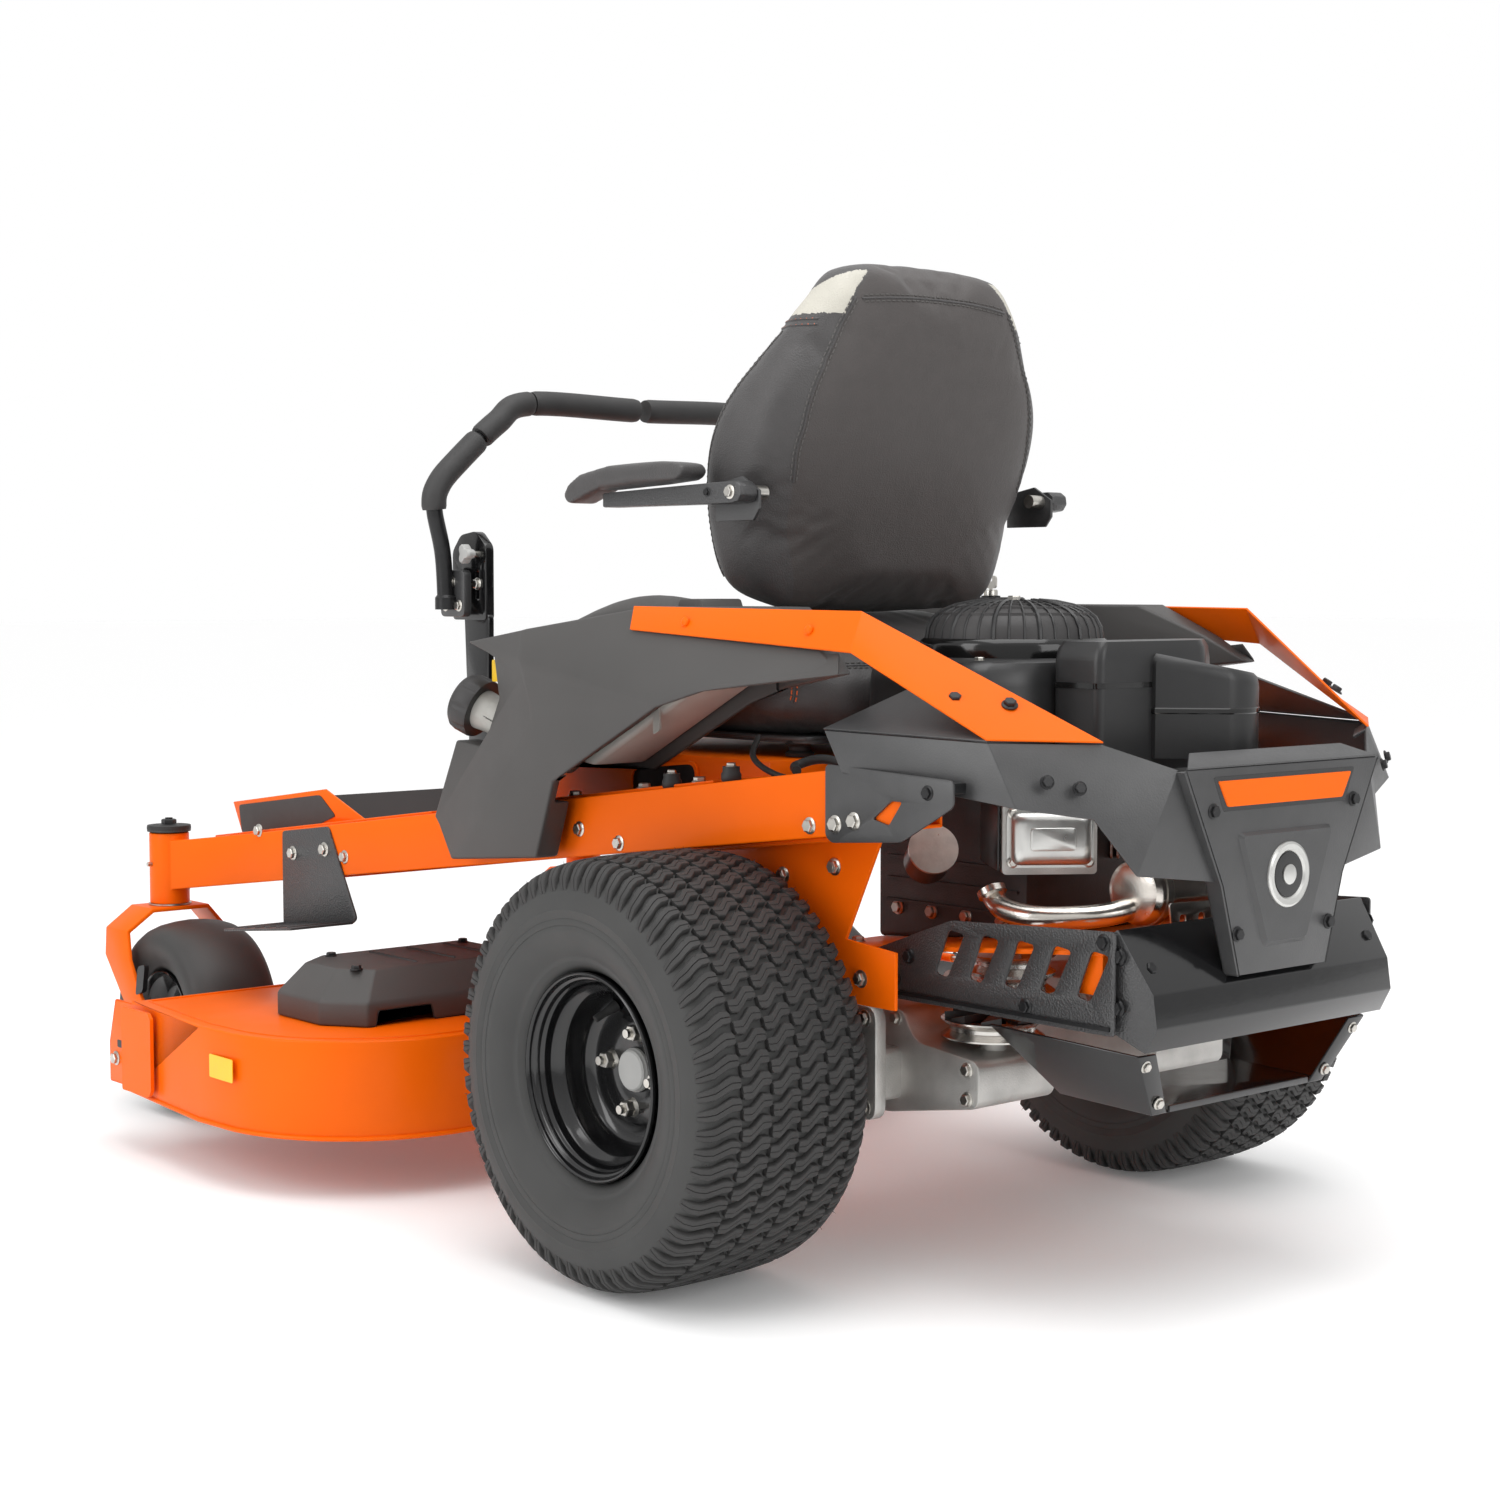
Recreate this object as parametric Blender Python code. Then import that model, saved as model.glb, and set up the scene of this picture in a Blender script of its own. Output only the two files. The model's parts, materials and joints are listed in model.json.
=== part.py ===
"""Zero turn mower with a 52 inch deck, built piece by piece.

Working axes: X to the operator's left, Y to the rear, Z up, in metres, measured from the point on the
ground midway between the rear wheels. The root empty then moves the machine so that its box stands
centred on the world origin. Left-hand pieces are modelled first and mirrored for the right-hand side.
"""

import math

import bmesh
import bpy
from mathutils import Matrix, Vector

GAP = 0.0004  # clearance between pieces that touch on the real machine
SHEET = 0.004  # body sheet metal

# Rear wheels, 22 x 11 - 10
WHEEL_X = 0.498
WHEEL_R = 0.2794
TYRE_WIDTH = 0.275
BEAD_R = 0.130
RIM_HALF = 0.114

# Casters, 13 x 6.5 - 6
CASTER_X = 0.45
CASTER_Y = -1.43
CASTER_R = 0.165
CASTER_WIDTH = 0.160
CASTER_TRAIL = 0.095
CASTER_TUBE_R = 0.034
CASTER_TUBE_Z = (0.351, 0.474)
STEM_R = 0.0165

# Frame rails: upright box tubes that climb towards the rear
RAIL_IN, RAIL_OUT = 0.340, 0.400
RAIL_FRONT_Y, RAIL_REAR_Y = -1.445, 0.360
RAIL_TOP_AT_0, RAIL_TOP_SLOPE = 0.6435, 0.1302
RAIL_LOW_AT_0, RAIL_LOW_SLOPE = 0.5600, 0.1310

# Engine tray, pitched like the rails
TRAY_X = 0.247
TRAY_Y = (0.020, 0.538)
TRAY_AT_0, TRAY_SLOPE = 0.4152, 0.0946

# Deck and blades
DECK_TOP, DECK_LOW = 0.238, 0.090
BLADE_R = 0.229
SHELL_R = 0.262
SPINDLE_X, SPINDLE_Y = 0.430, -0.810
CENTRE_SPINDLE_Y = -0.985
DECK_FRONT_Y = -1.135
DECK_SIDE_X = 0.696
DECK_LIFT = 0.045
CHUTE_REACH = 0.225

# Engine
CRANK_Y = 0.156
DOME_R = 0.125
BANK = math.radians(36)  # each cylinder, from straight back

REAR_PLATE_Y = 0.610
FRONT_EXTENT_Y = CASTER_Y + CASTER_TRAIL - CASTER_R
REAR_EXTENT_Y = REAR_PLATE_Y + 0.0135
CHUTE_TIP_X = -(DECK_SIDE_X + 0.008 + CHUTE_REACH)
ROOT = Vector((-(DECK_SIDE_X + CHUTE_TIP_X) / 2, -(FRONT_EXTENT_Y + REAR_EXTENT_Y) / 2, 0))

AXES = {"X": (0, 1, 2), "Y": (1, 0, 2), "Z": (2, 0, 1)}


def rail_top(y):
    return RAIL_TOP_AT_0 + RAIL_TOP_SLOPE * y


def rail_low(y):
    return RAIL_LOW_AT_0 + RAIL_LOW_SLOPE * y


def tray_top(y):
    return TRAY_AT_0 + TRAY_SLOPE * y


# ---------------------------------------------------------------- solids as (points, faces)


def box(low, high):
    """Upright block between two corners."""
    points = [
        (x, y, z) for x in (low[0], high[0]) for y in (low[1], high[1]) for z in (low[2], high[2])
    ]
    faces = [(0, 1, 3, 2), (4, 6, 7, 5), (0, 4, 5, 1), (2, 3, 7, 6), (0, 2, 6, 4), (1, 5, 7, 3)]
    return points, faces


def prism(axis, outline, low, high):
    """Outline in the two other axes, carried along axis from low to high."""
    along, first, second = AXES[axis]
    points = []
    for level in (low, high):
        for a, b in outline:
            point = [0, 0, 0]
            point[along], point[first], point[second] = level, a, b
            points.append(tuple(point))
    n = len(outline)
    sides = [(i, (i + 1) % n, n + (i + 1) % n, n + i) for i in range(n)]
    return points, [tuple(range(n)), tuple(range(2 * n - 1, n - 1, -1)), *sides]


def loft(rings):
    """Closed skin through rings that have the same number of points."""
    n = len(rings[0])
    points = [tuple(p) for ring in rings for p in ring]
    faces = [tuple(range(n)), tuple(range(len(points) - 1, len(points) - n - 1, -1))]
    for k in range(len(rings) - 1):
        for i in range(n):
            j = (i + 1) % n
            faces.append((k * n + i, k * n + j, (k + 1) * n + j, (k + 1) * n + i))
    return points, faces


def side_vectors(direction):
    direction = Vector(direction).normalized()
    helper = Vector((0, 0, 1)) if abs(direction.z) < 0.9 else Vector((1, 0, 0))
    first = direction.cross(helper).normalized()
    return first, direction.cross(first).normalized()


def ring(centre, direction, radius, count, turn=0.0):
    first, second = side_vectors(direction)
    steps = [2 * math.pi * (i + turn) / count for i in range(count)]
    return [Vector(centre) + radius * (math.cos(t) * first + math.sin(t) * second) for t in steps]


def rod(start, end, radius, count=16, end_radius=None):
    """Round bar, or a cone when end_radius differs."""
    direction = Vector(end) - Vector(start)
    last = radius if end_radius is None else end_radius
    return loft([ring(start, direction, radius, count), ring(end, direction, last, count)])


def turned(profile, centre, direction, count, on_flats=False):
    """Closed ring profile of (radius, distance along the axis) turned about an axis.

    On its flats, the ring has its flats at the stated radii, and one of them underneath.
    """
    unit = Vector(direction).normalized()
    turn, grow = (0.5, 1 / math.cos(math.pi / count)) if on_flats else (0.0, 1.0)
    rings = [
        ring(Vector(centre) + along * unit, unit, radius * grow, count, turn)
        for radius, along in profile
    ]
    n, m = count, len(profile)
    points = [tuple(p) for r in rings for p in r]
    faces = []
    for k in range(m):
        for i in range(n):
            j = (i + 1) % n
            following = (k + 1) % m
            faces.append((k * n + i, k * n + j, following * n + j, following * n + i))
    return points, faces


def bent_tube(route, radius, count=10):
    """Round tube along a polyline, mitred at its corners, with flat ends."""
    route = [Vector(p) for p in route]
    rings = []
    first = None
    for i, point in enumerate(route):
        before = (point - route[i - 1]).normalized() if i else (route[1] - point).normalized()
        after = (route[i + 1] - point).normalized() if i < len(route) - 1 else before
        tangent = (before + after).normalized()
        if first is None:
            first = side_vectors(tangent)[0]
        first = (first - first.dot(tangent) * tangent).normalized()
        second = tangent.cross(first)
        steps = [2 * math.pi * k / count for k in range(count)]
        rings.append([point + radius * (math.cos(t) * first + math.sin(t) * second) for t in steps])
    return loft(rings)


def arc(centre, radius, start, end, count):
    """Points of an arc in the plane, in degrees."""
    angles = [math.radians(start + (end - start) * i / count) for i in range(count + 1)]
    return [(centre[0] + radius * math.cos(a), centre[1] + radius * math.sin(a)) for a in angles]


def mirrored(solid):
    points, faces = solid
    return [(-x, y, z) for x, y, z in points], [tuple(reversed(f)) for f in faces]


# ---------------------------------------------------------------- objects


def raw_mesh(name, solid):
    bm = bmesh.new()
    points = [bm.verts.new(p) for p in solid[0]]
    for face in solid[1]:
        bm.faces.new([points[i] for i in face])
    bmesh.ops.recalc_face_normals(bm, faces=bm.faces)
    mesh = bpy.data.meshes.new(name)
    bm.to_mesh(mesh)
    bm.free()
    return mesh


def helper_object(solid):
    helper = bpy.data.objects.new("helper", raw_mesh("helper", solid))
    helper.hide_render = True
    helper.display_type = "WIRE"
    bpy.context.scene.collection.objects.link(helper)
    return helper


def evaluated_solid(obj):
    """The object's shape with its modifiers, as (points, faces); the object is removed."""
    graph = bpy.context.evaluated_depsgraph_get()
    mesh = bpy.data.meshes.new_from_object(obj.evaluated_get(graph))
    result = [tuple(v.co) for v in mesh.vertices], [tuple(p.vertices) for p in mesh.polygons]
    bpy.data.objects.remove(obj)
    return result


def folded(corners, faces, thickness=SHEET):
    """Folded sheet: its middle surface thickened evenly to both sides."""
    bm = bmesh.new()
    points = [bm.verts.new(p) for p in corners]
    for face in faces:
        bm.faces.new([points[i] for i in face])
    bmesh.ops.recalc_face_normals(bm, faces=bm.faces)
    mesh = bpy.data.meshes.new("sheet")
    bm.to_mesh(mesh)
    bm.free()
    obj = bpy.data.objects.new("sheet", mesh)
    bpy.context.scene.collection.objects.link(obj)
    solidify = obj.modifiers.new("thickness", "SOLIDIFY")
    solidify.thickness = thickness
    solidify.offset = 0
    solidify.use_even_offset = True
    return evaluated_solid(obj)


def combined(base, others, operation):
    """The base solid joined with, cut by or limited to each of the others."""
    if not others:
        return base
    obj = helper_object(base)
    helpers = [helper_object(other) for other in others]
    for helper in helpers:
        modifier = obj.modifiers.new("boolean", "BOOLEAN")
        modifier.operation = operation
        modifier.object = helper
        modifier.solver = "EXACT"
    result = evaluated_solid(obj)
    for helper in helpers:
        bpy.data.objects.remove(helper)
    return result


def joined(*solids):
    return combined(solids[0], solids[1:], "UNION")


def cut(solid, *cutters):
    return combined(solid, cutters, "DIFFERENCE")


def common(*solids):
    return combined(solids[0], solids[1:], "INTERSECT")


def paint(name, colour, roughness, metallic=0.0):
    material = bpy.data.materials.new(name)
    material.use_nodes = True
    shader = material.node_tree.nodes["Principled BSDF"]
    shader.inputs["Base Color"].default_value = (*colour, 1)
    shader.inputs["Roughness"].default_value = roughness
    shader.inputs["Metallic"].default_value = metallic
    material.diffuse_color = (*colour, 1)
    return material


def place(name, solid, material, pivot=(0, 0, 0)):
    """Makes the object with its origin at the pivot and hangs it on the root."""
    mesh = raw_mesh(name, solid)
    mesh.transform(Matrix.Translation(-Vector(pivot)))
    mesh.shade_smooth()
    mesh.set_sharp_from_angle(angle=math.radians(35))
    mesh.materials.append(PAINTS[material])
    obj = bpy.data.objects.new(name, mesh)
    obj.location = pivot
    obj.parent = bpy.data.objects["mower"]
    bpy.context.scene.collection.objects.link(obj)


def place_pair(name, solid, material, pivot=(0, 0, 0)):
    """The piece and its mirror image, as NAME_left and NAME_right."""
    place(name + "_left", solid, material, pivot)
    place(name + "_right", mirrored(solid), material, (-pivot[0], pivot[1], pivot[2]))


# ---------------------------------------------------------------- frame


def make_rails():
    """Box rails that turn outwards at the front to carry the caster tubes."""
    step_y, step_z = 0.255, 0.650
    profile = [
        (RAIL_FRONT_Y, rail_top(RAIL_FRONT_Y)), (step_y, rail_top(step_y)), (step_y + 0.01, step_z)
    ]
    profile += [
        (RAIL_REAR_Y, step_z),
        (RAIL_REAR_Y, rail_low(RAIL_REAR_Y)),
        (RAIL_FRONT_Y, rail_low(RAIL_FRONT_Y)),
    ]
    plan = [
        (RAIL_IN, RAIL_REAR_Y + 0.01),
        (RAIL_OUT, RAIL_REAR_Y + 0.01),
        (RAIL_OUT, -1.235),
        (CASTER_X + 0.022, CASTER_Y + 0.010),
        (CASTER_X - 0.022, CASTER_Y - 0.010),
        (RAIL_IN, -1.245),
    ]
    solid = common(prism("X", profile, 0.30, 0.55), prism("Z", plan, 0.2, 0.8))
    wall = 0.0045
    inside = [
        (-1.20, rail_top(-1.20) - wall),
        (step_y - wall, rail_top(step_y) - wall),
        (step_y, step_z - wall),
    ]
    inside += [(0.40, step_z - wall), (0.40, rail_low(0.40) + wall), (-1.20, rail_low(-1.20) + wall)]
    tube = rod(
        (CASTER_X, CASTER_Y, CASTER_TUBE_Z[0]),
        (CASTER_X, CASTER_Y, CASTER_TUBE_Z[1]),
        CASTER_TUBE_R,
        24,
    )
    bore = rod((CASTER_X, CASTER_Y, 0.3), (CASTER_X, CASTER_Y, 0.5), STEM_R + 0.002, 16)
    solid = cut(solid, prism("X", inside, RAIL_IN + wall, RAIL_OUT - wall))
    place_pair("rail", cut(joined(solid, tube), bore), "orange")


def make_front_beam():
    """Square cross tube between the rails, open at its ends."""
    y, z = (-1.24, -1.17), (0.402, 0.468)
    edge = RAIL_IN - GAP
    wall = 0.005
    outer = box((-edge, y[0], z[0]), (edge, y[1], z[1]))
    inner = box((-0.4, y[0] + wall, z[0] + wall), (0.4, y[1] - wall, z[1] - wall))
    place("front_beam", cut(outer, inner), "orange")


def make_engine_cradle():
    """Pitched engine tray, its slanted side plates down from the rails, and the axle carriers."""
    rim = [(TRAY_Y[0], tray_top(TRAY_Y[0])), (TRAY_Y[1], tray_top(TRAY_Y[1]))]
    rim += [(y, z - 0.006) for y, z in reversed(rim)]
    tray = prism("X", rim, -TRAY_X, TRAY_X)
    plate = [
        (-0.10, rail_low(-0.10) - GAP),
        (0.240, rail_low(0.240) - GAP),
        (0.170, 0.448),
        (0.262, 0.440),
        (0.262, 0.366),
        (-0.02, 0.366),
        (-0.10, 0.440),
    ]
    side = prism("X", plate, RAIL_IN - 0.020, RAIL_IN - 0.014)
    ends = (-0.10, 0.240)
    foot = [(y, rail_low(y) - GAP) for y in ends] + [
        (y, rail_low(y) - GAP - 0.006) for y in reversed(ends)
    ]
    flange = prism("X", foot, RAIL_IN - 0.017, RAIL_IN + 0.022)
    web = box(
        (TRAY_X - 0.004, 0.022, tray_top(0.022) - 0.005),
        (RAIL_IN - 0.017, 0.105, tray_top(0.022) + 0.002),
    )
    shaft_hole = rod((0, CRANK_Y, 0.3), (0, CRANK_Y, 0.6), 0.040, 16)
    parts = [side, flange, web]
    solid = joined(tray, *parts, *[mirrored(p) for p in parts])
    rear_beam = box((-TRAY_X + 0.003, 0.496, 0.410), (TRAY_X - 0.003, 0.534, tray_top(0.496) - 0.002))
    place("engine_cradle", cut(joined(solid, rear_beam), shaft_hole), "orange")


def make_floor_pan():
    """Foot well between the rails: pitched floor, raised toe board and low side wings."""
    lift = 0.002
    floor = [
        (-1.410, rail_top(-1.410) + 0.060),
        (-1.380, rail_top(-1.380) + lift),
        (-0.69, rail_top(-0.69) + lift),
    ]
    back = [(y - 0.002, z - SHEET) for y, z in reversed(floor)]
    deck = prism("X", floor + back, -0.330, 0.330)
    wing_outline = [
        (-1.419, rail_top(-1.419) + 0.062),
        (-1.105, rail_top(-1.105) + 0.063),
        (-0.985, rail_top(-0.985) + 0.006),
        (-0.985, rail_top(-0.985) - 0.001),
        (-1.385, rail_top(-1.385) - 0.001),
    ]
    wing = prism("X", wing_outline, 0.3265, 0.3305)
    ends = (-1.385, -0.70)
    ledge = [(y, rail_top(y) + GAP) for y in ends] + [
        (y, rail_top(y) + GAP + SHEET) for y in reversed(ends)
    ]
    rest = prism("X", ledge, 0.325, 0.385)
    place("floor_pan", joined(deck, wing, mirrored(wing), rest, mirrored(rest)), "orange")


def make_steps():
    """Angle plates bolted to the outer faces of the rails, with a tread flange."""
    face = RAIL_OUT + GAP
    upright = [(-1.120, 0.496), (-0.975, 0.514), (-0.890, 0.372), (-0.905, 0.362), (-1.120, 0.338)]
    plate = prism("X", upright, face, face + SHEET)
    tread = [(-1.120, 0.338), (-0.905, 0.362), (-0.905, 0.366), (-1.120, 0.342)]
    place_pair("step", joined(plate, prism("X", tread, face, face + 0.115)), "black")


# ---------------------------------------------------------------- bodywork

POD_OUTLINE = [
    (-0.530, 0.820),
    (-0.200, 0.866),
    (-0.140, 0.874),
    (0.100, 0.874),
    (0.190, 0.830),
    (0.250, 0.792),
    (0.020, 0.765),
    (-0.060, 0.741),
    (-0.290, 0.630),
    (-0.330, 0.520),
    (-0.550, 0.500),
    (-0.620, 0.557),
    (-0.560, 0.675),
    (-0.490, 0.668),
    (-0.450, 0.740),
    (-0.462, 0.800),
]
POD_IN, POD_OUT = 0.286, 0.455
POD_FACE_POINT = Vector((0.403, -0.165, 0.874))
POD_FACE_SIDE = Vector((-0.031, 0.421, -0.005))
POD_FACE_DOWN = Vector((0.048, 0.0, -0.100))
CAP_CENTRE = Vector((0.412, -0.548, 0.728))
CAP_AXIS = Vector((0.36, -0.85, 0.38)).normalized()


def face_wedge():
    """Everything outside the slanted upper face of a pod."""
    normal = POD_FACE_SIDE.cross(POD_FACE_DOWN).normalized()
    normal = -normal if normal.x < 0 else normal
    along = POD_FACE_SIDE.normalized()
    down = POD_FACE_DOWN.normalized()
    corners = []
    for level in (0.0, 0.3):
        for a, b in ((-1, -0.3), (1, -0.3), (1, 0.4), (-1, 0.4)):
            corners.append(POD_FACE_POINT + normal * level + along * a + down * b)
    return loft([corners[:4], corners[4:]])


def make_pods():
    """Hollow moulded side pods with a leg down to the rail; open underneath."""
    leg_split = 0.640
    body = cut(prism("X", POD_OUTLINE, POD_IN, POD_OUT), box((0, -1, 0), (0.415, 1, leg_split)))
    body = cut(body, box((0, -1, 0), (0.404, -0.5, 1)))
    body = cut(body, prism("Z", [(0.2, 0.02), (POD_IN, 0.02), (0.412, 0.30), (0.2, 0.30)], 0.5, 1.0))
    body = cut(body, face_wedge())
    wall = 0.005
    cavity = [
        (-0.440, 0.824),
        (-0.200, 0.858),
        (-0.140, 0.867),
        (0.095, 0.867),
        (0.185, 0.822),
        (0.215, 0.760),
    ]
    cavity += [(-0.03, 0.60), (-0.300, 0.600), (-0.425, 0.600), (-0.425, 0.740)]
    hollow = prism("X", cavity, POD_IN + wall, POD_OUT - wall)
    inner_face = face_wedge()
    inner_face = ([(x - 0.006, y, z - 0.004) for x, y, z in inner_face[0]], inner_face[1])
    hollow = cut(hollow, inner_face, box((0.44, -1, 0), (0.5, 1, leg_split)))
    hollow = cut(
        hollow, prism("Z", [(0.2, 0.00), (POD_IN + 0.006, 0.00), (0.424, 0.30), (0.2, 0.30)], 0.5, 1.0)
    )
    neck = rod(CAP_CENTRE + CAP_AXIS * 0.05, CAP_CENTRE - CAP_AXIS * 0.2, 0.036, 16)
    left = cut(body, hollow)
    place("pod_left", cut(left, neck), "plastic")
    console = box((0.318, -0.430, 0.835), (0.385, -0.180, 0.884))
    place("pod_right", mirrored(joined(left, console)), "plastic")


def make_fuel_tank():
    """Tank inside the left pod, with the filler neck that its cap screws on."""
    outline = [
        (-0.405, 0.664),
        (-0.405, 0.815),
        (-0.200, 0.846),
        (0.000, 0.846),
        (0.000, 0.790),
        (-0.280, 0.650),
    ]
    tank = prism("X", outline, 0.297, 0.392)
    neck = rod(CAP_CENTRE - CAP_AXIS * 0.022, CAP_CENTRE - CAP_AXIS * 0.195, 0.028, 16)
    place("fuel_tank", joined(tank, neck), "tank")


def make_fuel_cap():
    top = rod(CAP_CENTRE - CAP_AXIS * 0.020, CAP_CENTRE + CAP_AXIS * 0.018, 0.046, 16, 0.040)
    place("fuel_cap", top, "plastic", CAP_CENTRE)


def make_fender_strips():
    """Orange strips along the pods that fold down to the rear guard."""
    front_u, front_l = (0.4075, -0.165, 0.874), (0.4215, -0.155, 0.845)
    bend_u, bend_l = (0.3795, 0.256, 0.870), (0.4040, 0.262, 0.820)
    rear_u, rear_l = (0.2630, 0.549, 0.7175), (0.3770, 0.467, 0.7210)
    strip = folded(
        [front_u, front_l, bend_l, bend_u, rear_l, rear_u], [(0, 1, 2, 3), (3, 2, 4, 5)], 0.003
    )
    place_pair("fender", strip, "orange")


def make_seat_base():
    """Pressed box across the rails that carries the seat, open underneath."""
    y = (-0.600, -0.030)
    side = [(y[0], rail_top(y[0]) + GAP), (y[1], rail_top(y[1]) + GAP), (y[1], 0.664), (y[0], 0.664)]
    inner = [(y[0] + 0.004, 0.4), (y[1] - 0.004, 0.4), (y[1] - 0.004, 0.660), (y[0] + 0.004, 0.660)]
    solid = cut(prism("X", side, -0.280, 0.280), prism("X", inner, -0.276, 0.276))
    tab = [(y[0], rail_top(y[0]) + GAP), (y[1], rail_top(y[1]) + GAP)]
    tab += [(b, z + 0.004) for b, z in reversed(tab)]
    foot = prism("X", tab, 0.278, 0.380)
    place("seat_base", joined(solid, foot, mirrored(foot)), "orange")


# ---------------------------------------------------------------- rear guards


def make_rear_guard():
    """Tapered rear plate with a forward top lip."""
    outline = [
        (-0.189, 0.683),
        (-0.118, 0.541),
        (-0.085, 0.429),
        (0.085, 0.429),
        (0.118, 0.541),
        (0.189, 0.683),
    ]
    plate = prism("Y", outline, REAR_PLATE_Y, REAR_PLATE_Y + SHEET)
    boss = prism(
        "Y",
        [(-0.092, 0.600), (-0.040, 0.462), (0.040, 0.462), (0.092, 0.600)],
        REAR_PLATE_Y + 0.002,
        REAR_PLATE_Y + 0.010,
    )
    lip = folded(
        [(-0.187, 0.612, 0.681), (0.187, 0.612, 0.681), (0.152, 0.583, 0.698), (-0.152, 0.583, 0.698)],
        [(0, 1, 2, 3)],
    )
    badge = prism(
        "Y",
        [(-0.114, 0.635), (-0.132, 0.667), (0.132, 0.667), (0.114, 0.635)],
        REAR_PLATE_Y + 0.002,
        REAR_PLATE_Y + 0.0075,
    )
    medallion = rod((0, REAR_PLATE_Y + 0.008, 0.545), (0, REAR_EXTENT_Y, 0.545), 0.042, 24)
    place("rear_guard", joined(plate, boss, lip, badge, medallion), "black")


def make_guard_wings():
    """Folded side guards from the rails round to the rear plate, with their bolt-on gussets."""
    tip_u, tip_l = (0.4065, 0.217, 0.722), (0.4065, 0.249, 0.671)
    fold_u, fold_l = (0.374, 0.467, 0.7165), (0.369, 0.508, 0.641)
    mid_l, low = (0.279, 0.549, 0.626), (0.242, 0.585, 0.559)
    top, tuck_u, tuck_l = (0.188, 0.600, 0.683), (0.128, 0.6065, 0.640), (0.122, 0.6065, 0.545)
    end_u = (0.261, 0.546, 0.714)
    corners = [tip_u, tip_l, fold_l, fold_u, mid_l, low, end_u, top, tuck_u, tuck_l]
    skin = folded(corners, [(0, 1, 2, 3), (3, 2, 4, 6), (6, 4, 5, 7), (7, 5, 9, 8)], 0.0035)
    shoulder = folded([tip_u, fold_u, (0.330, 0.300, 0.775)], [(0, 1, 2)], 0.0035)
    face = RAIL_OUT + GAP
    gusset = [
        (0.217, 0.680), (0.217, 0.590), (0.228, 0.582), (0.352, 0.592), (0.440, 0.640), (0.440, 0.672)
    ]
    plate = prism("X", gusset, face, face + SHEET)
    slot = prism("X", [(0.305, 0.618), (0.335, 0.640), (0.352, 0.640), (0.330, 0.612)], 0.3, 0.5)
    tie = box((0.371, 0.400, 0.655), (0.4035, 0.436, 0.668))
    place_pair("guard_wing", joined(skin, shoulder, cut(plate, slot), tie), "black")


def make_bumper():
    """Folded bumper with closed ends, carried by the rear of the engine tray."""
    rows = [(0.555, 0.493), (0.604, 0.419), (0.610, 0.379), (0.593, 0.348)]
    widths = [0.242, 0.234, 0.234, 0.235]
    corners = [(s * w, y, z) for (y, z), w in zip(rows, widths) for s in (-1, 1)]
    faces = [(2 * k, 2 * k + 1, 2 * k + 3, 2 * k + 2) for k in range(len(rows) - 1)]
    ends = [(s * 0.247, 0.545, z) for s in (-1, 1) for z in (0.485, 0.372)]
    corners += ends
    faces += [(0, 2, 4, 6, 9, 8), (1, 3, 5, 7, 11, 10)]
    place("bumper", folded(corners, faces, 0.0035), "black")


def make_grilles():
    """Side plates with slanted slots."""
    outline = [(0.110, 0.412), (0.290, 0.478), (0.562, 0.492), (0.562, 0.366), (0.110, 0.366)]
    plate = prism("X", outline, 0.2515, 0.2550)
    slots = []
    for k in range(5):
        y = 0.262 + 0.060 * k
        slots.append(
            prism(
                "X", [(y, 0.408), (y + 0.022, 0.404), (y + 0.052, 0.462), (y + 0.024, 0.466)], 0.2, 0.3
            ),
        )
    place_pair("grille", cut(plate, *slots), "black")


def make_lower_guard():
    """Boat-shaped guard under the engine, open to the rear between its two legs."""
    half_rows = [
        (0.246, 0.350, 0.352),
        (0.170, 0.400, 0.262),
        (0.170, 0.550, 0.258),
        (0.226, 0.575, 0.340),
        (0.142, 0.550, 0.258),
        (0.192, 0.575, 0.340),
    ]
    corners = [(side * x, y, z) for x, y, z in half_rows for side in (-1, 1)]
    walls = [(0, 2, 4, 6), (1, 3, 5, 7)]
    legs = [(4, 6, 10, 8), (5, 7, 11, 9)]
    floor = [(2, 3, 5, 9, 8, 4)]
    place("lower_guard", folded(corners, walls + legs + floor, 0.003), "black")


# ---------------------------------------------------------------- engine and drive


def make_engine_block():
    """Crankcase with two cylinders spread to the rear, standing on the tray."""
    base = [
        (0.020, tray_top(0.020) + GAP), (0.300, tray_top(0.300) + GAP), (0.300, 0.640), (0.020, 0.640)
    ]
    solid = prism("X", base, -0.125, 0.125)
    for side in (-1, 1):
        axis = Vector((side * math.sin(BANK), math.cos(BANK), 0))
        across = Vector((axis.y, -axis.x, 0)) * 0.066
        start = Vector((0, CRANK_Y, 0.585)) + axis * 0.10
        end = start + axis * 0.155
        rings = []
        for centre in (start, end):
            rings.append(
                [
                    centre + across * a + Vector((0, 0, b))
                    for a, b in ((-1, -0.052), (1, -0.052), (1, 0.045), (-1, 0.045))
                ],
            )
        solid = joined(solid, loft(rings))
        cover = []
        for centre in (end - axis * 0.002, end + axis * 0.022):
            cover.append(
                [
                    centre + across * a * 0.9 + Vector((0, 0, b))
                    for a, b in ((-1, -0.040), (1, -0.040), (1, 0.036), (-1, 0.036))
                ],
            )
        solid = joined(solid, loft(cover))
    shaft_hole = rod((0, CRANK_Y, 0.3), (0, CRANK_Y, 0.8), 0.018, 16)
    place("engine_block", cut(solid, shaft_hole), "engine_metal")


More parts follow.
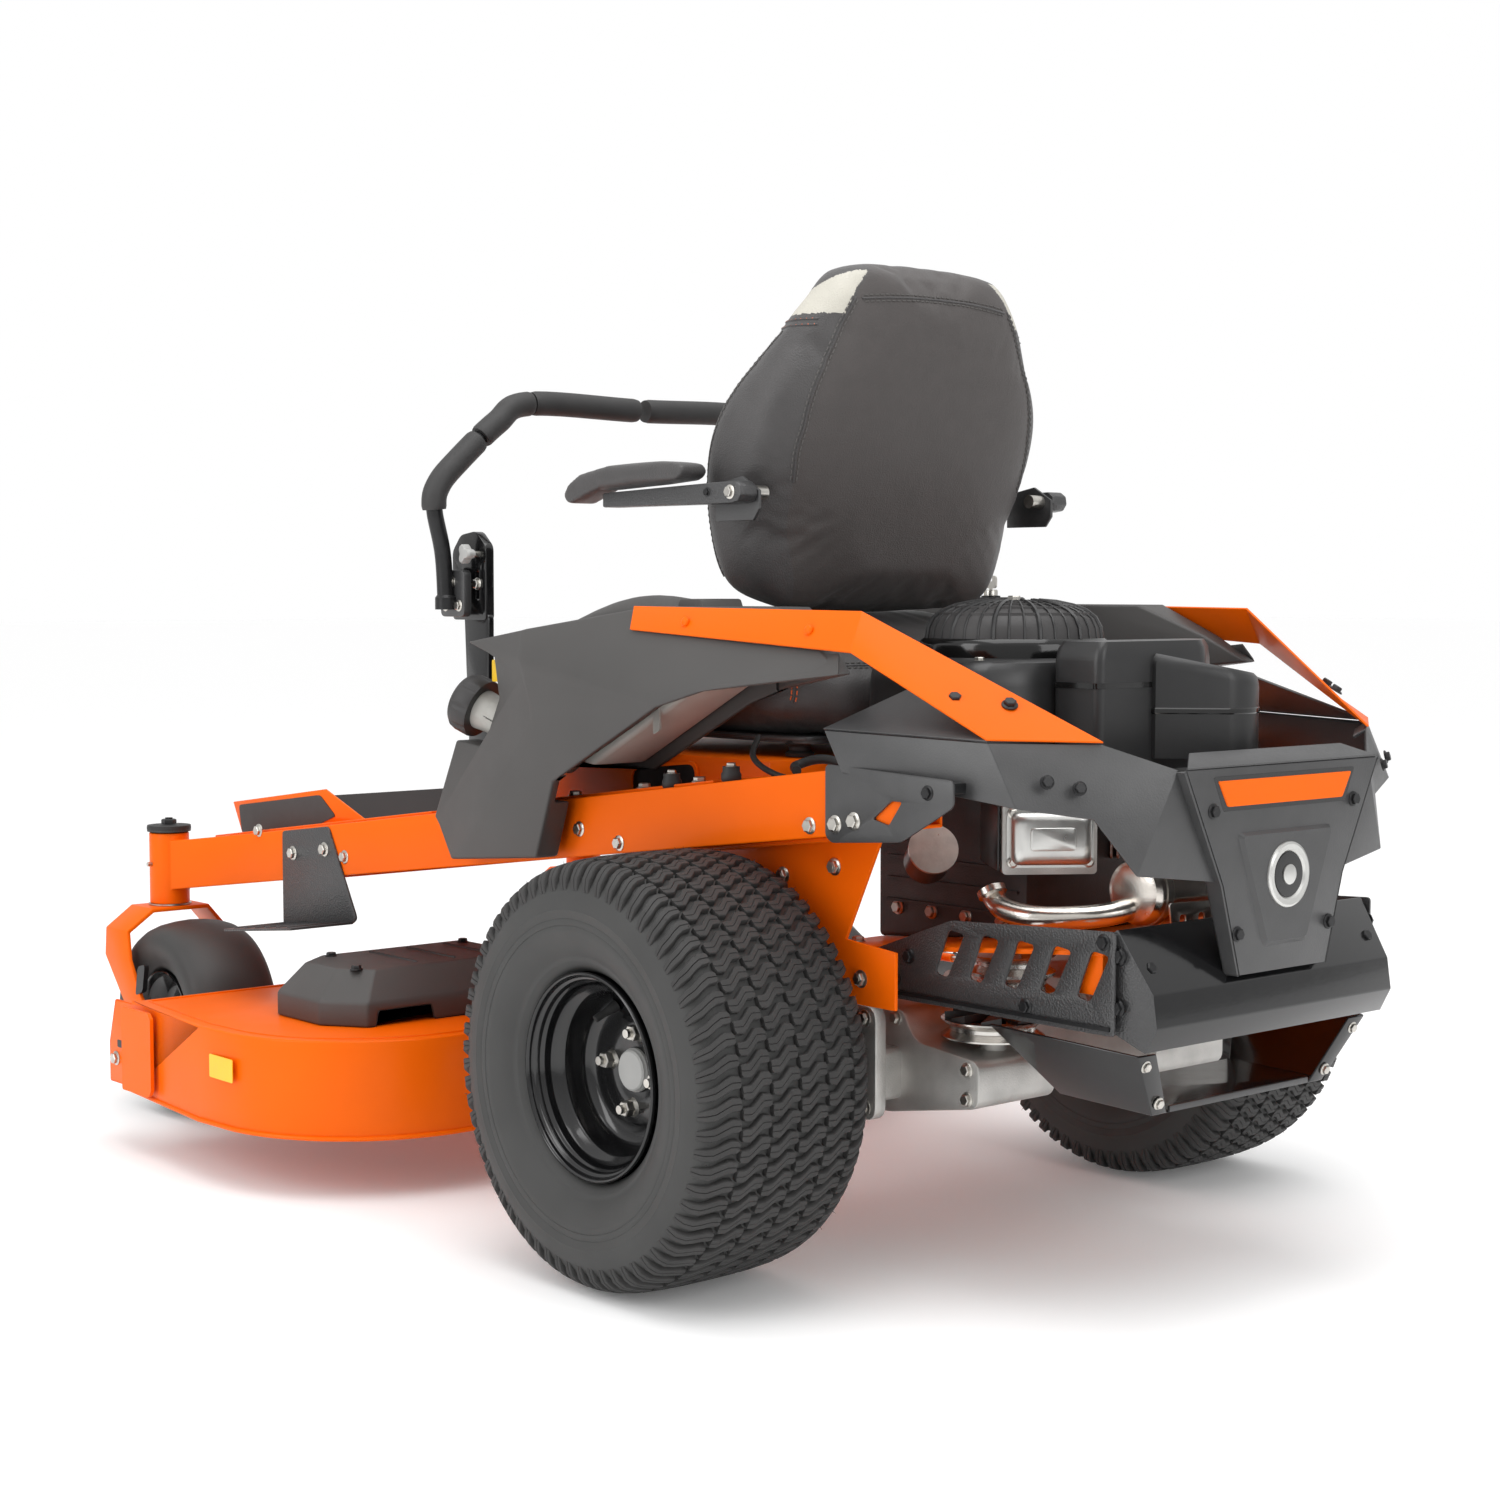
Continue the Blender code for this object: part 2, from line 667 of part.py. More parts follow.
def make_engine_shroud():
    """Blower housing over the engine with the round screen on top, open below and in its slots."""
    plan = [(0.180, 0.045), (0.200, 0.200), (0.235, 0.300), (0.170, 0.340)]
    plan += [(-x, y) for x, y in reversed(plan)]
    inset = [(x * 0.97, 0.18 + (y - 0.18) * 0.96) for x, y in plan]
    shell = cut(prism("Z", plan, 0.6415, 0.808), prism("Z", inset, 0.6, 0.803))
    wall = 0.004
    dome = [(DOME_R, 0.800), (DOME_R, 0.836), (0.108, 0.868), (0.060, 0.882), (0.012, 0.884)]
    under = [(r - wall if r > 0.05 else r, z - wall) for r, z in reversed(dome[:-1])]
    under = [(0.012, 0.880)] + under
    cap = turned(dome + under, (0, CRANK_Y, 0), (0, 0, 1), 24)
    opening = rod((0, CRANK_Y, 0.78), (0, CRANK_Y, 0.83), DOME_R - 0.020, 20)
    place("engine_shroud", joined(cut(shell, opening), cap), "engine_plastic")


def make_air_cleaner():
    """Air cleaner housing behind the shroud, with a lower round-ended intake box."""
    front, rear = 0.3415, 0.425
    housing = prism(
        "Z",
        [(-0.155, front), (0.128, front), (0.128, rear), (-0.079, rear), (-0.150, 0.375)],
        0.665,
        0.832,
    )
    plan = [(-0.124, 0.400), (0.028, 0.400), (0.028, 0.430)] + arc((-0.062, 0.446), 0.062, 60, 180, 6)
    fall = 0.18
    top = [(x, y, 0.812 - fall * ((0.02 - x) * 0.758 + (y - 0.44) * 0.651)) for x, y in plan]
    intake = loft([[(x, y, 0.680) for x, y in plan], top])
    place("air_cleaner", joined(housing, intake), "engine_plastic")


def make_exhaust():
    """Left pipe down from the head and back to the cross muffler."""
    route = [
        (0.212, 0.318, 0.516),
        (0.214, 0.325, 0.500),
        (0.222, 0.352, 0.492),
        (0.212, 0.420, 0.494),
        (0.150, 0.470, 0.500),
        (0.10, 0.480, 0.505),
    ]
    pipe = bent_tube(route, 0.0145, 12)
    muffler = rod((-0.150, 0.480, 0.522), (0.130, 0.480, 0.522), 0.042, 16)
    place("exhaust", joined(muffler, pipe), "steel")


def make_crankshaft():
    """Crankshaft with its cooling fan on top and the drive pulley under the tray."""
    shaft = rod((0, CRANK_Y, 0.330), (0, CRANK_Y, 0.850), 0.0140, 16)
    fan = rod((0, CRANK_Y, 0.690), (0, CRANK_Y, 0.700), 0.095, 16)
    pulley = turned(
        [
            (0.010, 0.345),
            (0.060, 0.345),
            (0.046, 0.358),
            (0.060, 0.371),
            (0.046, 0.384),
            (0.060, 0.397),
            (0.010, 0.397),
        ],
        (0, CRANK_Y, 0),
        (0, 0, 1),
        20,
    )
    place("crankshaft", joined(shaft, fan, pulley), "steel", (0, CRANK_Y, 0.6))


def make_transaxles():
    """Hydrostatic drive of each wheel: casting, axle housing and its input pulley."""
    housing = rod((0.170, 0, WHEEL_R), (0.3830, 0, WHEEL_R), 0.038, 16)
    outline = [
        (-0.080, 0.225),
        (-0.080, 0.335),
        (0.060, 0.352),
        (0.190, 0.352),
        (0.215, 0.312),
        (0.330, 0.300),
        (0.330, 0.240),
        (0.160, 0.210),
    ]
    case = prism("X", outline, 0.100, 0.245)
    tie = rod((0.0010, 0.185, 0.232), (0.240, 0.185, 0.232), 0.016, 12)
    flange = box((0.285, -0.055, 0.212), (0.305, 0.205, 0.361))
    arm = box((0.240, 0.120, 0.232), (0.290, 0.190, 0.300))
    boss = rod((0.172, 0.285, 0.290), (0.172, 0.285, 0.322), 0.018, 12)
    wheel = turned(
        [(0.010, 0.320), (0.068, 0.320), (0.056, 0.332), (0.068, 0.344), (0.010, 0.344)],
        (0.172, 0.285, 0),
        (0, 0, 1),
        20,
    )
    place_pair("transaxle", joined(case, housing, tie, flange, arm, boss, wheel), "aluminium")


# ---------------------------------------------------------------- wheels


def make_rear_wheels():
    """Wide turf tyres on deep dish rims."""
    half = TYRE_WIDTH / 2
    tread = 0.1155
    centre = Vector((WHEEL_X, 0, WHEEL_R))
    outer = [
        (BEAD_R + 0.004, -0.104),
        (0.170, -half + 0.006),
        (0.215, -half),
        (0.250, -half + 0.008),
        (0.2716, -tread),
    ]
    crown = [(WHEEL_R, -0.060)]
    left = outer + crown
    right = [(r, -a) for r, a in reversed(left)]
    place_pair("rear_tyre", turned(left + right, centre, (1, 0, 0), 36, True), "tyre", tuple(centre))
    flange = 0.1215
    dish = 0.030
    profile = [
        (BEAD_R - 0.004, -RIM_HALF + 0.006),
        (BEAD_R + 0.003, -RIM_HALF),
        (BEAD_R - 0.006, -RIM_HALF - 0.001),
        (flange - 0.008, -RIM_HALF + 0.020),
        (flange - 0.012, dish - 0.016),
        (0.055, dish - 0.014),
        (0.022, dish - 0.006),
        (0.022, dish + 0.010),
        (0.056, dish + 0.000),
        (flange - 0.016, dish + 0.000),
        (flange - 0.016, dish + 0.045),
        (flange - 0.004, RIM_HALF - 0.012),
        (BEAD_R - 0.006, RIM_HALF + 0.001),
        (BEAD_R + 0.003, RIM_HALF),
        (BEAD_R - 0.004, RIM_HALF - 0.006),
        (flange - 0.001, RIM_HALF - 0.022),
        (flange - 0.001, -RIM_HALF + 0.022),
    ]
    hub = rod(centre + Vector((-0.1140, 0, 0)), centre + Vector((0.045, 0, 0)), 0.030, 16)
    place_pair("rear_rim", joined(turned(profile, centre, (1, 0, 0), 24), hub), "black", tuple(centre))


def make_casters():
    """Bent-plate forks on a stem, each with a smooth tyre on a pressed rim."""
    wheel_y = CASTER_Y + CASTER_TRAIL
    top = CASTER_TUBE_Z[0] - 0.003
    half = CASTER_WIDTH / 2 + 0.016
    stem = rod(
        (CASTER_X, CASTER_Y, top - 0.004), (CASTER_X, CASTER_Y, CASTER_TUBE_Z[1] + 0.004), STEM_R, 16
    )
    cap = rod(
        (CASTER_X, CASTER_Y, CASTER_TUBE_Z[1] + 0.002),
        (CASTER_X, CASTER_Y, CASTER_TUBE_Z[1] + 0.012),
        0.037,
        16,
    )
    rows = [
        ((0.052, CASTER_Y - 0.040), (0.052, CASTER_Y + 0.040), top - 0.004),
        ((half - 0.006, CASTER_Y - 0.058), (half - 0.006, CASTER_Y + 0.022), top - 0.040),
        ((half, CASTER_Y - 0.050), (half, CASTER_Y + 0.040), top - 0.085),
        ((half, wheel_y - 0.030), (half, wheel_y + 0.030), CASTER_R - 0.028),
    ]
    corners = []
    for front, rear, z in rows:
        for side in (-1, 1):
            corners += [
                (CASTER_X + side * front[0], front[1], z), (CASTER_X + side * rear[0], rear[1], z)
            ]
    faces = [(0, 1, 3, 2)]
    for k in range(len(rows) - 1):
        for s in (0, 2):
            a = 4 * k + s
            faces.append((a, a + 1, a + 5, a + 4))
    fork = joined(folded(corners, faces, 0.007), stem, cap)
    place_pair("caster_fork", fork, "orange", (CASTER_X, CASTER_Y, top))
    centre = Vector((CASTER_X, wheel_y, CASTER_R))
    w = CASTER_WIDTH / 2
    left = [(0.080, -0.058), (0.110, -w + 0.004), (0.135, -w), (0.156, -0.060), (CASTER_R, -0.022)]
    tyre = turned(left + [(r, -a) for r, a in reversed(left)], centre, (1, 0, 0), 24, True)
    place_pair("caster_tyre", tyre, "caster_rubber", tuple(centre))
    edge = [
        (0.0795, -0.056),
        (0.074, -0.066),
        (0.066, -0.050),
        (0.060, -0.012),
        (0.024, -0.010),
        (0.012, -0.078),
    ]
    rim = turned(edge + [(r, -a) for r, a in reversed(edge)], centre, (1, 0, 0), 20)
    place_pair("caster_rim", rim, "black", tuple(centre))


# ---------------------------------------------------------------- cutting deck


def deck_outline(inset=0.0):
    """Plan of the deck: round rear corners, straight flanks and a round nose over the centre blade."""
    shell = SHELL_R - inset
    side = DECK_SIDE_X - inset
    front = DECK_FRONT_Y + inset
    nose_angle = math.degrees(math.asin((CENTRE_SPINDLE_Y - front) / shell))
    left = [(side - 0.024, front), (side, -0.868)] + arc((SPINDLE_X, SPINDLE_Y), shell, 0, 90, 10)
    right = [(-x, y) for x, y in reversed(left)]
    nose = arc((0, CENTRE_SPINDLE_Y), shell, 180 + nose_angle, 360 - nose_angle, 10)
    return left + right + nose


SPINDLES = {
    "left": (SPINDLE_X, SPINDLE_Y),
    "centre": (0.0, CENTRE_SPINDLE_Y),
    "right": (-SPINDLE_X, SPINDLE_Y),
}
SCALP_CENTRE = (0.655, -1.183, 0.140)


def make_deck():
    """Open-bottomed deck shell with spindle housings, anti-scalp brackets and a side discharge."""
    shell = prism("Z", deck_outline(), DECK_LOW, DECK_TOP)
    inside = prism("Z", deck_outline(SHEET), DECK_LOW - 0.02, DECK_TOP - SHEET)
    discharge = box((-0.8, -1.020, 0.05), (-0.600, -0.700, DECK_TOP - 0.022))
    solid = cut(shell, inside, discharge)
    for x, y in SPINDLES.values():
        solid = joined(solid, rod((x, y, DECK_TOP - 0.002), (x, y, DECK_TOP + 0.018), 0.045, 16))
    bracket = prism(
        "X",
        [(-1.207, 0.165), (-1.185, 0.236), (-1.060, 0.236), (-1.060, 0.100), (-1.207, 0.100)],
        0.6725,
        0.6765,
    )
    bolt = rod((0.6200, *SCALP_CENTRE[1:]), (0.6740, *SCALP_CENTRE[1:]), 0.006, 8)
    solid = joined(solid, bracket, mirrored(bracket), bolt, mirrored(bolt))
    bores = [rod((x, y, 0.1), (x, y, 0.4), 0.0165, 16) for x, y in SPINDLES.values()]
    place("deck_shell", cut(solid, *bores), "orange", (0, SPINDLE_Y, DECK_TOP))


def make_deck_covers():
    """Moulded belt covers over the outer spindles, open underneath."""
    low = [
        (0.560, -0.870),
        (0.560, -0.745),
        (0.515, -0.680),
        (0.180, -0.680),
        (0.180, -0.930),
        (0.500, -0.930),
    ]
    high = [
        (0.520, -0.850),
        (0.520, -0.760),
        (0.480, -0.715),
        (0.200, -0.715),
        (0.200, -0.895),
        (0.465, -0.895),
    ]
    base, top = DECK_TOP + GAP, 0.320

    def shell(shrink, z_low, z_high):
        def pull(points, z):
            return [(0.36 + (x - 0.36) * shrink, -0.805 + (y + 0.805) * shrink, z) for x, y in points]

        return loft([pull(low, z_low), pull(low, (z_low + z_high) / 2 - 0.004), pull(high, z_high)])

    cover = cut(shell(1.0, base, top), shell(0.96, base - 0.02, top - 0.004))
    arch = prism("Y", [(0.505, 0.20), (0.495, 0.262), (0.400, 0.262), (0.385, 0.20)], -0.70, -0.60)
    place_pair("deck_cover", cut(cover, arch), "plastic")


def make_spindles():
    """Spindle shaft with its pulley above the deck and the blade below."""
    for name, (x, y) in SPINDLES.items():
        shaft = rod((x, y, 0.112), (x, y, 0.300), 0.0135, 16)
        pulley = turned(
            [(0.008, 0.266), (0.066, 0.266), (0.054, 0.277), (0.066, 0.288), (0.008, 0.288)],
            (x, y, 0),
            (0, 0, 1),
            20,
        )
        blade = box((x - 0.030, y - BLADE_R, 0.116), (x + 0.030, y + BLADE_R, 0.122))
        turn = Matrix.Translation((x, y, 0)) @ Matrix.Rotation(
            math.radians(20), 4, "Z"
        ) @ Matrix.Translation((-x, -y, 0))
        blade = ([tuple(turn @ Vector(p)) for p in blade[0]], blade[1])
        hub = rod((x, y, 0.121), (x, y, 0.150), 0.030, 12)
        place("spindle_" + name, joined(shaft, pulley, blade, hub), "steel", (x, y, 0.2))


def make_chute():
    """Flexible discharge deflector, hinged along the right edge of the deck."""
    root_x = -(DECK_SIDE_X + 0.008)
    tip_x = CHUTE_TIP_X
    top = [
        (root_x, 0.232),
        (root_x - 0.05, 0.226),
        (tip_x, 0.140),
        (tip_x, 0.134),
        (root_x - 0.05, 0.220),
        (root_x, 0.226),
    ]
    plate = prism("Y", top, -1.040, -0.640)
    cheek = [(root_x - 0.02, 0.228), (tip_x, 0.137), (tip_x + 0.02, 0.118), (root_x - 0.02, 0.160)]
    front = prism("Y", cheek, -1.040, -1.034)
    rear = prism("Y", cheek, -0.646, -0.640)
    place("discharge_chute", joined(plate, front, rear), "rubber", (root_x, -0.84, 0.229))


def make_anti_scalp_wheels():
    x, y, z = SCALP_CENTRE
    wheel = turned(
        [
            (0.0085, -0.013),
            (0.034, -0.014),
            (0.042, -0.008),
            (0.042, 0.008),
            (0.034, 0.014),
            (0.0085, 0.013),
        ],
        SCALP_CENTRE,
        (1, 0, 0),
        20,
    )
    place_pair("anti_scalp", wheel, "wheel_plastic", (x, y, z))


# ---------------------------------------------------------------- seat


def make_seat_pan():
    """Tilting pan on four isolators."""
    pan = box((-0.215, -0.530, 0.688), (0.215, -0.030, 0.694))
    feet = [
        rod((x, y, 0.6645), (x, y, 0.690), 0.018, 12) for x in (-0.19, 0.19) for y in (-0.49, -0.07)
    ]
    place("seat_pan", joined(pan, *feet), "black", (0, -0.530, 0.680))


def rounded_ring(half_width, y_front, y_rear, z, corner=0.045):
    """Twelve-point ring of a cushion's cross-section at height z."""
    c = min(corner, half_width * 0.6, (y_rear - y_front) * 0.45)
    xs = (half_width - c, half_width - 0.3 * c, half_width)
    quarter = [(xs[2], c), (xs[1], 0.3 * c), (xs[0], 0)]
    ring_points = [(x, y_front + d, z) for x, d in quarter]
    ring_points += [(-x, y_front + d, z) for x, d in reversed(quarter)]
    ring_points += [(-x, y_rear - d, z) for x, d in quarter]
    ring_points += [(x, y_rear - d, z) for x, d in reversed(quarter)]
    return ring_points


def make_seat():
    """Plain closed cushions: the seat and the high back."""
    cushion = [
        (0.215, -0.520, 0.005, 0.698),
        (0.245, -0.545, 0.030, 0.725),
        (0.252, -0.550, 0.030, 0.770),
        (0.252, -0.548, -0.005, 0.805),
        (0.245, -0.540, -0.060, 0.835),
        (0.225, -0.510, -0.110, 0.862),
    ]
    place("seat_cushion", loft([rounded_ring(*row) for row in cushion]), "vinyl", (0, -0.25, 0.698))
    back = [
        (0.200, -0.150, -0.080, 0.868),
        (0.238, -0.225, -0.068, 0.900),
        (0.264, -0.245, -0.045, 0.980),
        (0.280, -0.240, -0.015, 1.080),
        (0.272, -0.205, 0.000, 1.160),
        (0.225, -0.150, 0.012, 1.250),
        (0.190, -0.115, 0.012, 1.305),
        (0.140, -0.090, 0.000, 1.355),
    ]
    place("seat_back", loft([rounded_ring(*row) for row in back]), "vinyl", (0, -0.10, 0.90))


ARM_PIVOT = (0.308, -0.062, 1.0275)


def make_armrests():
    """Padded armrests on channel brackets that flip up."""
    channel = box((0.292, -0.345, 1.0125), (0.324, -0.040, 1.0430))
    outline = [
        (-0.425, 1.030),
        (-0.410, 1.018),
        (-0.340, 1.0405),
        (-0.160, 1.046),
        (-0.150, 1.060),
        (-0.200, 1.074),
        (-0.320, 1.072),
        (-0.410, 1.052),
    ]
    pad = prism("X", outline, 0.286, 0.340)
    place_pair("armrest", joined(channel, pad), "plastic", ARM_PIVOT)


# ---------------------------------------------------------------- controls

LEVER_PIVOT = (0.3305, -0.640, 0.520)
LAP_PIVOT = (0.353, -0.668, 0.862)
LAP_ROUTE = [
    (0.372, -0.675, 0.868),
    (0.377, -0.675, 0.950),
    (0.392, -0.675, 1.020),
    (0.384, -0.674, 1.055),
    (0.350, -0.672, 1.092),
    (0.280, -0.670, 1.152),
    (0.220, -0.669, 1.184),
    (0.008, -0.669, 1.183),
]
GRIP_R, TUBE_R = 0.0190, 0.0125


def make_levers():
    """Drive levers: flat arms on a pivot beside the rail, with a slotted head for the lap bar."""
    x, y, z = LEVER_PIVOT
    arm = prism(
        "X",
        [(y - 0.022, z - 0.02), (y + 0.022, z - 0.02), (y + 0.026, 0.86), (y - 0.040, 0.86)],
        x - 0.005,
        x + 0.005,
    )
    head = prism(
        "X",
        [
            (y - 0.068, 0.850),
            (y + 0.022, 0.850),
            (y + 0.022, 0.962),
            (y - 0.005, 0.985),
            (y - 0.045, 0.980),
            (y - 0.068, 0.955),
        ],
        x - 0.008,
        x + 0.007,
    )
    boss = rod((x - 0.014, y, z), (x + 0.007, y, z), 0.020, 14)
    slots = [
        prism(
            "X",
            [(y + a, 0.880), (y + a + 0.009, 0.880), (y + a + 0.009, 0.925), (y + a, 0.925)],
            0.2,
            0.5,
        )
        for a in (-0.045, -0.005)
    ]
    place_pair("lever", cut(joined(arm, head, boss), *slots), "black", LEVER_PIVOT)


def make_lap_bars():
    """Bent tubes with thick grips; they swing outwards on the lever heads."""
    lug = prism(
        "X", [(-0.700, 0.857), (-0.640, 0.857), (-0.640, 0.925), (-0.700, 0.925)], 0.3500, 0.3640
    )
    low = bent_tube(LAP_ROUTE[:5], TUBE_R, 10)
    grip = bent_tube(LAP_ROUTE[4:], GRIP_R, 12)
    place_pair("lap_bar", joined(low, grip, lug), "grip", LAP_PIVOT)


CONSOLE_TOP = 0.884
THROTTLE_AT = (-0.352, -0.350)
PTO_AT = (-0.352, -0.285)
KEY_AT = (-0.352, -0.225)


def make_console_controls():
    """Throttle lever, blade clutch knob and ignition key on the right pod."""
    x, y = THROTTLE_AT
    base = CONSOLE_TOP + GAP
    plate = box((x - 0.004, y - 0.006, base + 0.004), (x + 0.004, y + 0.006, base + 0.036))
    knob = box((x - 0.011, y - 0.010, base + 0.034), (x + 0.011, y + 0.010, base + 0.052))
    place("throttle_lever", joined(plate, knob), "plastic", (x, y, CONSOLE_TOP))
    x, y = PTO_AT
    collar = rod((x, y, base), (x, y, base + 0.022), 0.010, 12)
    head = rod((x, y, base + 0.020), (x, y, base + 0.036), 0.019, 16, 0.017)
    place("pto_knob", joined(collar, head), "yellow", (x, y, CONSOLE_TOP))
    x, y = KEY_AT
    barrel = rod((x, y, base), (x, y, base + 0.012), 0.011, 12)
    bow = box((x - 0.002, y - 0.012, base + 0.010), (x + 0.002, y + 0.012, base + 0.034))
    place("ignition_key", joined(barrel, bow), "steel", (x, y, CONSOLE_TOP))


PEDAL_PIVOT = (-0.200, -1.150, 0.520)


def make_lift_pedal():
    """Foot pedal that raises the deck."""
    x, y, z = PEDAL_PIVOT
    hub = rod((x - 0.030, y, z), (x + 0.030, y, z), 0.010, 10)
    arm = prism(
        "X",
        [(y - 0.006, z), (y + 0.006, z), (y - 0.062, z + 0.105), (y - 0.074, z + 0.100)],
        x - 0.005,
        x + 0.005,
    )
    tread = prism(
        "X",
        [
            (y - 0.086, z + 0.088),
            (y - 0.040, z + 0.118),
            (y - 0.044, z + 0.124),
            (y - 0.090, z + 0.094),
        ],
        x - 0.045,
        x + 0.045,
    )
    place("lift_pedal", joined(hub, arm, tread), "black", PEDAL_PIVOT)


def main():
    for obj in list(bpy.data.objects):
        bpy.data.objects.remove(obj)
    root = bpy.data.objects.new("mower", None)
    root.location = ROOT
    bpy.context.scene.collection.objects.link(root)
    make_rails()
    make_front_beam()
    make_engine_cradle()
    make_floor_pan()
    make_steps()
    make_pods()
    make_fuel_tank()
    make_fuel_cap()
    make_fender_strips()
    make_seat_base()
    make_rear_guard()
    make_guard_wings()
    make_bumper()
    make_grilles()
    make_lower_guard()
    make_engine_block()
    make_engine_shroud()
    make_air_cleaner()
    make_exhaust()
    make_crankshaft()
    make_transaxles()
    make_rear_wheels()
    make_casters()
    make_deck()
    make_deck_covers()
    make_spindles()
    make_chute()
    make_anti_scalp_wheels()
    make_seat_pan()
    make_seat()
    make_armrests()
    make_levers()
    make_lap_bars()
    make_console_controls()
    make_lift_pedal()


PAINTS = {
    "orange": paint("orange", (0.90, 0.20, 0.01), 0.25),
    "black": paint("black", (0.02, 0.02, 0.022), 0.35),
    "plastic": paint("plastic", (0.07, 0.068, 0.068), 0.55),
    "engine_plastic": paint("engine_plastic", (0.015, 0.015, 0.016), 0.4),
    "tank": paint("tank", (0.35, 0.35, 0.34), 0.5),
    "engine_metal": paint("engine_metal", (0.45, 0.45, 0.44), 0.45, 0.8),
    "aluminium": paint("aluminium", (0.55, 0.55, 0.55), 0.5, 0.9),
    "steel": paint("steel", (0.6, 0.59, 0.57), 0.3, 1.0),
    "tyre": paint("tyre", (0.025, 0.025, 0.026), 0.8),
    "caster_rubber": paint("caster_rubber", (0.025, 0.025, 0.026), 0.6),
    "rubber": paint("rubber", (0.02, 0.02, 0.02), 0.7),
    "wheel_plastic": paint("wheel_plastic", (0.03, 0.03, 0.03), 0.5),
    "vinyl": paint("vinyl", (0.05, 0.047, 0.046), 0.55),
    "grip": paint("grip", (0.05, 0.05, 0.05), 0.6),
    "yellow": paint("yellow", (0.85, 0.60, 0.02), 0.4),
}
main()
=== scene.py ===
"""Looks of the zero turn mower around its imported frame.

Machine axes are used throughout: X to the operator's left, Y to the rear, Z up, measured from the
ground point midway between the rear wheels. Every finished piece is then shifted by ORIGIN.
"""

import json
import math

import bmesh
import bpy
import numpy as np
from mathutils import Matrix, Vector

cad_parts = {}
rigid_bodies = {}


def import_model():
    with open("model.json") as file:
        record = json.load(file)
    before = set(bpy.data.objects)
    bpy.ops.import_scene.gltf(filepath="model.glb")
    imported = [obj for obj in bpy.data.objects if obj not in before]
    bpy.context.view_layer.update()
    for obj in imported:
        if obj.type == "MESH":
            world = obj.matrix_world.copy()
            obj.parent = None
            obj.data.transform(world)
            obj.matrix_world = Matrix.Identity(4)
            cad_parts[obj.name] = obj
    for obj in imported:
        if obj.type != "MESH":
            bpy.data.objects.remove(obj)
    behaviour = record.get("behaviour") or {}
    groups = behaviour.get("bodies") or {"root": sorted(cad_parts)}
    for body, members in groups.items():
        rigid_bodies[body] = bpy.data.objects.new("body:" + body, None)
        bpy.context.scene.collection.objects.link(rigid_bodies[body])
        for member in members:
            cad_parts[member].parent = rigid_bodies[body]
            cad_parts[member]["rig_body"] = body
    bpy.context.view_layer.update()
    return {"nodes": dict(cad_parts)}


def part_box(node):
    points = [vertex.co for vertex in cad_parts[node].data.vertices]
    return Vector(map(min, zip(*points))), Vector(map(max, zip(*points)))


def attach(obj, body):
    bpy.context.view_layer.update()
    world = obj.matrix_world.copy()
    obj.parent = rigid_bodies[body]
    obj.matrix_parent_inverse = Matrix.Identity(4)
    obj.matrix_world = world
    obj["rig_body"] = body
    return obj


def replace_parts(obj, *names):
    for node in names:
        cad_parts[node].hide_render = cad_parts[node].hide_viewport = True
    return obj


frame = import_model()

tyre_l, tyre_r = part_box("rear_tyre_left"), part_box("rear_tyre_right")
ORIGIN = Vector(((tyre_l[0].x + tyre_r[1].x) / 2, (tyre_l[0].y + tyre_l[1].y) / 2, 0))
NODE_BODY = {n: o["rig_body"] for n, o in frame["nodes"].items()}
OUT, REAR, UP = (1, 0, 0), (0, 1, 0), (0, 0, 1)
SIDES = ((1, "left"), (-1, "right"))
AXES = {"X": (0, 1, 2), "Y": (1, 0, 2), "Z": (2, 0, 1)}

# ---------------------------------------------------------------- materials


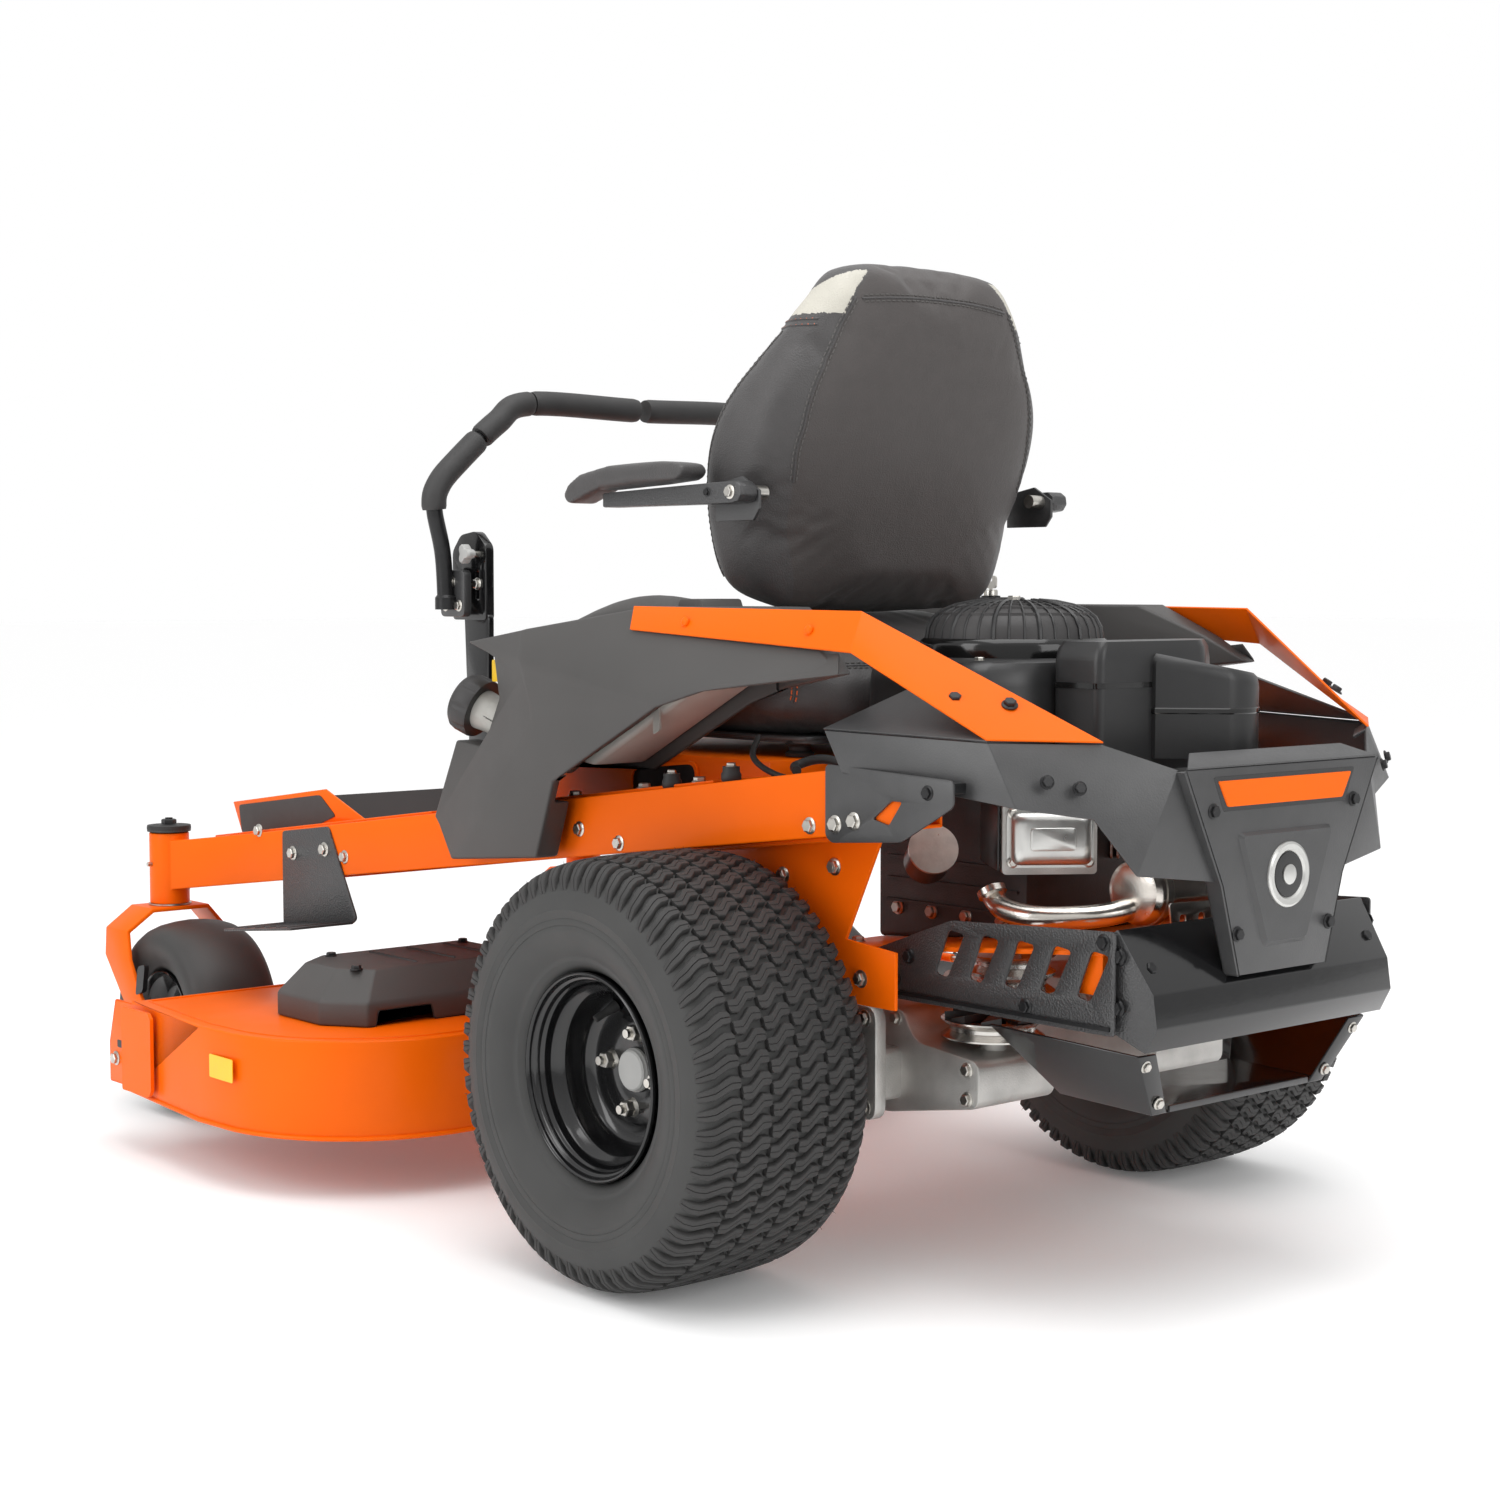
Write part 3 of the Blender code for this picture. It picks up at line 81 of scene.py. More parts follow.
def material(name, colour, rough, metal=0.0, coat=0.0, grain=None, vary=(0.06, 9.0), rough_vary=0.06,
             sheen=0.0, spec=0.5):
    """Principled surface with mottled colour and roughness; grain lists bumps (kind, scale, distance)."""
    mat = bpy.data.materials.new(name)
    mat.use_nodes = True
    tree = mat.node_tree
    nodes, links = tree.nodes, tree.links
    shader = nodes["Principled BSDF"]
    shader.inputs["Metallic"].default_value = metal
    shader.inputs["Coat Weight"].default_value = coat
    shader.inputs["Coat Roughness"].default_value = 0.06
    shader.inputs["Sheen Weight"].default_value = sheen
    shader.inputs["Sheen Roughness"].default_value = 0.5
    shader.inputs["Specular IOR Level"].default_value = spec
    place = nodes.new("ShaderNodeTexCoord").outputs["Object"]

    def cloud(scale, detail=4.0):
        node = nodes.new("ShaderNodeTexNoise")
        node.inputs["Scale"].default_value = scale
        node.inputs["Detail"].default_value = detail
        links.new(place, node.inputs["Vector"])
        return node.outputs["Fac"]

    ramp = nodes.new("ShaderNodeValToRGB")
    amount = vary[0]
    ramp.color_ramp.elements[0].position = 0.3
    ramp.color_ramp.elements[1].position = 0.7
    ramp.color_ramp.elements[0].color = (*[c * (1 - amount) for c in colour], 1)
    ramp.color_ramp.elements[1].color = (*[min(1, c * (1 + amount)) for c in colour], 1)
    links.new(cloud(vary[1]), ramp.inputs["Fac"])
    links.new(ramp.outputs["Color"], shader.inputs["Base Color"])
    span = nodes.new("ShaderNodeMapRange")
    span.inputs["To Min"].default_value = max(0.02, rough - rough_vary)
    span.inputs["To Max"].default_value = min(1.0, rough + rough_vary)
    links.new(cloud(vary[1] * 4, 6.0), span.inputs["Value"])
    links.new(span.outputs["Result"], shader.inputs["Roughness"])
    normal = None
    for kind, scale, distance in grain or ():
        if kind == "cells":
            node = nodes.new("ShaderNodeTexVoronoi")
            node.feature = "F1"
            node.inputs["Scale"].default_value = scale
            links.new(place, node.inputs["Vector"])
            height = node.outputs["Distance"]
        elif kind == "brush":
            squeeze = nodes.new("ShaderNodeVectorMath")
            squeeze.operation = "MULTIPLY"
            squeeze.inputs[1].default_value = (1, 1, 30)
            links.new(place, squeeze.inputs[0])
            node = nodes.new("ShaderNodeTexNoise")
            node.inputs["Scale"].default_value = scale
            links.new(squeeze.outputs["Vector"], node.inputs["Vector"])
            height = node.outputs["Fac"]
        else:
            height = cloud(scale, 3.0)
        bump = nodes.new("ShaderNodeBump")
        bump.inputs["Strength"].default_value = 1.0
        bump.inputs["Distance"].default_value = distance
        links.new(height, bump.inputs["Height"])
        if normal is not None:
            links.new(normal, bump.inputs["Normal"])
        normal = bump.outputs["Normal"]
    if normal is not None:
        links.new(normal, shader.inputs["Normal"])
    mat.diffuse_color = (*colour, 1)
    return mat


FINE, PEEL = ("noise", 900.0, 0.00012), ("noise", 160.0, 0.00006)
# look: (slot, colour, roughness, further values of material())
LOOKS = {
    "orange": ("orange", (0.88, 0.13, 0.001), 0.38,
        dict(coat=0.03, grain=[PEEL], vary=(0.03, 5), spec=0.12)),
    "black": ("black", (0.034, 0.034, 0.035), 0.4,
        dict(grain=[("noise", 420.0, 0.00022)], vary=(0.12, 30), spec=0.8)),
    "hammered": ("black", (0.034, 0.034, 0.035), 0.38, dict(grain=[("cells", 380.0, 0.0006)], spec=0.7)),
    "gloss_black": ("black", (0.006, 0.006, 0.0065), 0.16, dict(coat=0.2, grain=[PEEL], vary=(0.1, 12))),
    "pod": ("plastic", (0.058, 0.055, 0.053), 0.52,
        dict(grain=[("noise", 1100.0, 0.00022)], vary=(0.07, 7))),
    "dark_plastic": ("plastic", (0.034, 0.032, 0.032), 0.5, dict(grain=[FINE], vary=(0.1, 14))),
    "shroud": ("engine_plastic", (0.018, 0.018, 0.0185), 0.33, dict(grain=[FINE], vary=(0.12, 10))),
    "gloss_plastic": ("engine_plastic", (0.005, 0.005, 0.005), 0.12, dict(grain=[PEEL], vary=(0.1, 10))),
    "natural": ("tank", (0.42, 0.41, 0.38), 0.45, dict(grain=[FINE], vary=(0.06, 20))),
    "grey_plastic": ("tank", (0.36, 0.36, 0.35), 0.45, dict(grain=[FINE], vary=(0.06, 20))),
    "cast": ("aluminium", (0.5, 0.49, 0.47), 0.46,
        dict(metal=0.85, grain=[("noise", 520.0, 0.0005)], vary=(0.16, 22))),
    "cast_dark": ("engine_metal", (0.05, 0.05, 0.05), 0.5,
        dict(metal=0.2, grain=[("noise", 420.0, 0.0005)], vary=(0.2, 22))),
    "machined": ("steel", (0.62, 0.6, 0.57), 0.24,
        dict(metal=1.0, grain=[("brush", 60.0, 0.00008)], vary=(0.08, 30))),
    "zinc": ("steel", (0.56, 0.54, 0.5), 0.3,
        dict(metal=1.0, grain=[("noise", 300.0, 0.0001)], vary=(0.12, 60))),
    "pipe": ("steel", (0.66, 0.62, 0.57), 0.24,
        dict(metal=1.0, grain=[("noise", 240.0, 0.00012)], vary=(0.08, 16))),
    "bolt_black": ("black", (0.016, 0.016, 0.017), 0.34, dict(metal=0.4, grain=[FINE], vary=(0.15, 90))),
    "tyre": ("tyre", (0.03, 0.029, 0.0285), 0.68,
        dict(grain=[("noise", 700.0, 0.00035)], vary=(0.16, 26))),
    "tyre_side": ("tyre", (0.036, 0.036, 0.035), 0.6,
        dict(grain=[("noise", 500.0, 0.00018)], vary=(0.12, 12))),
    "caster_tyre": ("caster_rubber", (0.034, 0.033, 0.032), 0.55,
        dict(grain=[("noise", 400.0, 0.00016)], vary=(0.1, 14))),
    "rubber": ("rubber", (0.018, 0.018, 0.018), 0.6, dict(grain=[FINE], vary=(0.14, 20))),
    "vinyl": ("vinyl", (0.052, 0.045, 0.043), 0.5,
        dict(grain=[("cells", 520.0, 0.00035), ("noise", 90.0, 0.0003)], vary=(0.06, 40), sheen=0.1)),
    "vinyl_side": ("vinyl", (0.05, 0.047, 0.047), 0.46,
        dict(grain=[("cells", 460.0, 0.0004)], vary=(0.08, 30), sheen=0.08)),
    "cream": ("vinyl", (0.5, 0.48, 0.42), 0.5, dict(grain=[("cells", 460.0, 0.0004)], vary=(0.05, 30))),
    "thread_orange": ("vinyl", (0.75, 0.13, 0.02), 0.6, dict(grain=[FINE])),
    "thread_dark": ("vinyl", (0.1, 0.095, 0.09), 0.7, dict(grain=[FINE])),
    "grip": ("grip", (0.032, 0.031, 0.031), 0.58, dict(grain=[("noise", 600.0, 0.0003)], vary=(0.12, 30))),
    "grip_orange": ("grip", (0.8, 0.13, 0.015), 0.45, dict(grain=[FINE])),
    "yellow": ("yellow", (0.85, 0.52, 0.01), 0.4, dict(grain=[FINE], vary=(0.03, 20))),
    "silver": ("steel", (0.6, 0.6, 0.58), 0.3, dict(metal=0.9, grain=[PEEL], vary=(0.05, 20))),
    "blade": ("steel", (0.1, 0.095, 0.09), 0.42,
        dict(metal=0.8, grain=[("noise", 200.0, 0.0003)], vary=(0.2, 30))),
}
MAT = {name: material(name, colour, rough, **more) for name, (_, colour, rough, more) in LOOKS.items()}

# ---------------------------------------------------------------- solids as (points, faces)


def box(low, high):
    points = [(x, y, z) for x in (low[0], high[0]) for y in (low[1], high[1]) for z in (low[2], high[2])]
    faces = [(0, 1, 3, 2), (4, 6, 7, 5), (0, 4, 5, 1), (2, 3, 7, 6), (0, 2, 6, 4), (1, 5, 7, 3)]
    return points, faces


def rectangle(a, b, c, d):
    return [(a, b), (c, b), (c, d), (a, d)]


def prism(axis, outline, low, high):
    """Outline in the two other axes, carried along axis from low to high."""
    along, first, second = AXES[axis]
    points = []
    for level in (low, high):
        for a, b in outline:
            point = [0, 0, 0]
            point[along], point[first], point[second] = level, a, b
            points.append(tuple(point))
    n = len(outline)
    sides = [(i, (i + 1) % n, n + (i + 1) % n, n + i) for i in range(n)]
    return points, [tuple(range(n)), tuple(range(2 * n - 1, n - 1, -1)), *sides]


def loft(rings, closed=False, caps=True):
    """Skin through rings that have the same number of points."""
    n, m = len(rings[0]), len(rings)
    points = [tuple(p) for ring_points in rings for p in ring_points]
    faces = []
    if caps and not closed:
        faces = [tuple(range(n)), tuple(range(len(points) - 1, len(points) - n - 1, -1))]
    for k in range(m if closed else m - 1):
        a, b = k * n, ((k + 1) % m) * n
        faces += [(a + i, a + (i + 1) % n, b + (i + 1) % n, b + i) for i in range(n)]
    return points, faces


def side_vectors(direction):
    direction = Vector(direction).normalized()
    helper = Vector(UP) if abs(direction.z) < 0.9 else Vector(OUT)
    first = direction.cross(helper).normalized()
    return first, direction.cross(first).normalized()


def ring(centre, direction, radius, count, turn=0.0):
    first, second = side_vectors(direction)
    steps = [2 * math.pi * (i + turn) / count for i in range(count)]
    return [Vector(centre) + radius * (math.cos(t) * first + math.sin(t) * second) for t in steps]


def rod(start, end, radius, count=24, end_radius=None):
    direction = Vector(end) - Vector(start)
    last = radius if end_radius is None else end_radius
    return loft([ring(start, direction, radius, count), ring(end, direction, last, count)])


def turned(profile, centre, direction, count=64, closed=True):
    """Profile of (radius, distance along the axis) turned about an axis; open ends are capped."""
    unit = Vector(direction).normalized()
    rings = [ring(Vector(centre) + a * unit, unit, max(r, 1e-5), count) for r, a in profile]
    return loft(rings, closed=closed)


def arc(centre, radius, start, end, count):
    angles = [math.radians(start + (end - start) * i / count) for i in range(count + 1)]
    return [(centre[0] + radius * math.cos(a), centre[1] + radius * math.sin(a)) for a in angles]


def smooth_path(route, steps=8):
    """Catmull-Rom points through a route."""
    route = [Vector(p) for p in route]
    ends = [2 * route[0] - route[1], *route, 2 * route[-1] - route[-2]]
    points = []
    for i in range(1, len(ends) - 2):
        p0, p1, p2, p3 = ends[i - 1:i + 3]
        for k in range(steps):
            t = k / steps
            points.append(0.5 * (2 * p1 + (p2 - p0) * t + (2 * p0 - 5 * p1 + 4 * p2 - p3) * t * t
                                 + (3 * p1 - p0 - 3 * p2 + p3) * t ** 3))
    return points + [route[-1]]


def tube(points, radius, count=16, section=None, round_ends=False):
    """Tube along points; radius may be a list; section is a list of (a, b) factors instead of a circle."""
    points = [Vector(p) for p in points]
    radii = list(radius) if hasattr(radius, "__len__") else [radius] * len(points)
    if round_ends:
        for last, inner in ((0, 1), (-1, -2)):
            out = (points[last] - points[inner]).normalized()
            r, tip = radii[last], points[last]
            extra = [(tip + out * r * math.sin(a), max(r * math.cos(a), 1e-4)) for a in (0.45, 0.9, 1.3)]
            if last == 0:
                points = [p for p, _ in reversed(extra)] + points
                radii = [q for _, q in reversed(extra)] + radii
            else:
                points += [p for p, _ in extra]
                radii += [q for _, q in extra]
    section = section or [
        (math.cos(2 * math.pi * k / count), math.sin(2 * math.pi * k / count)) for k in range(count)
    ]
    rings, first = [], None
    for i, point in enumerate(points):
        before = (point - points[i - 1]).normalized() if i else (points[1] - point).normalized()
        after = (points[i + 1] - point).normalized() if i < len(points) - 1 else before
        tangent = (before + after).normalized()
        first = side_vectors(tangent)[0] if first is None else first
        first = (first - first.dot(tangent) * tangent).normalized()
        second = tangent.cross(first)
        rings.append([point + radii[i] * (a * first + b * second) for a, b in section])
    return loft(rings)


def mirror(solid):
    points, faces = solid
    return [(-p[0], p[1], p[2]) for p in points], [tuple(reversed(f)) for f in faces]


def moved(solid, matrix):
    points, faces = solid
    return [tuple(matrix @ Vector(p)) for p in points], faces


def merged(*solids):
    """Several shells in one mesh."""
    points, faces = [], []
    for more, sides in solids:
        faces += [tuple(i + len(points) for i in f) for f in sides]
        points += more
    return points, faces


# ---------------------------------------------------------------- pieces


def mesh_of(name, solid, bevel=0.0, segments=2, weld=True):
    bm = bmesh.new()
    verts = [bm.verts.new(Vector(p) + ORIGIN) for p in solid[0]]
    for face in solid[1]:
        if len(set(face)) > 2:
            try:
                bm.faces.new([verts[i] for i in face])
            except ValueError:
                continue
    finish_mesh(bm, bevel, segments, weld)
    mesh = bpy.data.meshes.new(name)
    bm.to_mesh(mesh)
    bm.free()
    return mesh


def finish_mesh(bm, bevel, segments=2, weld=True):
    if weld:
        bmesh.ops.remove_doubles(bm, verts=bm.verts, dist=2e-5)
        bmesh.ops.dissolve_degenerate(bm, edges=bm.edges, dist=2e-5)
    bmesh.ops.recalc_face_normals(bm, faces=bm.faces)
    if bevel:
        bmesh.ops.dissolve_limit(bm, angle_limit=math.radians(1), verts=bm.verts, edges=bm.edges)
        sharp = [e for e in bm.edges if len(e.link_faces) == 2 and e.calc_face_angle(0) > math.radians(28)]
        bmesh.ops.bevel(bm, geom=sharp, offset=bevel, segments=segments, profile=0.5, affect="EDGES",
                        clamp_overlap=False, harden_normals=False)


def show(name, mesh, look, body, angle=32):
    mesh.materials.clear()
    for one in [look] if isinstance(look, str) else look:
        mesh.materials.append(MAT[one])
    mesh.shade_smooth()
    mesh.set_sharp_from_angle(angle=math.radians(angle))
    obj = bpy.data.objects.new(name, mesh)
    bpy.context.scene.collection.objects.link(obj)
    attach(obj, body)
    return obj


def piece(name, solid, look, body="frame", bevel=0.0, segments=2, angle=32, replaces=(), weld=True):
    obj = show(name, mesh_of(name, solid, bevel, segments, weld), look, body, angle)
    if replaces:
        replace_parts(obj, *replaces)
    return obj


def pair(name, solid, look, body="frame", replaces=(), **options):
    """The piece and its mirror image. A body or node name ends in _left or _right where there are two."""
    made = []
    for side, shape in (("left", solid), ("right", mirror(solid))):
        rides = body if body in ("frame", "deck", "seat", "seat_pan") else f"{body}_{side}"
        nodes = [f"{n}_{side}" for n in replaces]
        made.append(piece(f"{name}_{side}", shape, look, rides, replaces=nodes, **options))
    return made


def node_shell(node, shift=Vector()):
    """A copy of a CAD node's mesh to work on, moved by a shift and welded."""
    source = frame["nodes"][node].data
    bm = bmesh.new()
    verts = [bm.verts.new(v.co + shift) for v in source.vertices]
    for polygon in source.polygons:
        try:
            bm.faces.new([verts[i] for i in polygon.vertices])
        except ValueError:
            continue
    bmesh.ops.remove_doubles(bm, verts=bm.verts, dist=2e-5)
    return bm


def dress(node, look, bevel=0.0012, segments=2, angle=32):
    """A look-alike of a CAD node with softened edges, standing for it."""
    bm = node_shell(node)
    finish_mesh(bm, bevel, segments, weld=False)
    mesh = bpy.data.meshes.new(node + "_look")
    bm.to_mesh(mesh)
    bm.free()
    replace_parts(show(node + "_look", mesh, look, NODE_BODY[node], angle), node)


BOLTS = {}


def add(body, look, solid, both=False):
    """Collects small parts that are shown together, one mesh for each body and material."""
    BOLTS.setdefault((body, look), []).append(solid)
    if both:
        BOLTS[(body, look)].append(mirror(solid))


def hex_bolt(at, direction, r, body="frame", look="bolt_black", both=False, stud=0.0):
    """Flange, hexagon with a domed top and, on a nut, the end of its stud."""
    unit, at = Vector(direction).normalized(), Vector(at)
    height = r * 0.72
    add(body, look, turned([(1e-5, -0.001), (r * 1.3, -0.001), (r * 1.3, r * 0.1), (r * 1.02, r * 0.26),
                            (1e-5, r * 0.26)], at, unit, 20, closed=False), both)
    six = loft([ring(at + unit * (r * 0.2), unit, r, 6), ring(at + unit * height, unit, r, 6),
                ring(at + unit * (height + r * 0.13), unit, r * 0.84, 6)])
    add(body, look, six, both)
    if stud:
        add(body, look, rod(at, at + unit * (height + stud), r * 0.5, 12), both)


def dome_bolt(at, direction, r, body="frame", look="zinc", both=False):
    """Carriage bolt head."""
    unit, at = Vector(direction).normalized(), Vector(at)
    profile = [(1e-5, -0.001), (r, -0.001), (r, r * 0.12), (r * 0.92, r * 0.28), (r * 0.7, r * 0.44),
               (r * 0.35, r * 0.53), (1e-5, r * 0.56)]
    add(body, look, turned(profile, at, unit, 24, closed=False), both)


def flush_bolts():
    for (body, look), solids in sorted(BOLTS.items()):
        piece(f"small_{look}_{body}", merged(*solids), look, body, weld=False)
    BOLTS.clear()


# ---------------------------------------------------------------- rear wheels

WHEEL = Vector((0.498, 0.0, 0.2794))
TREAD_ROWS = 66
PITCH = 2 * math.pi * WHEEL.z / TREAD_ROWS
TREAD_DEPTH = 0.0075
CROWN = [(0.0, 0.2792), (0.03, 0.279), (0.06, 0.2783), (0.088, 0.2763), (0.108, 0.2728), (0.121, 0.2672),
         (0.1295, 0.2585), (0.1343, 0.247), (0.1366, 0.234), (0.1375, 0.22)]
CROWN_S = np.concatenate([[0], np.cumsum([math.dist(a, b) for a, b in zip(CROWN, CROWN[1:])])])


def crown_at(s):
    """(x, radius, outward normal) on the tyre's outer skin at path length s from its middle."""
    def at(value):
        return Vector((float(np.interp(value, CROWN_S, [p[0] for p in CROWN])),
                       float(np.interp(value, CROWN_S, [p[1] for p in CROWN]))))

    here, step = at(s), (at(min(s + 0.006, CROWN_S[-1])) - at(max(s - 0.006, 0))).normalized()
    return here, Vector((-step.y, step.x))


def tread_point(s, height, around):
    here, normal = crown_at(abs(s))
    x, r = here.x + normal.x * height, here.y + normal.y * height
    angle = around / WHEEL.z
    return (WHEEL.x + math.copysign(x, s), r * math.cos(angle), WHEEL.z + r * math.sin(angle))


def tread_bar(path, widths, tops, groove=0.0011):
    """Rubber block along path = [(s, around)], with a thin sipe down its middle."""
    rings = []
    for (s, v), width, top in zip(path, widths, tops):
        half, low = width / 2, top - TREAD_DEPTH - 0.001
        cut_to = top - groove
        rows = [
            (-half - 0.0006, low), (-half, top - 0.0012), (-half + 0.0012, top), (-0.0009, top),
            (0, cut_to), (0.0009, top), (half - 0.0012, top), (half, top - 0.0012), (half + 0.0006, low),
        ]
        rings.append([tread_point(s, h, v + d) for d, h in rows])
    return loft(rings)


def tread_row():
    shells = []
    wide = PITCH * 0.66
    column = 0.0455
    for k in range(4):
        right = -2 * column + k * column + 0.0012
        reach = column - 0.0024
        share = (0.0, 0.05, 0.3, 0.42, 0.58, 0.7, 0.95, 1.0)
        rise = (0.22, 0.25, 0.27, 0.12, -0.12, -0.27, -0.25, -0.22)
        path = [(right + reach * u, PITCH * v) for u, v in zip(share, rise)]
        shells.append(tread_bar(path, [wide * f for f in (0.62, 0.92, 1, 1, 1, 1, 0.92, 0.62)], [0.0] * 8))
    for side in (1, -1):
        share = (0.0925, 0.095, 0.105, 0.115, 0.126, 0.138, 0.15, 0.162, 0.17)
        rise = (-0.24, -0.26, -0.27, -0.1, 0.14, 0.26, 0.36, 0.46, 0.52)
        tops = (0, 0, 0, 0, 0, -0.0002, -0.0022, -0.005, -0.0072)
        path = [(side * (s - 0.0005), -side * PITCH * v) for s, v in zip(share, rise)]
        widths = [wide * f for f in (0.62, 0.92, 1, 1.0, 0.98, 0.92, 0.84, 0.7, 0.5)]
        if side < 0:
            path, widths, tops = path[::-1], widths[::-1], tops[::-1]
        shells.append(tread_bar(path, widths, tops, 0.0014))
    return merged(*shells)


def rear_tyre():
    points, faces = tread_row()
    base = np.array(points) - np.array(WHEEL)
    parts = []
    for k in range(TREAD_ROWS):
        t = 2 * math.pi * k / TREAD_ROWS
        turn = np.array([[1, 0, 0], [0, math.cos(t), -math.sin(t)], [0, math.sin(t), math.cos(t)]])
        parts.append(([tuple(p) for p in base @ turn.T + np.array(WHEEL)], faces))
    hairs = np.random.default_rng(11)
    for _ in range(210):
        s, v = hairs.uniform(-0.135, 0.135), hairs.uniform(0, TREAD_ROWS * PITCH)
        angle = math.degrees(v / WHEEL.z) % 360
        if 235 < angle < 305:
            continue
        lean, tall = hairs.uniform(-0.002, 0.002, 2), hairs.uniform(0.002, 0.0045)
        root, tip = Vector(tread_point(s, -0.001, v)), Vector(tread_point(s + lean[0], tall, v + lean[1]))
        parts.append(rod(root, tip, 0.0005, 3, 0.0002))
    return merged(*parts)


def tyre_wall():
    """Carcass under the tread, the side walls with their moulded rings, and the beads."""
    half = []
    for s in np.linspace(0, CROWN_S[-1], 26):
        here, normal = crown_at(float(s))
        depth = TREAD_DEPTH * min(1.0, max(0.0, (0.172 - float(s)) / 0.036))
        half.append((here.y - normal.y * depth, here.x - normal.x * depth))
    half += [
        (0.2165, 0.1377), (0.215, 0.1382), (0.2138, 0.1376), (0.205, 0.1373), (0.204, 0.1366),
        (0.2026, 0.1373), (0.196, 0.1368), (0.1952, 0.136), (0.194, 0.1365), (0.186, 0.1352),
        (0.178, 0.133), (0.17, 0.13), (0.163, 0.1262), (0.156, 0.1215), (0.152, 0.1185), (0.15, 0.1186),
        (0.148, 0.1172), (0.144, 0.114), (0.14, 0.111), (0.137, 0.1075), (0.134, 0.103),
    ]
    profile = [(r, -x) for r, x in reversed(half[1:])] + half
    return turned(profile + [(0.15, 0.095), (0.15, -0.095)], WHEEL, OUT, 144)


def rim_shell():
    out = [
        (0.13, 0.108), (0.1338, 0.11), (0.1345, 0.1135), (0.1335, 0.116), (0.1312, 0.1168),
        (0.1292, 0.1155), (0.1284, 0.112), (0.1276, 0.1085), (0.1262, 0.1072), (0.1244, 0.1068),
        (0.1232, 0.1052), (0.1226, 0.101), (0.1216, 0.099), (0.1196, 0.0975), (0.1185, 0.095),
        (0.1178, 0.088), (0.1165, 0.085), (0.112, 0.08), (0.107, 0.076), (0.105, 0.074), (0.104, 0.07),
        (0.1034, 0.052), (0.102, 0.044), (0.098, 0.038), (0.092, 0.0345), (0.084, 0.033), (0.074, 0.033),
        (0.0722, 0.0338), (0.0705, 0.0362), (0.069, 0.037), (0.04, 0.037), (0.038, 0.0362), (0.01, 0.0362),
    ]
    back = [(0.01, 0.0322), (0.068, 0.0322), (0.072, 0.029), (0.093, 0.029), (0.1, 0.033), (0.106, 0.041),
            (0.1075, 0.07), (0.11, 0.0745), (0.121, 0.0835), (0.1225, 0.09)]
    inner = [(0.13, -0.108), (0.1338, -0.11), (0.1345, -0.1135),
             (0.1335, -0.116), (0.1312, -0.1168), (0.1292, -0.1155), (0.1284, -0.108), (0.121, -0.096), (0.119, -0.09)]
    shell = out + back + [(0.1215, 0.02), (0.1215, -0.088)] + inner
    return turned(shell, WHEEL, OUT, 96)


def make_rear_wheels():
    pair("tread", rear_tyre(), "tyre", "wheel", angle=40, weld=False)
    pair("tyre_wall", tyre_wall(), "tyre_side", "wheel", replaces=("rear_tyre",), angle=40)
    pair("rim", rim_shell(), "gloss_black", "wheel", replaces=("rear_rim",), angle=50)
    hub = WHEEL + Vector((0.0362, 0, 0))
    cap = [
        (1e-5, 0), (0.0285, 0), (0.0285, 0.004), (0.027, 0.006), (0.0265, 0.0085), (0.024, 0.0105),
        (1e-5, 0.0112),
    ]
    pair("hub_cap", turned(cap, hub, OUT, 40, closed=False), "grey_plastic", "wheel")
    drum = turned(
        [(1e-5, -0.15), (0.03, -0.15), (0.03, -0.01), (0.06, -0.006), (0.06, -0.0005), (1e-5, -0.0005)],
        hub - Vector((0.004, 0, 0)), OUT, 40, closed=False,
    )
    pair("hub", drum, "cast_dark", "wheel")
    for side, word in SIDES:
        body = f"wheel_{word}"
        for k in range(4):
            t = math.radians(172 + 90 * k)
            at = Vector((side * hub.x, 0.0508 * math.cos(t), hub.z + 0.0508 * math.sin(t)))
            unit = Vector((side, 0, 0))
            seat = turned(
                [(1e-5, 0), (0.0135, 0), (0.0105, 0.0045), (1e-5, 0.0045)], at, unit, 24, closed=False
            )
            add(body, "zinc", seat)
            add(
                body, "zinc",
                loft(
                    [
                        ring(at + unit * d, unit, r, 6)
                        for d, r in ((0.004, 0.0108), (0.015, 0.0108), (0.0165, 0.0094))
                    ]
                ),
            )
            add(body, "zinc", rod(at, at + unit * 0.0235, 0.0058, 14))
        t = math.radians(118)
        foot = Vector((side * (WHEEL.x + 0.036), 0.089 * math.cos(t), WHEEL.z + 0.089 * math.sin(t)))
        tip = foot + Vector((side * 0.03, -0.006, -0.016))
        add(body, "rubber", rod(foot, foot.lerp(tip, 0.55), 0.0085, 16, 0.0055))
        add(body, "rubber", rod(foot.lerp(tip, 0.5), tip, 0.0052, 16, 0.005))


make_rear_wheels()

# ---------------------------------------------------------------- casters

STEM = Vector((0.45, -1.43, 0))
CASTER = Vector((0.45, -1.335, 0.165))


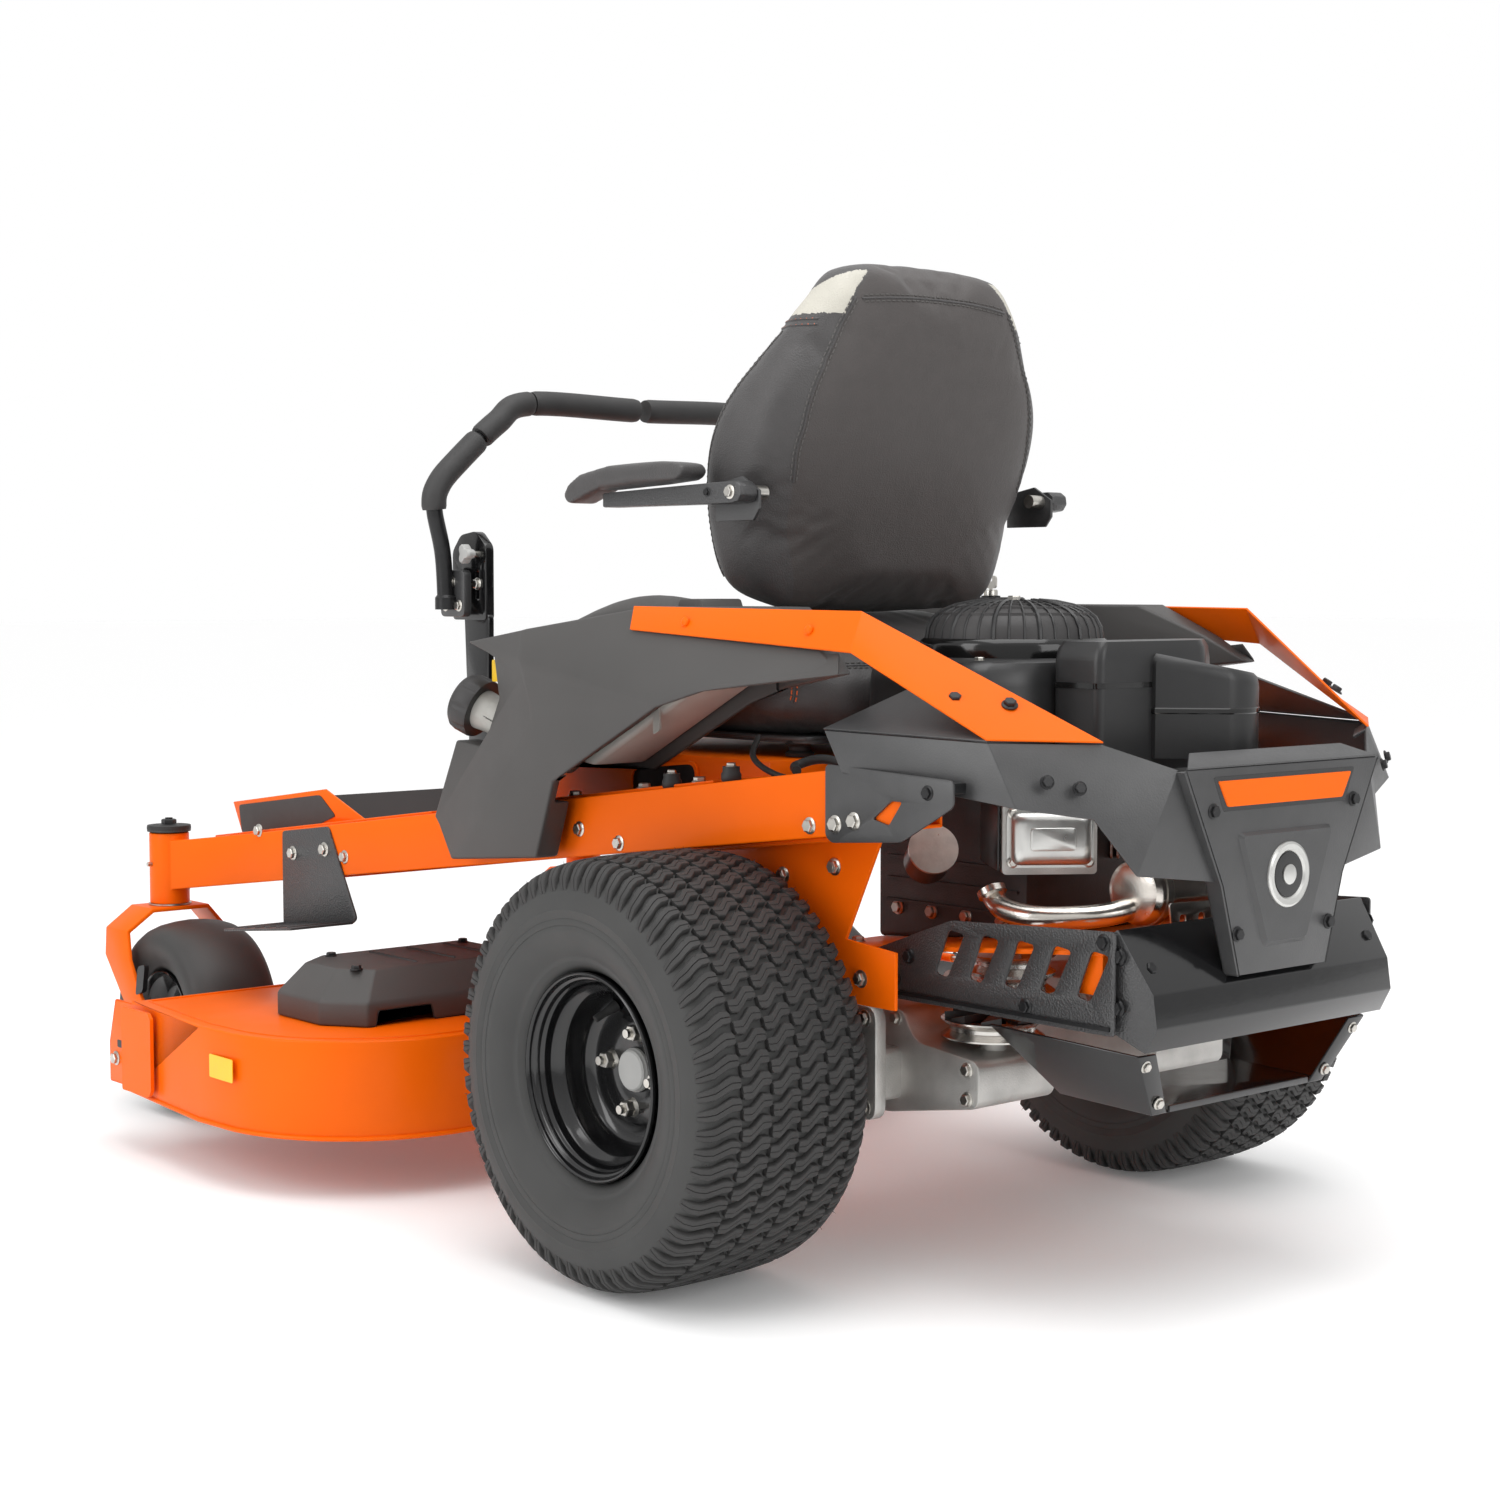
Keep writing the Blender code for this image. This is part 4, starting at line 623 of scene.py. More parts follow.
def make_casters():
    half = [(0.0815, 0.056), (0.09, 0.064), (0.1, 0.0715), (0.112, 0.0765), (0.125, 0.079), (0.137, 0.078),
            (0.147, 0.072), (0.1545, 0.061), (0.16, 0.045), (0.1632, 0.025), (0.1648, 0.0)]
    profile = [(r, -x) for r, x in half] + [(r, x) for r, x in reversed(half[:-1])]
    profile += [(0.0815, 0.04), (0.0815, -0.04)]
    pair("caster_tyre_look", turned(profile, CASTER, OUT, 96), "caster_tyre", "caster_wheel",
         replaces=("caster_tyre",), angle=60)
    edge = [
        (0.0815, 0.06), (0.0828, 0.0625), (0.0822, 0.0648), (0.08, 0.065), (0.0785, 0.063), (0.077, 0.056),
        (0.074, 0.05), (0.066, 0.046), (0.061, 0.03), (0.056, 0.024), (0.04, 0.023), (0.03, 0.03),
        (0.024, 0.042), (0.022, 0.076),
    ]
    rim = edge + [(0.012, 0.0765), (0.012, -0.0765)] + [(r, -x) for r, x in reversed(edge)]
    pair("caster_rim_look", turned(rim, CASTER, OUT, 64), "gloss_black", "caster_wheel",
         replaces=("caster_rim",), angle=50)
    for side, word in SIDES:
        body = f"caster_{word}"
        for end in (-1, 1):
            at = Vector((side * CASTER.x + end * 0.1, CASTER.y, CASTER.z))
            hex_bolt(at, (end, 0, 0), 0.0125, body, "zinc", stud=0.006 if end * side < 0 else 0)
        top = Vector((side * STEM.x, STEM.y, 0.486))
        cap = [
            (1e-5, -0.01), (0.0372, -0.01), (0.0378, -0.004), (0.0372, 0.0005), (0.03, 0.0012),
            (1e-5, 0.0012),
        ]
        add(body, "rubber", turned(cap, top, UP, 40, closed=False))
        hex_bolt(top + Vector((0, 0, 0.001)), UP, 0.0085, body, "zinc")


make_casters()

# ---------------------------------------------------------------- seat


SEAT_VOXEL, ARMREST_VOXEL = 0.0062, 0.0035
CLOTH_STEPS = 12


def vinyl_pad(name, solid, voxel, pressure, cap, looks, body, node):
    """A crowned pad: the remeshed shape swollen by cloth pressure, its points held within a cap."""
    obj = show(name, mesh_of(name, solid), looks, body, angle=60)
    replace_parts(obj, node)
    bpy.context.view_layer.objects.active = obj
    for kind, settings in (("REMESH", {"mode": "VOXEL", "voxel_size": voxel}),
                           ("SMOOTH", {"factor": 0.5, "iterations": 7})):
        modifier = obj.modifiers.new(kind, kind)
        for key, value in settings.items():
            setattr(modifier, key, value)
        apply_all(obj)
    rest = np.empty(len(obj.data.vertices) * 3)
    obj.data.vertices.foreach_get("co", rest)
    cloth = obj.modifiers.new("cloth", "CLOTH")
    cloth.settings.use_pressure = True
    cloth.settings.uniform_pressure_force = pressure
    cloth.settings.effector_weights.gravity = 0.0
    cloth.settings.tension_stiffness = 25
    cloth.settings.compression_stiffness = 25
    cloth.settings.bending_stiffness = 2.0
    cloth.settings.quality = 5
    for step in range(1, CLOTH_STEPS + 1):
        bpy.context.scene.frame_set(step)
    apply_all(obj)
    bpy.context.scene.frame_set(1)
    swollen = np.empty(len(rest))
    obj.data.vertices.foreach_get("co", swollen)
    shift = (swollen - rest).reshape(-1, 3)
    length = np.linalg.norm(shift, axis=1, keepdims=True)
    shift *= np.minimum(1.0, cap / np.maximum(length, 1e-9))
    obj.data.vertices.foreach_set("co", (rest.reshape(-1, 3) + shift).reshape(-1))
    calm = obj.modifiers.new("calm", "SMOOTH")
    calm.factor, calm.iterations = 0.5, 5
    apply_all(obj)
    obj.modifiers.new("subdivision", "SUBSURF").levels = 1
    apply_all(obj)
    obj.data.shade_smooth()
    return obj


def apply_all(obj):
    graph = bpy.context.evaluated_depsgraph_get()
    mesh = bpy.data.meshes.new_from_object(obj.evaluated_get(graph))
    obj.modifiers.clear()
    old, obj.data = obj.data, mesh
    bpy.data.meshes.remove(old)


def on_surface(obj, points, direction, reach=0.25):
    """The points carried along a direction on to the pad, as (place, normal) in machine axes."""
    hits = []
    direction = Vector(direction).normalized()
    for p in points:
        found, place, normal, _ = obj.ray_cast(
            Vector(p) + ORIGIN - direction * reach, direction, distance=2 * reach
        )
        if found:
            hits.append((place - ORIGIN, normal))
    return hits


STITCH, STITCH_GAP = 0.0055, 0.003


def seam_and_stitches(obj, route, direction, offsets, colour):
    """A sewn seam: a thin welt laid on the pad with rows of short stitches at each side of it."""
    path = on_surface(obj, smooth_path(route, 14), direction)
    if len(path) < 4:
        return
    places = [p + n * 0.0002 for p, n in path]
    add("seat", "vinyl_side", tube(places, 0.0016, 6))
    travelled, last = 0.0, places[0]
    dense = []
    for i in range(len(places) - 1):
        for k in range(8):
            t = k / 8
            dense.append((places[i].lerp(places[i + 1], t), path[i][1].lerp(path[i + 1][1], t).normalized()))
    start = None
    for place, normal in dense:
        travelled += (place - last).length
        last = place
        if start is None and travelled >= STITCH_GAP:
            start, start_normal, travelled = place, normal, 0.0
        elif start is not None and travelled >= STITCH:
            along = (place - start).normalized()
            for offset in offsets:
                across = start_normal.cross(along).normalized() * offset
                lift = start_normal * 0.0008
                add(
                    "seat", colour,
                    tube([start + across, (start + place) / 2 + across + lift, place + across], 0.00095, 5),
                )
            start, travelled = None, 0.0


def smooth_rings(table, per=5):
    """Rings of a cushion interpolated through a table of (half width, front, rear, height)."""
    rows = [Vector((a, b, c)).to_tuple() + (z,) for a, b, c, z in table]
    out = []
    for i in range(len(rows) - 1):
        p0, p1 = rows[max(i - 1, 0)], rows[i]
        p2, p3 = rows[i + 1], rows[min(i + 2, len(rows) - 1)]
        for k in range(per):
            t = k / per
            out.append([0.5 * (2 * b + (c - a) * t + (2 * a - 5 * b + 4 * c - d) * t * t
                               + (3 * b - a - 3 * c + d) * t ** 3) for a, b, c, d in zip(p0, p1, p2, p3)])
    out.append(list(rows[-1]))
    return out


def superellipse(half_width, y_front, y_rear, z, power, bulge, count=48):
    """Soft section of a seat back: flat-sided with round corners, its front face dished by bulge."""
    centre, depth = (y_front + y_rear) / 2, (y_rear - y_front) / 2
    points = []
    for k in range(count):
        t = 2 * math.pi * k / count
        c, s = math.cos(t), math.sin(t)
        x = half_width * math.copysign(abs(c) ** (2 / power), c)
        y = centre + depth * math.copysign(abs(s) ** (2 / power), s)
        if s < 0:
            y += bulge * (1 - (x / half_width) ** 2)
        points.append((x, y, z))
    return points


BACK = [
    (0.19, -0.142, -0.085, 0.872), (0.232, -0.215, -0.07, 0.902), (0.258, -0.236, -0.05, 0.98),
    (0.272, -0.23, -0.02, 1.08), (0.264, -0.196, -0.004, 1.16), (0.216, -0.142, 0.006, 1.25),
    (0.182, -0.108, 0.006, 1.303), (0.15, -0.09, -0.002, 1.338), (0.11, -0.072, -0.02, 1.347),
]
CUSHION = [
    (0.208, -0.512, -0.002, 0.7), (0.238, -0.537, 0.022, 0.725), (0.245, -0.542, 0.022, 0.77),
    (0.245, -0.54, -0.012, 0.803), (0.236, -0.53, -0.064, 0.832), (0.214, -0.5, -0.112, 0.855),
]


def make_back():
    rings = []
    for half, front, rear, z in smooth_rings(BACK):
        dish = 0.034 * math.sin(math.pi * min(1, max(0, (z - 0.88) / 0.46)))
        rings.append(superellipse(half, front, rear, z, 3.6, dish))
    back = vinyl_pad(
        "seat_back_pad", loft(rings), SEAT_VOXEL, 3.5, 0.012, ["vinyl", "vinyl_side", "cream"], "seat",
        "seat_back",
    )
    faces = back.data
    for polygon in faces.polygons:
        x, y, z = polygon.center - ORIGIN
        seam = back_seam_x(z)
        if abs(x) < seam and y > rear_mid(z):
            polygon.material_index = 0
        elif 1.272 < z < 1.296 + 0.5 * (y + 0.09) and abs(x) > seam + 0.004:
            polygon.material_index = 2
        else:
            polygon.material_index = 1
    z_row = [0.905 + 0.03 * k for k in range(14)]
    for side in (-1, 1):
        rear_seam = [(side * back_seam_x(z), 0.2, z) for z in z_row]
        seam_and_stitches(back, rear_seam, (0, -1, 0), (-0.0045, 0.0045), "thread_dark")
        contour = [(0.3 * side, -0.19, 0.915), (0.3 * side, -0.2, 0.98), (0.3 * side, -0.19, 1.06),
                   (0.3 * side, -0.16, 1.13), (0.3 * side, -0.118, 1.195), (0.3 * side, -0.08, 1.25)]
        seam_and_stitches(back, contour, (-side, 0, 0), (-0.004, 0.004), "thread_dark")
    top = [(x / 100, 0.2, 1.3 - 0.35 * (x / 100) ** 2) for x in range(-14, 15, 4)]
    seam_and_stitches(back, top, (0, -1, 0), (-0.0045, 0.0045), "thread_dark")
    for side in (-1, 1):
        for base in (1.264, 1.256):
            band = [(0.3 * side, y, base) for y in (-0.115, -0.085, -0.055, -0.025)]
            seam_and_stitches(back, band, (-side, 0, 0), (0.0,), "thread_orange")


def back_seam_x(z):
    """Half width of the rear panel of the seat back at a height."""
    levels = [0.86, 0.98, 1.08, 1.16, 1.25, 1.31, 1.35]
    widths = [0.176, 0.214, 0.226, 0.216, 0.176, 0.14, 0.1]
    return float(np.interp(z, levels, widths))


def rear_mid(z):
    return float(np.interp(z, [0.87, 0.98, 1.08, 1.25, 1.35], [-0.105, -0.095, -0.065, -0.035, -0.035]))


def make_cushion():
    rings = [superellipse(half, front, rear, z, 4.2, 0.0) for half, front, rear, z in smooth_rings(CUSHION)]
    pad = vinyl_pad("seat_cushion_pad", loft(rings), SEAT_VOXEL, 3.0, 0.01, ["vinyl_side", "vinyl"], "seat",
                    "seat_cushion")
    for side in (-1, 1):
        low = [(0.3 * side, y, 0.79 + 0.008 * math.sin(y * 9)) for y in (-0.5, -0.4, -0.3, -0.2, -0.1, -0.03)]
        seam_and_stitches(pad, low, (-side, 0, 0), (-0.0045, 0.0045), "thread_dark")
        corner = [(0.222 * side, 0.2, z) for z in (0.718, 0.74, 0.76, 0.78, 0.8)]
        seam_and_stitches(pad, corner, (0, -1, 0), (-0.004, 0.004), "thread_orange")
    rear = [(x / 100, 0.2, 0.792) for x in range(-20, 21, 5)]
    seam_and_stitches(pad, rear, (0, -1, 0), (-0.0045, 0.0045), "thread_dark")


def make_armrests():
    outline = [
        (-0.424, 1.034), (-0.419, 1.024), (-0.408, 1.0195), (-0.392, 1.024), (-0.34, 1.0405),
        (-0.26, 1.0435), (-0.165, 1.0465), (-0.152, 1.052), (-0.15, 1.062), (-0.158, 1.07), (-0.2, 1.0735),
        (-0.32, 1.0715), (-0.385, 1.062), (-0.412, 1.049),
    ]
    body = prism("X", outline, 0.2885, 0.3375)
    for side, word in SIDES:
        vinyl_pad(
            f"armrest_pad_{word}", body if side > 0 else mirror(body), ARMREST_VOXEL, 2.5, 0.003,
            ["vinyl_side"], f"armrest_{word}", f"armrest_{word}",
        )
    channel = [
        (-0.345, 1.0135), (-0.345, 1.034), (-0.1, 1.041), (-0.052, 1.0425), (-0.042, 1.036), (-0.04, 1.024),
        (-0.047, 1.0145), (-0.062, 1.0125), (-0.24, 1.013),
    ]
    pair("armrest_channel", prism("X", channel, 0.2925, 0.3235), "hammered", "armrest", bevel=0.0025)
    for side, word in reversed(SIDES):
        name = f"armrest_{word}"
        hex_bolt((side * 0.3235, -0.062, 1.0275), (side, 0, 0), 0.0075, name, "zinc")
        hex_bolt((side * 0.3235, -0.11, 1.0285), (side, 0, 0), 0.005, name, "bolt_black")
        bracket = prism("X", [(-0.13, 0.99), (-0.052, 0.99), (-0.04, 1.005), (-0.04, 1.03), (-0.075, 1.05),
                              (-0.13, 1.04)], 0.2865, 0.2915)
        piece(f"arm_bracket_{word}", bracket if side > 0 else mirror(bracket), "black",
              "seat", bevel=0.001)
        add("seat", "zinc", rod((side * 0.262, -0.062, 1.0275), (side * 0.287, -0.062, 1.0275), 0.01, 20))


make_back()
make_cushion()
make_armrests()

# ---------------------------------------------------------------- side pods and bodywork

RAIL_SLOPE = 0.1302
RAIL_FACE = 0.4004


def rail_top(y):
    """Height of the frame rails' upper face."""
    return 0.6435 + RAIL_SLOPE * y


def sheet(corners, faces, thickness, bevel_to=0.0):
    """A folded plate as a solid: panels given thickness towards the inside of their bends."""
    bm = bmesh.new()
    verts = [bm.verts.new(p) for p in corners]
    for face in faces:
        bm.faces.new([verts[i] for i in face])
    bmesh.ops.recalc_face_normals(bm, faces=bm.faces)
    bmesh.ops.solidify(bm, geom=bm.faces, thickness=thickness)
    if bevel_to:
        sharp = [e for e in bm.edges if len(e.link_faces) == 2 and e.calc_face_angle(0) > 0.3]
        bmesh.ops.bevel(
            bm, geom=sharp, offset=bevel_to, segments=3, profile=0.5, affect="EDGES", clamp_overlap=True
        )
    bm.verts.index_update()
    solid = [tuple(v.co) for v in bm.verts], [tuple(v.index for v in f.verts) for f in bm.faces]
    bm.free()
    return solid


def rounded_outline(outline, radius, steps=4):
    """Outline of two coordinates with its corners rounded."""
    out = []
    n = len(outline)
    for i in range(n):
        p, before, after = Vector(outline[i]), Vector(outline[i - 1]), Vector(outline[(i + 1) % n])
        a, b = (before - p), (after - p)
        cut_at = min(radius, a.length * 0.45, b.length * 0.45)
        start, end = p + a.normalized() * cut_at, p + b.normalized() * cut_at
        for k in range(steps + 1):
            t = k / steps
            out.append(tuple((1 - t) ** 2 * start + 2 * t * (1 - t) * p + t * t * end))
    return out


CAP_CENTRE = Vector((0.412, -0.548, 0.728))
CAP_AXIS = Vector((0.36, -0.85, 0.38)).normalized()


def make_cap():
    """Fuel cap with eight notches and a bar across its top, and the neck under it."""
    at, axis = CAP_CENTRE - CAP_AXIS * 0.012, CAP_AXIS
    first, second = side_vectors(axis)
    rings = []
    rows = [
        (0.0435, -0.008), (0.045, -0.004), (0.0445, 0.016), (0.0425, 0.0235), (0.0385, 0.0275),
        (0.03, 0.0292), (0.027, 0.027), (0.006, 0.0262), (0.0001, 0.0262),
    ]
    count = 96
    for radius, level in rows:
        row = []
        for k in range(count):
            t = 2 * math.pi * k / count
            lobe = 0.5 - 0.5 * math.cos(8 * t)
            grip = 1 - (0.055 * (lobe < 0.18) if 0.0385 < radius and level > -0.006 else 0)
            row.append(at + axis * level + radius * grip * (math.cos(t) * first + math.sin(t) * second))
        rings.append(row)
    cap = loft([[tuple(p) for p in row] for row in rings])
    bar = [
        at + axis * 0.0265 + first * a + second * b
        for a, b in ((-0.02, -0.004), (0.02, -0.004), (0.02, 0.004), (-0.02, 0.004))
    ]
    bar = loft([bar, [p + axis * 0.003 for p in bar]])
    piece("filler_cap", merged(cap, bar), "dark_plastic", "fuel_cap", angle=40, replaces=["fuel_cap"])
    neck = [(0.0275, -0.02), (0.0275, 0.006), (0.03, 0.0065), (0.03, 0.0005)]
    add("frame", "natural", turned(neck, at - axis * 0.012, axis, 40))


POD_FRONT = [(-0.664, 0.5), (-0.578, 0.577), (-0.425, 0.714)]
POD_CREASE = [(-0.521, 0.5), (-0.438, 0.594), (-0.336, 0.71), (-0.343, 0.749), (-0.371, 0.806), (-0.4, 0.88)]
POD_INSET = 0.022
HUMP_X, HUMP_Y, HUMP_RISE = 0.335, (-0.37, -0.12), 0.026


def pod_shift(y, z):
    """How far the outer face stands in, in front of the pod's two creases."""
    crease = float(np.interp(z, [p[1] for p in POD_CREASE], [p[0] for p in POD_CREASE]))
    front = float(np.interp(z, [p[1] for p in POD_FRONT], [p[0] for p in POD_FRONT]))
    front = min(front, crease - 0.045)
    return POD_INSET * min(1.0, max(0.0, (crease - y) / (crease - front)))


def make_pod(side, word):
    """The pod's shell with two soft creases across its outer face."""
    node = f"pod_{word}"
    bm = node_shell(node, -ORIGIN)
    bmesh.ops.dissolve_limit(bm, angle_limit=math.radians(1), verts=bm.verts, edges=bm.edges)
    for line in (POD_CREASE, POD_FRONT):
        for (y0, z0), (y1, z1) in zip(line, line[1:]):
            across = Vector((0, z1 - z0, y0 - y1)).normalized()
            for offset in (-0.006, 0.006):
                bmesh.ops.bisect_plane(bm, geom=[*bm.verts, *bm.edges, *bm.faces], dist=1e-5,
                                       plane_co=Vector((0, y0, z0)) + across * offset, plane_no=across)
    for vert in bm.verts:
        depth = (abs(vert.co.x) - 0.38) / 0.04
        vert.co.x -= side * pod_shift(vert.co.y, vert.co.z) * min(1.0, max(0.0, depth))
        vert.co += ORIGIN
    finish_mesh(bm, 0.004, 3, weld=False)
    mesh = bpy.data.meshes.new(node + "_look")
    bm.to_mesh(mesh)
    bm.free()
    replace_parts(show(node + "_look", mesh, "pod", NODE_BODY[node], 38), node)


def make_hump():
    """Rounded swelling on top of the left pod, behind it a small raised block."""
    rows = []
    for k in range(17):
        t = k / 16
        y = HUMP_Y[0] + (HUMP_Y[1] - HUMP_Y[0]) * t
        low = float(np.interp(y, [-0.53, -0.2, -0.14, 0.1], [0.816, 0.862, 0.87, 0.87]))
        rise = 0.004 + HUMP_RISE * math.sin(math.pi * t) ** 0.8
        rows.append(
            [
                (
                    HUMP_X + 0.052 * math.cos(a), y,
                    low + rise * max(0.0, math.sin(a)) - 0.004 * (math.sin(a) <= 0.01),
                )
                for a in [math.pi * i / 14 for i in range(15)]
            ]
        )
    piece("pod_hump", loft(rows), "pod", angle=60)
    block = prism(
        "X", rounded_outline([(-0.118, 0.868), (-0.06, 0.87), (-0.066, 0.884), (-0.11, 0.884)], 0.004), 0.3,
        0.372,
    )
    piece("pod_block", block, "pod", bevel=0.002)


def make_pods():
    for side, word in reversed(SIDES):
        make_pod(side, word)
    make_hump()
    make_cap()
    tag = prism("X", rounded_outline(rectangle(-0.505, 0.762, -0.484, 0.794), 0.003), 0.4046, 0.4056)
    add("frame", "yellow", tag)
    arch = [
        Vector((0, y, z))
        for y, z in ((-0.29, 0.632), (-0.175, 0.6865), (-0.06, 0.7415), (0.02, 0.7655), (0.246, 0.792))
    ]
    rings = []
    for point in smooth_path(arch, 6):
        y, z = point.y, point.z
        out = min(0.4545, 0.403 + 0.48 * (0.874 - z) - 0.0736 * (y + 0.165)) - 0.0015
        rings.append(
            [
                (out, y, z + 0.0002), (out - 0.002, y - 0.001, z + 0.005), (0.398, y - 0.012, z + 0.026),
                (0.397, y - 0.01, z + 0.02),
            ]
        )
    pair("pod_underside", loft(rings), "pod", angle=50)
    hex_bolt((0.386, 0.135, 0.848), (0.4, 0.2, 1), 0.0065, look="bolt_black", both=True)


def make_fenders():
    """Orange strips with rolled edges that follow the pods down to the rear guard."""
    front_u, front_l = (0.4075, -0.165, 0.8745), (0.4225, -0.155, 0.843)
    bend_u, bend_l = (0.3795, 0.256, 0.8705), (0.4045, 0.262, 0.82)
    rear_u, rear_l = (0.263, 0.549, 0.7175), (0.377, 0.467, 0.721)
    corners = [front_u, front_l, bend_l, bend_u, rear_l, rear_u]
    strip = sheet(corners, [(0, 1, 2, 3), (3, 2, 4, 5)], 0.0032, 0.0009)
    pair("fender_strip", strip, "orange", replaces=["fender"], angle=25)
    normal = (Vector(rear_l) - Vector(bend_l)).cross(Vector(rear_u) - Vector(bend_l)).normalized()
    normal = -normal if normal.z < 0 else normal
    for t, s in ((0.62, 0.72), (0.72, 0.28)):
        at = Vector(bend_u).lerp(Vector(rear_u), t).lerp(Vector(bend_l).lerp(Vector(rear_l), t), s)
        hex_bolt(at + normal * 0.003, normal, 0.0078, look="bolt_black", both=True)
    side = Vector((0.95, 0.06, 0.3)).normalized()
    for y in (-0.05, 0.18):
        at = Vector(front_u).lerp(Vector(bend_u), (y + 0.165) / 0.421) * 0.45
        at += Vector(front_l).lerp(Vector(bend_l), (y + 0.155) / 0.417) * 0.55
        dome_bolt(at + side * 0.002, side, 0.0065, look="orange", both=True)


def make_seat_base():
    """Box with a window in each flank, the bolts of its feet, and the tilting pan with its isolators."""
    dress("seat_base", "orange", 0.0016)
    window = rounded_outline([(-0.33, 0.638), (-0.185, 0.653), (-0.185, 0.612), (-0.33, 0.598)], 0.018)
    for flip in (lambda solid: solid, mirror):
        # A very dark thin sheet fills each window: painted shade standing for the unlit inside of the box.
        add("frame", "bolt_black", flip(prism("X", window, 0.2795, 0.2812)))
        rim = rounded_outline([(-0.336, 0.643), (-0.179, 0.658), (-0.179, 0.606), (-0.336, 0.592)], 0.022)
        rim_ring = [[(0.2805, y, z) for y, z in rim], [(0.2845, y, z) for y, z in rim],
                    [(0.2845, y, z) for y, z in window], [(0.2805, y, z) for y, z in window]]
        add("frame", "orange", flip(loft(rim_ring, closed=True)))
    for y in (-0.52, -0.36, -0.2, -0.08):
        hex_bolt((0.362, y, rail_top(y) + 0.0045), UP, 0.0085, look="zinc", both=True)
    pan = rounded_outline(rectangle(-0.53, -0.215, -0.03, 0.215), 0.02)
    plate = prism("Z", [(b, a) for a, b in pan], 0.6885, 0.6945)
    lip = prism("Z", [(b * 0.97, a) for a, b in pan], 0.684, 0.689)
    piece("tilt_pan", merged(plate, lip), "black", "seat_pan", bevel=0.0012, replaces=["seat_pan"])
    rows = [
        (0.012, 0.6648), (0.0195, 0.6655), (0.0205, 0.67), (0.015, 0.674), (0.015, 0.679), (0.0205, 0.683),
        (0.019, 0.688),
    ]
    for x in (-0.19, 0.19):
        for y in (-0.49, -0.07):
            add(
                "seat_pan", "rubber",
                turned([(1e-5, 0.6648), *rows, (1e-5, 0.688)], (x, y, 0), UP, 24, closed=False),
            )
    rail_outline = rounded_outline(rectangle(-0.5, 0.6955, -0.06, 0.7045), 0.003)
    for x in (-0.15, 0.15):
        add("seat", "bolt_black", prism("X", rail_outline, x - 0.014, x + 0.014))


def make_cables():
    """Hoses and cables held between the pod, the seat base and the engine tray."""
    hose = smooth_path([(0.285, 0.03, 0.655), (0.262, 0.005, 0.66), (0.235, 0.04, 0.668), (0.215, 0.13, 0.64),
                        (0.205, 0.2, 0.61)], 8)
    add("frame", "rubber", tube(hose, 0.0065, 14), True)
    cable = smooth_path(
        [(0.3, -0.03, 0.7), (0.318, -0.02, 0.672), (0.322, 0.03, 0.652), (0.3, 0.09, 0.64)], 8
    )
    add("frame", "rubber", tube(cable, 0.0042, 12), True)
    isolator = [
        (1e-5, 0), (0.012, 0.0), (0.0135, 0.003), (0.0135, 0.01), (0.0115, 0.0135), (0.0115, 0.02),
        (1e-5, 0.02),
    ]
    for y in (-0.125, 0.0):
        add("frame", "rubber", turned(isolator, (0.374, y, rail_top(y)), UP, 24, closed=False), True)
        hex_bolt((0.374, y, rail_top(y) + 0.02), UP, 0.006, look="zinc", both=True)


make_pods()
make_fenders()
make_seat_base()
make_cables()

# ---------------------------------------------------------------- rear guards


PLATE_Y = 0.61
MEDALLION = (0, PLATE_Y, 0.547)


def inset_outline(outline, by):
    """Outline of two coordinates drawn in towards its centre by a distance."""
    cx, cz = sum(p[0] for p in outline) / len(outline), sum(p[1] for p in outline) / len(outline)
    out = []
    for x, z in outline:
        away = math.hypot(x - cx, z - cz)
        out.append((cx + (x - cx) * (1 - by / away), cz + (z - cz) * (1 - by / away)))
    return out


def raised_panel(axis, outline, base, height, edge):
    """A pressed panel with sloping sides."""
    along, first, second = AXES[axis]
    rings = []
    for level, by in ((base, 0.0), (base + height, edge)):
        row = []
        for a, b in inset_outline(outline, by):
            point = [0, 0, 0]
            point[along], point[first], point[second] = level, a, b
            row.append(tuple(point))
        rings.append(row)
    return loft(rings)


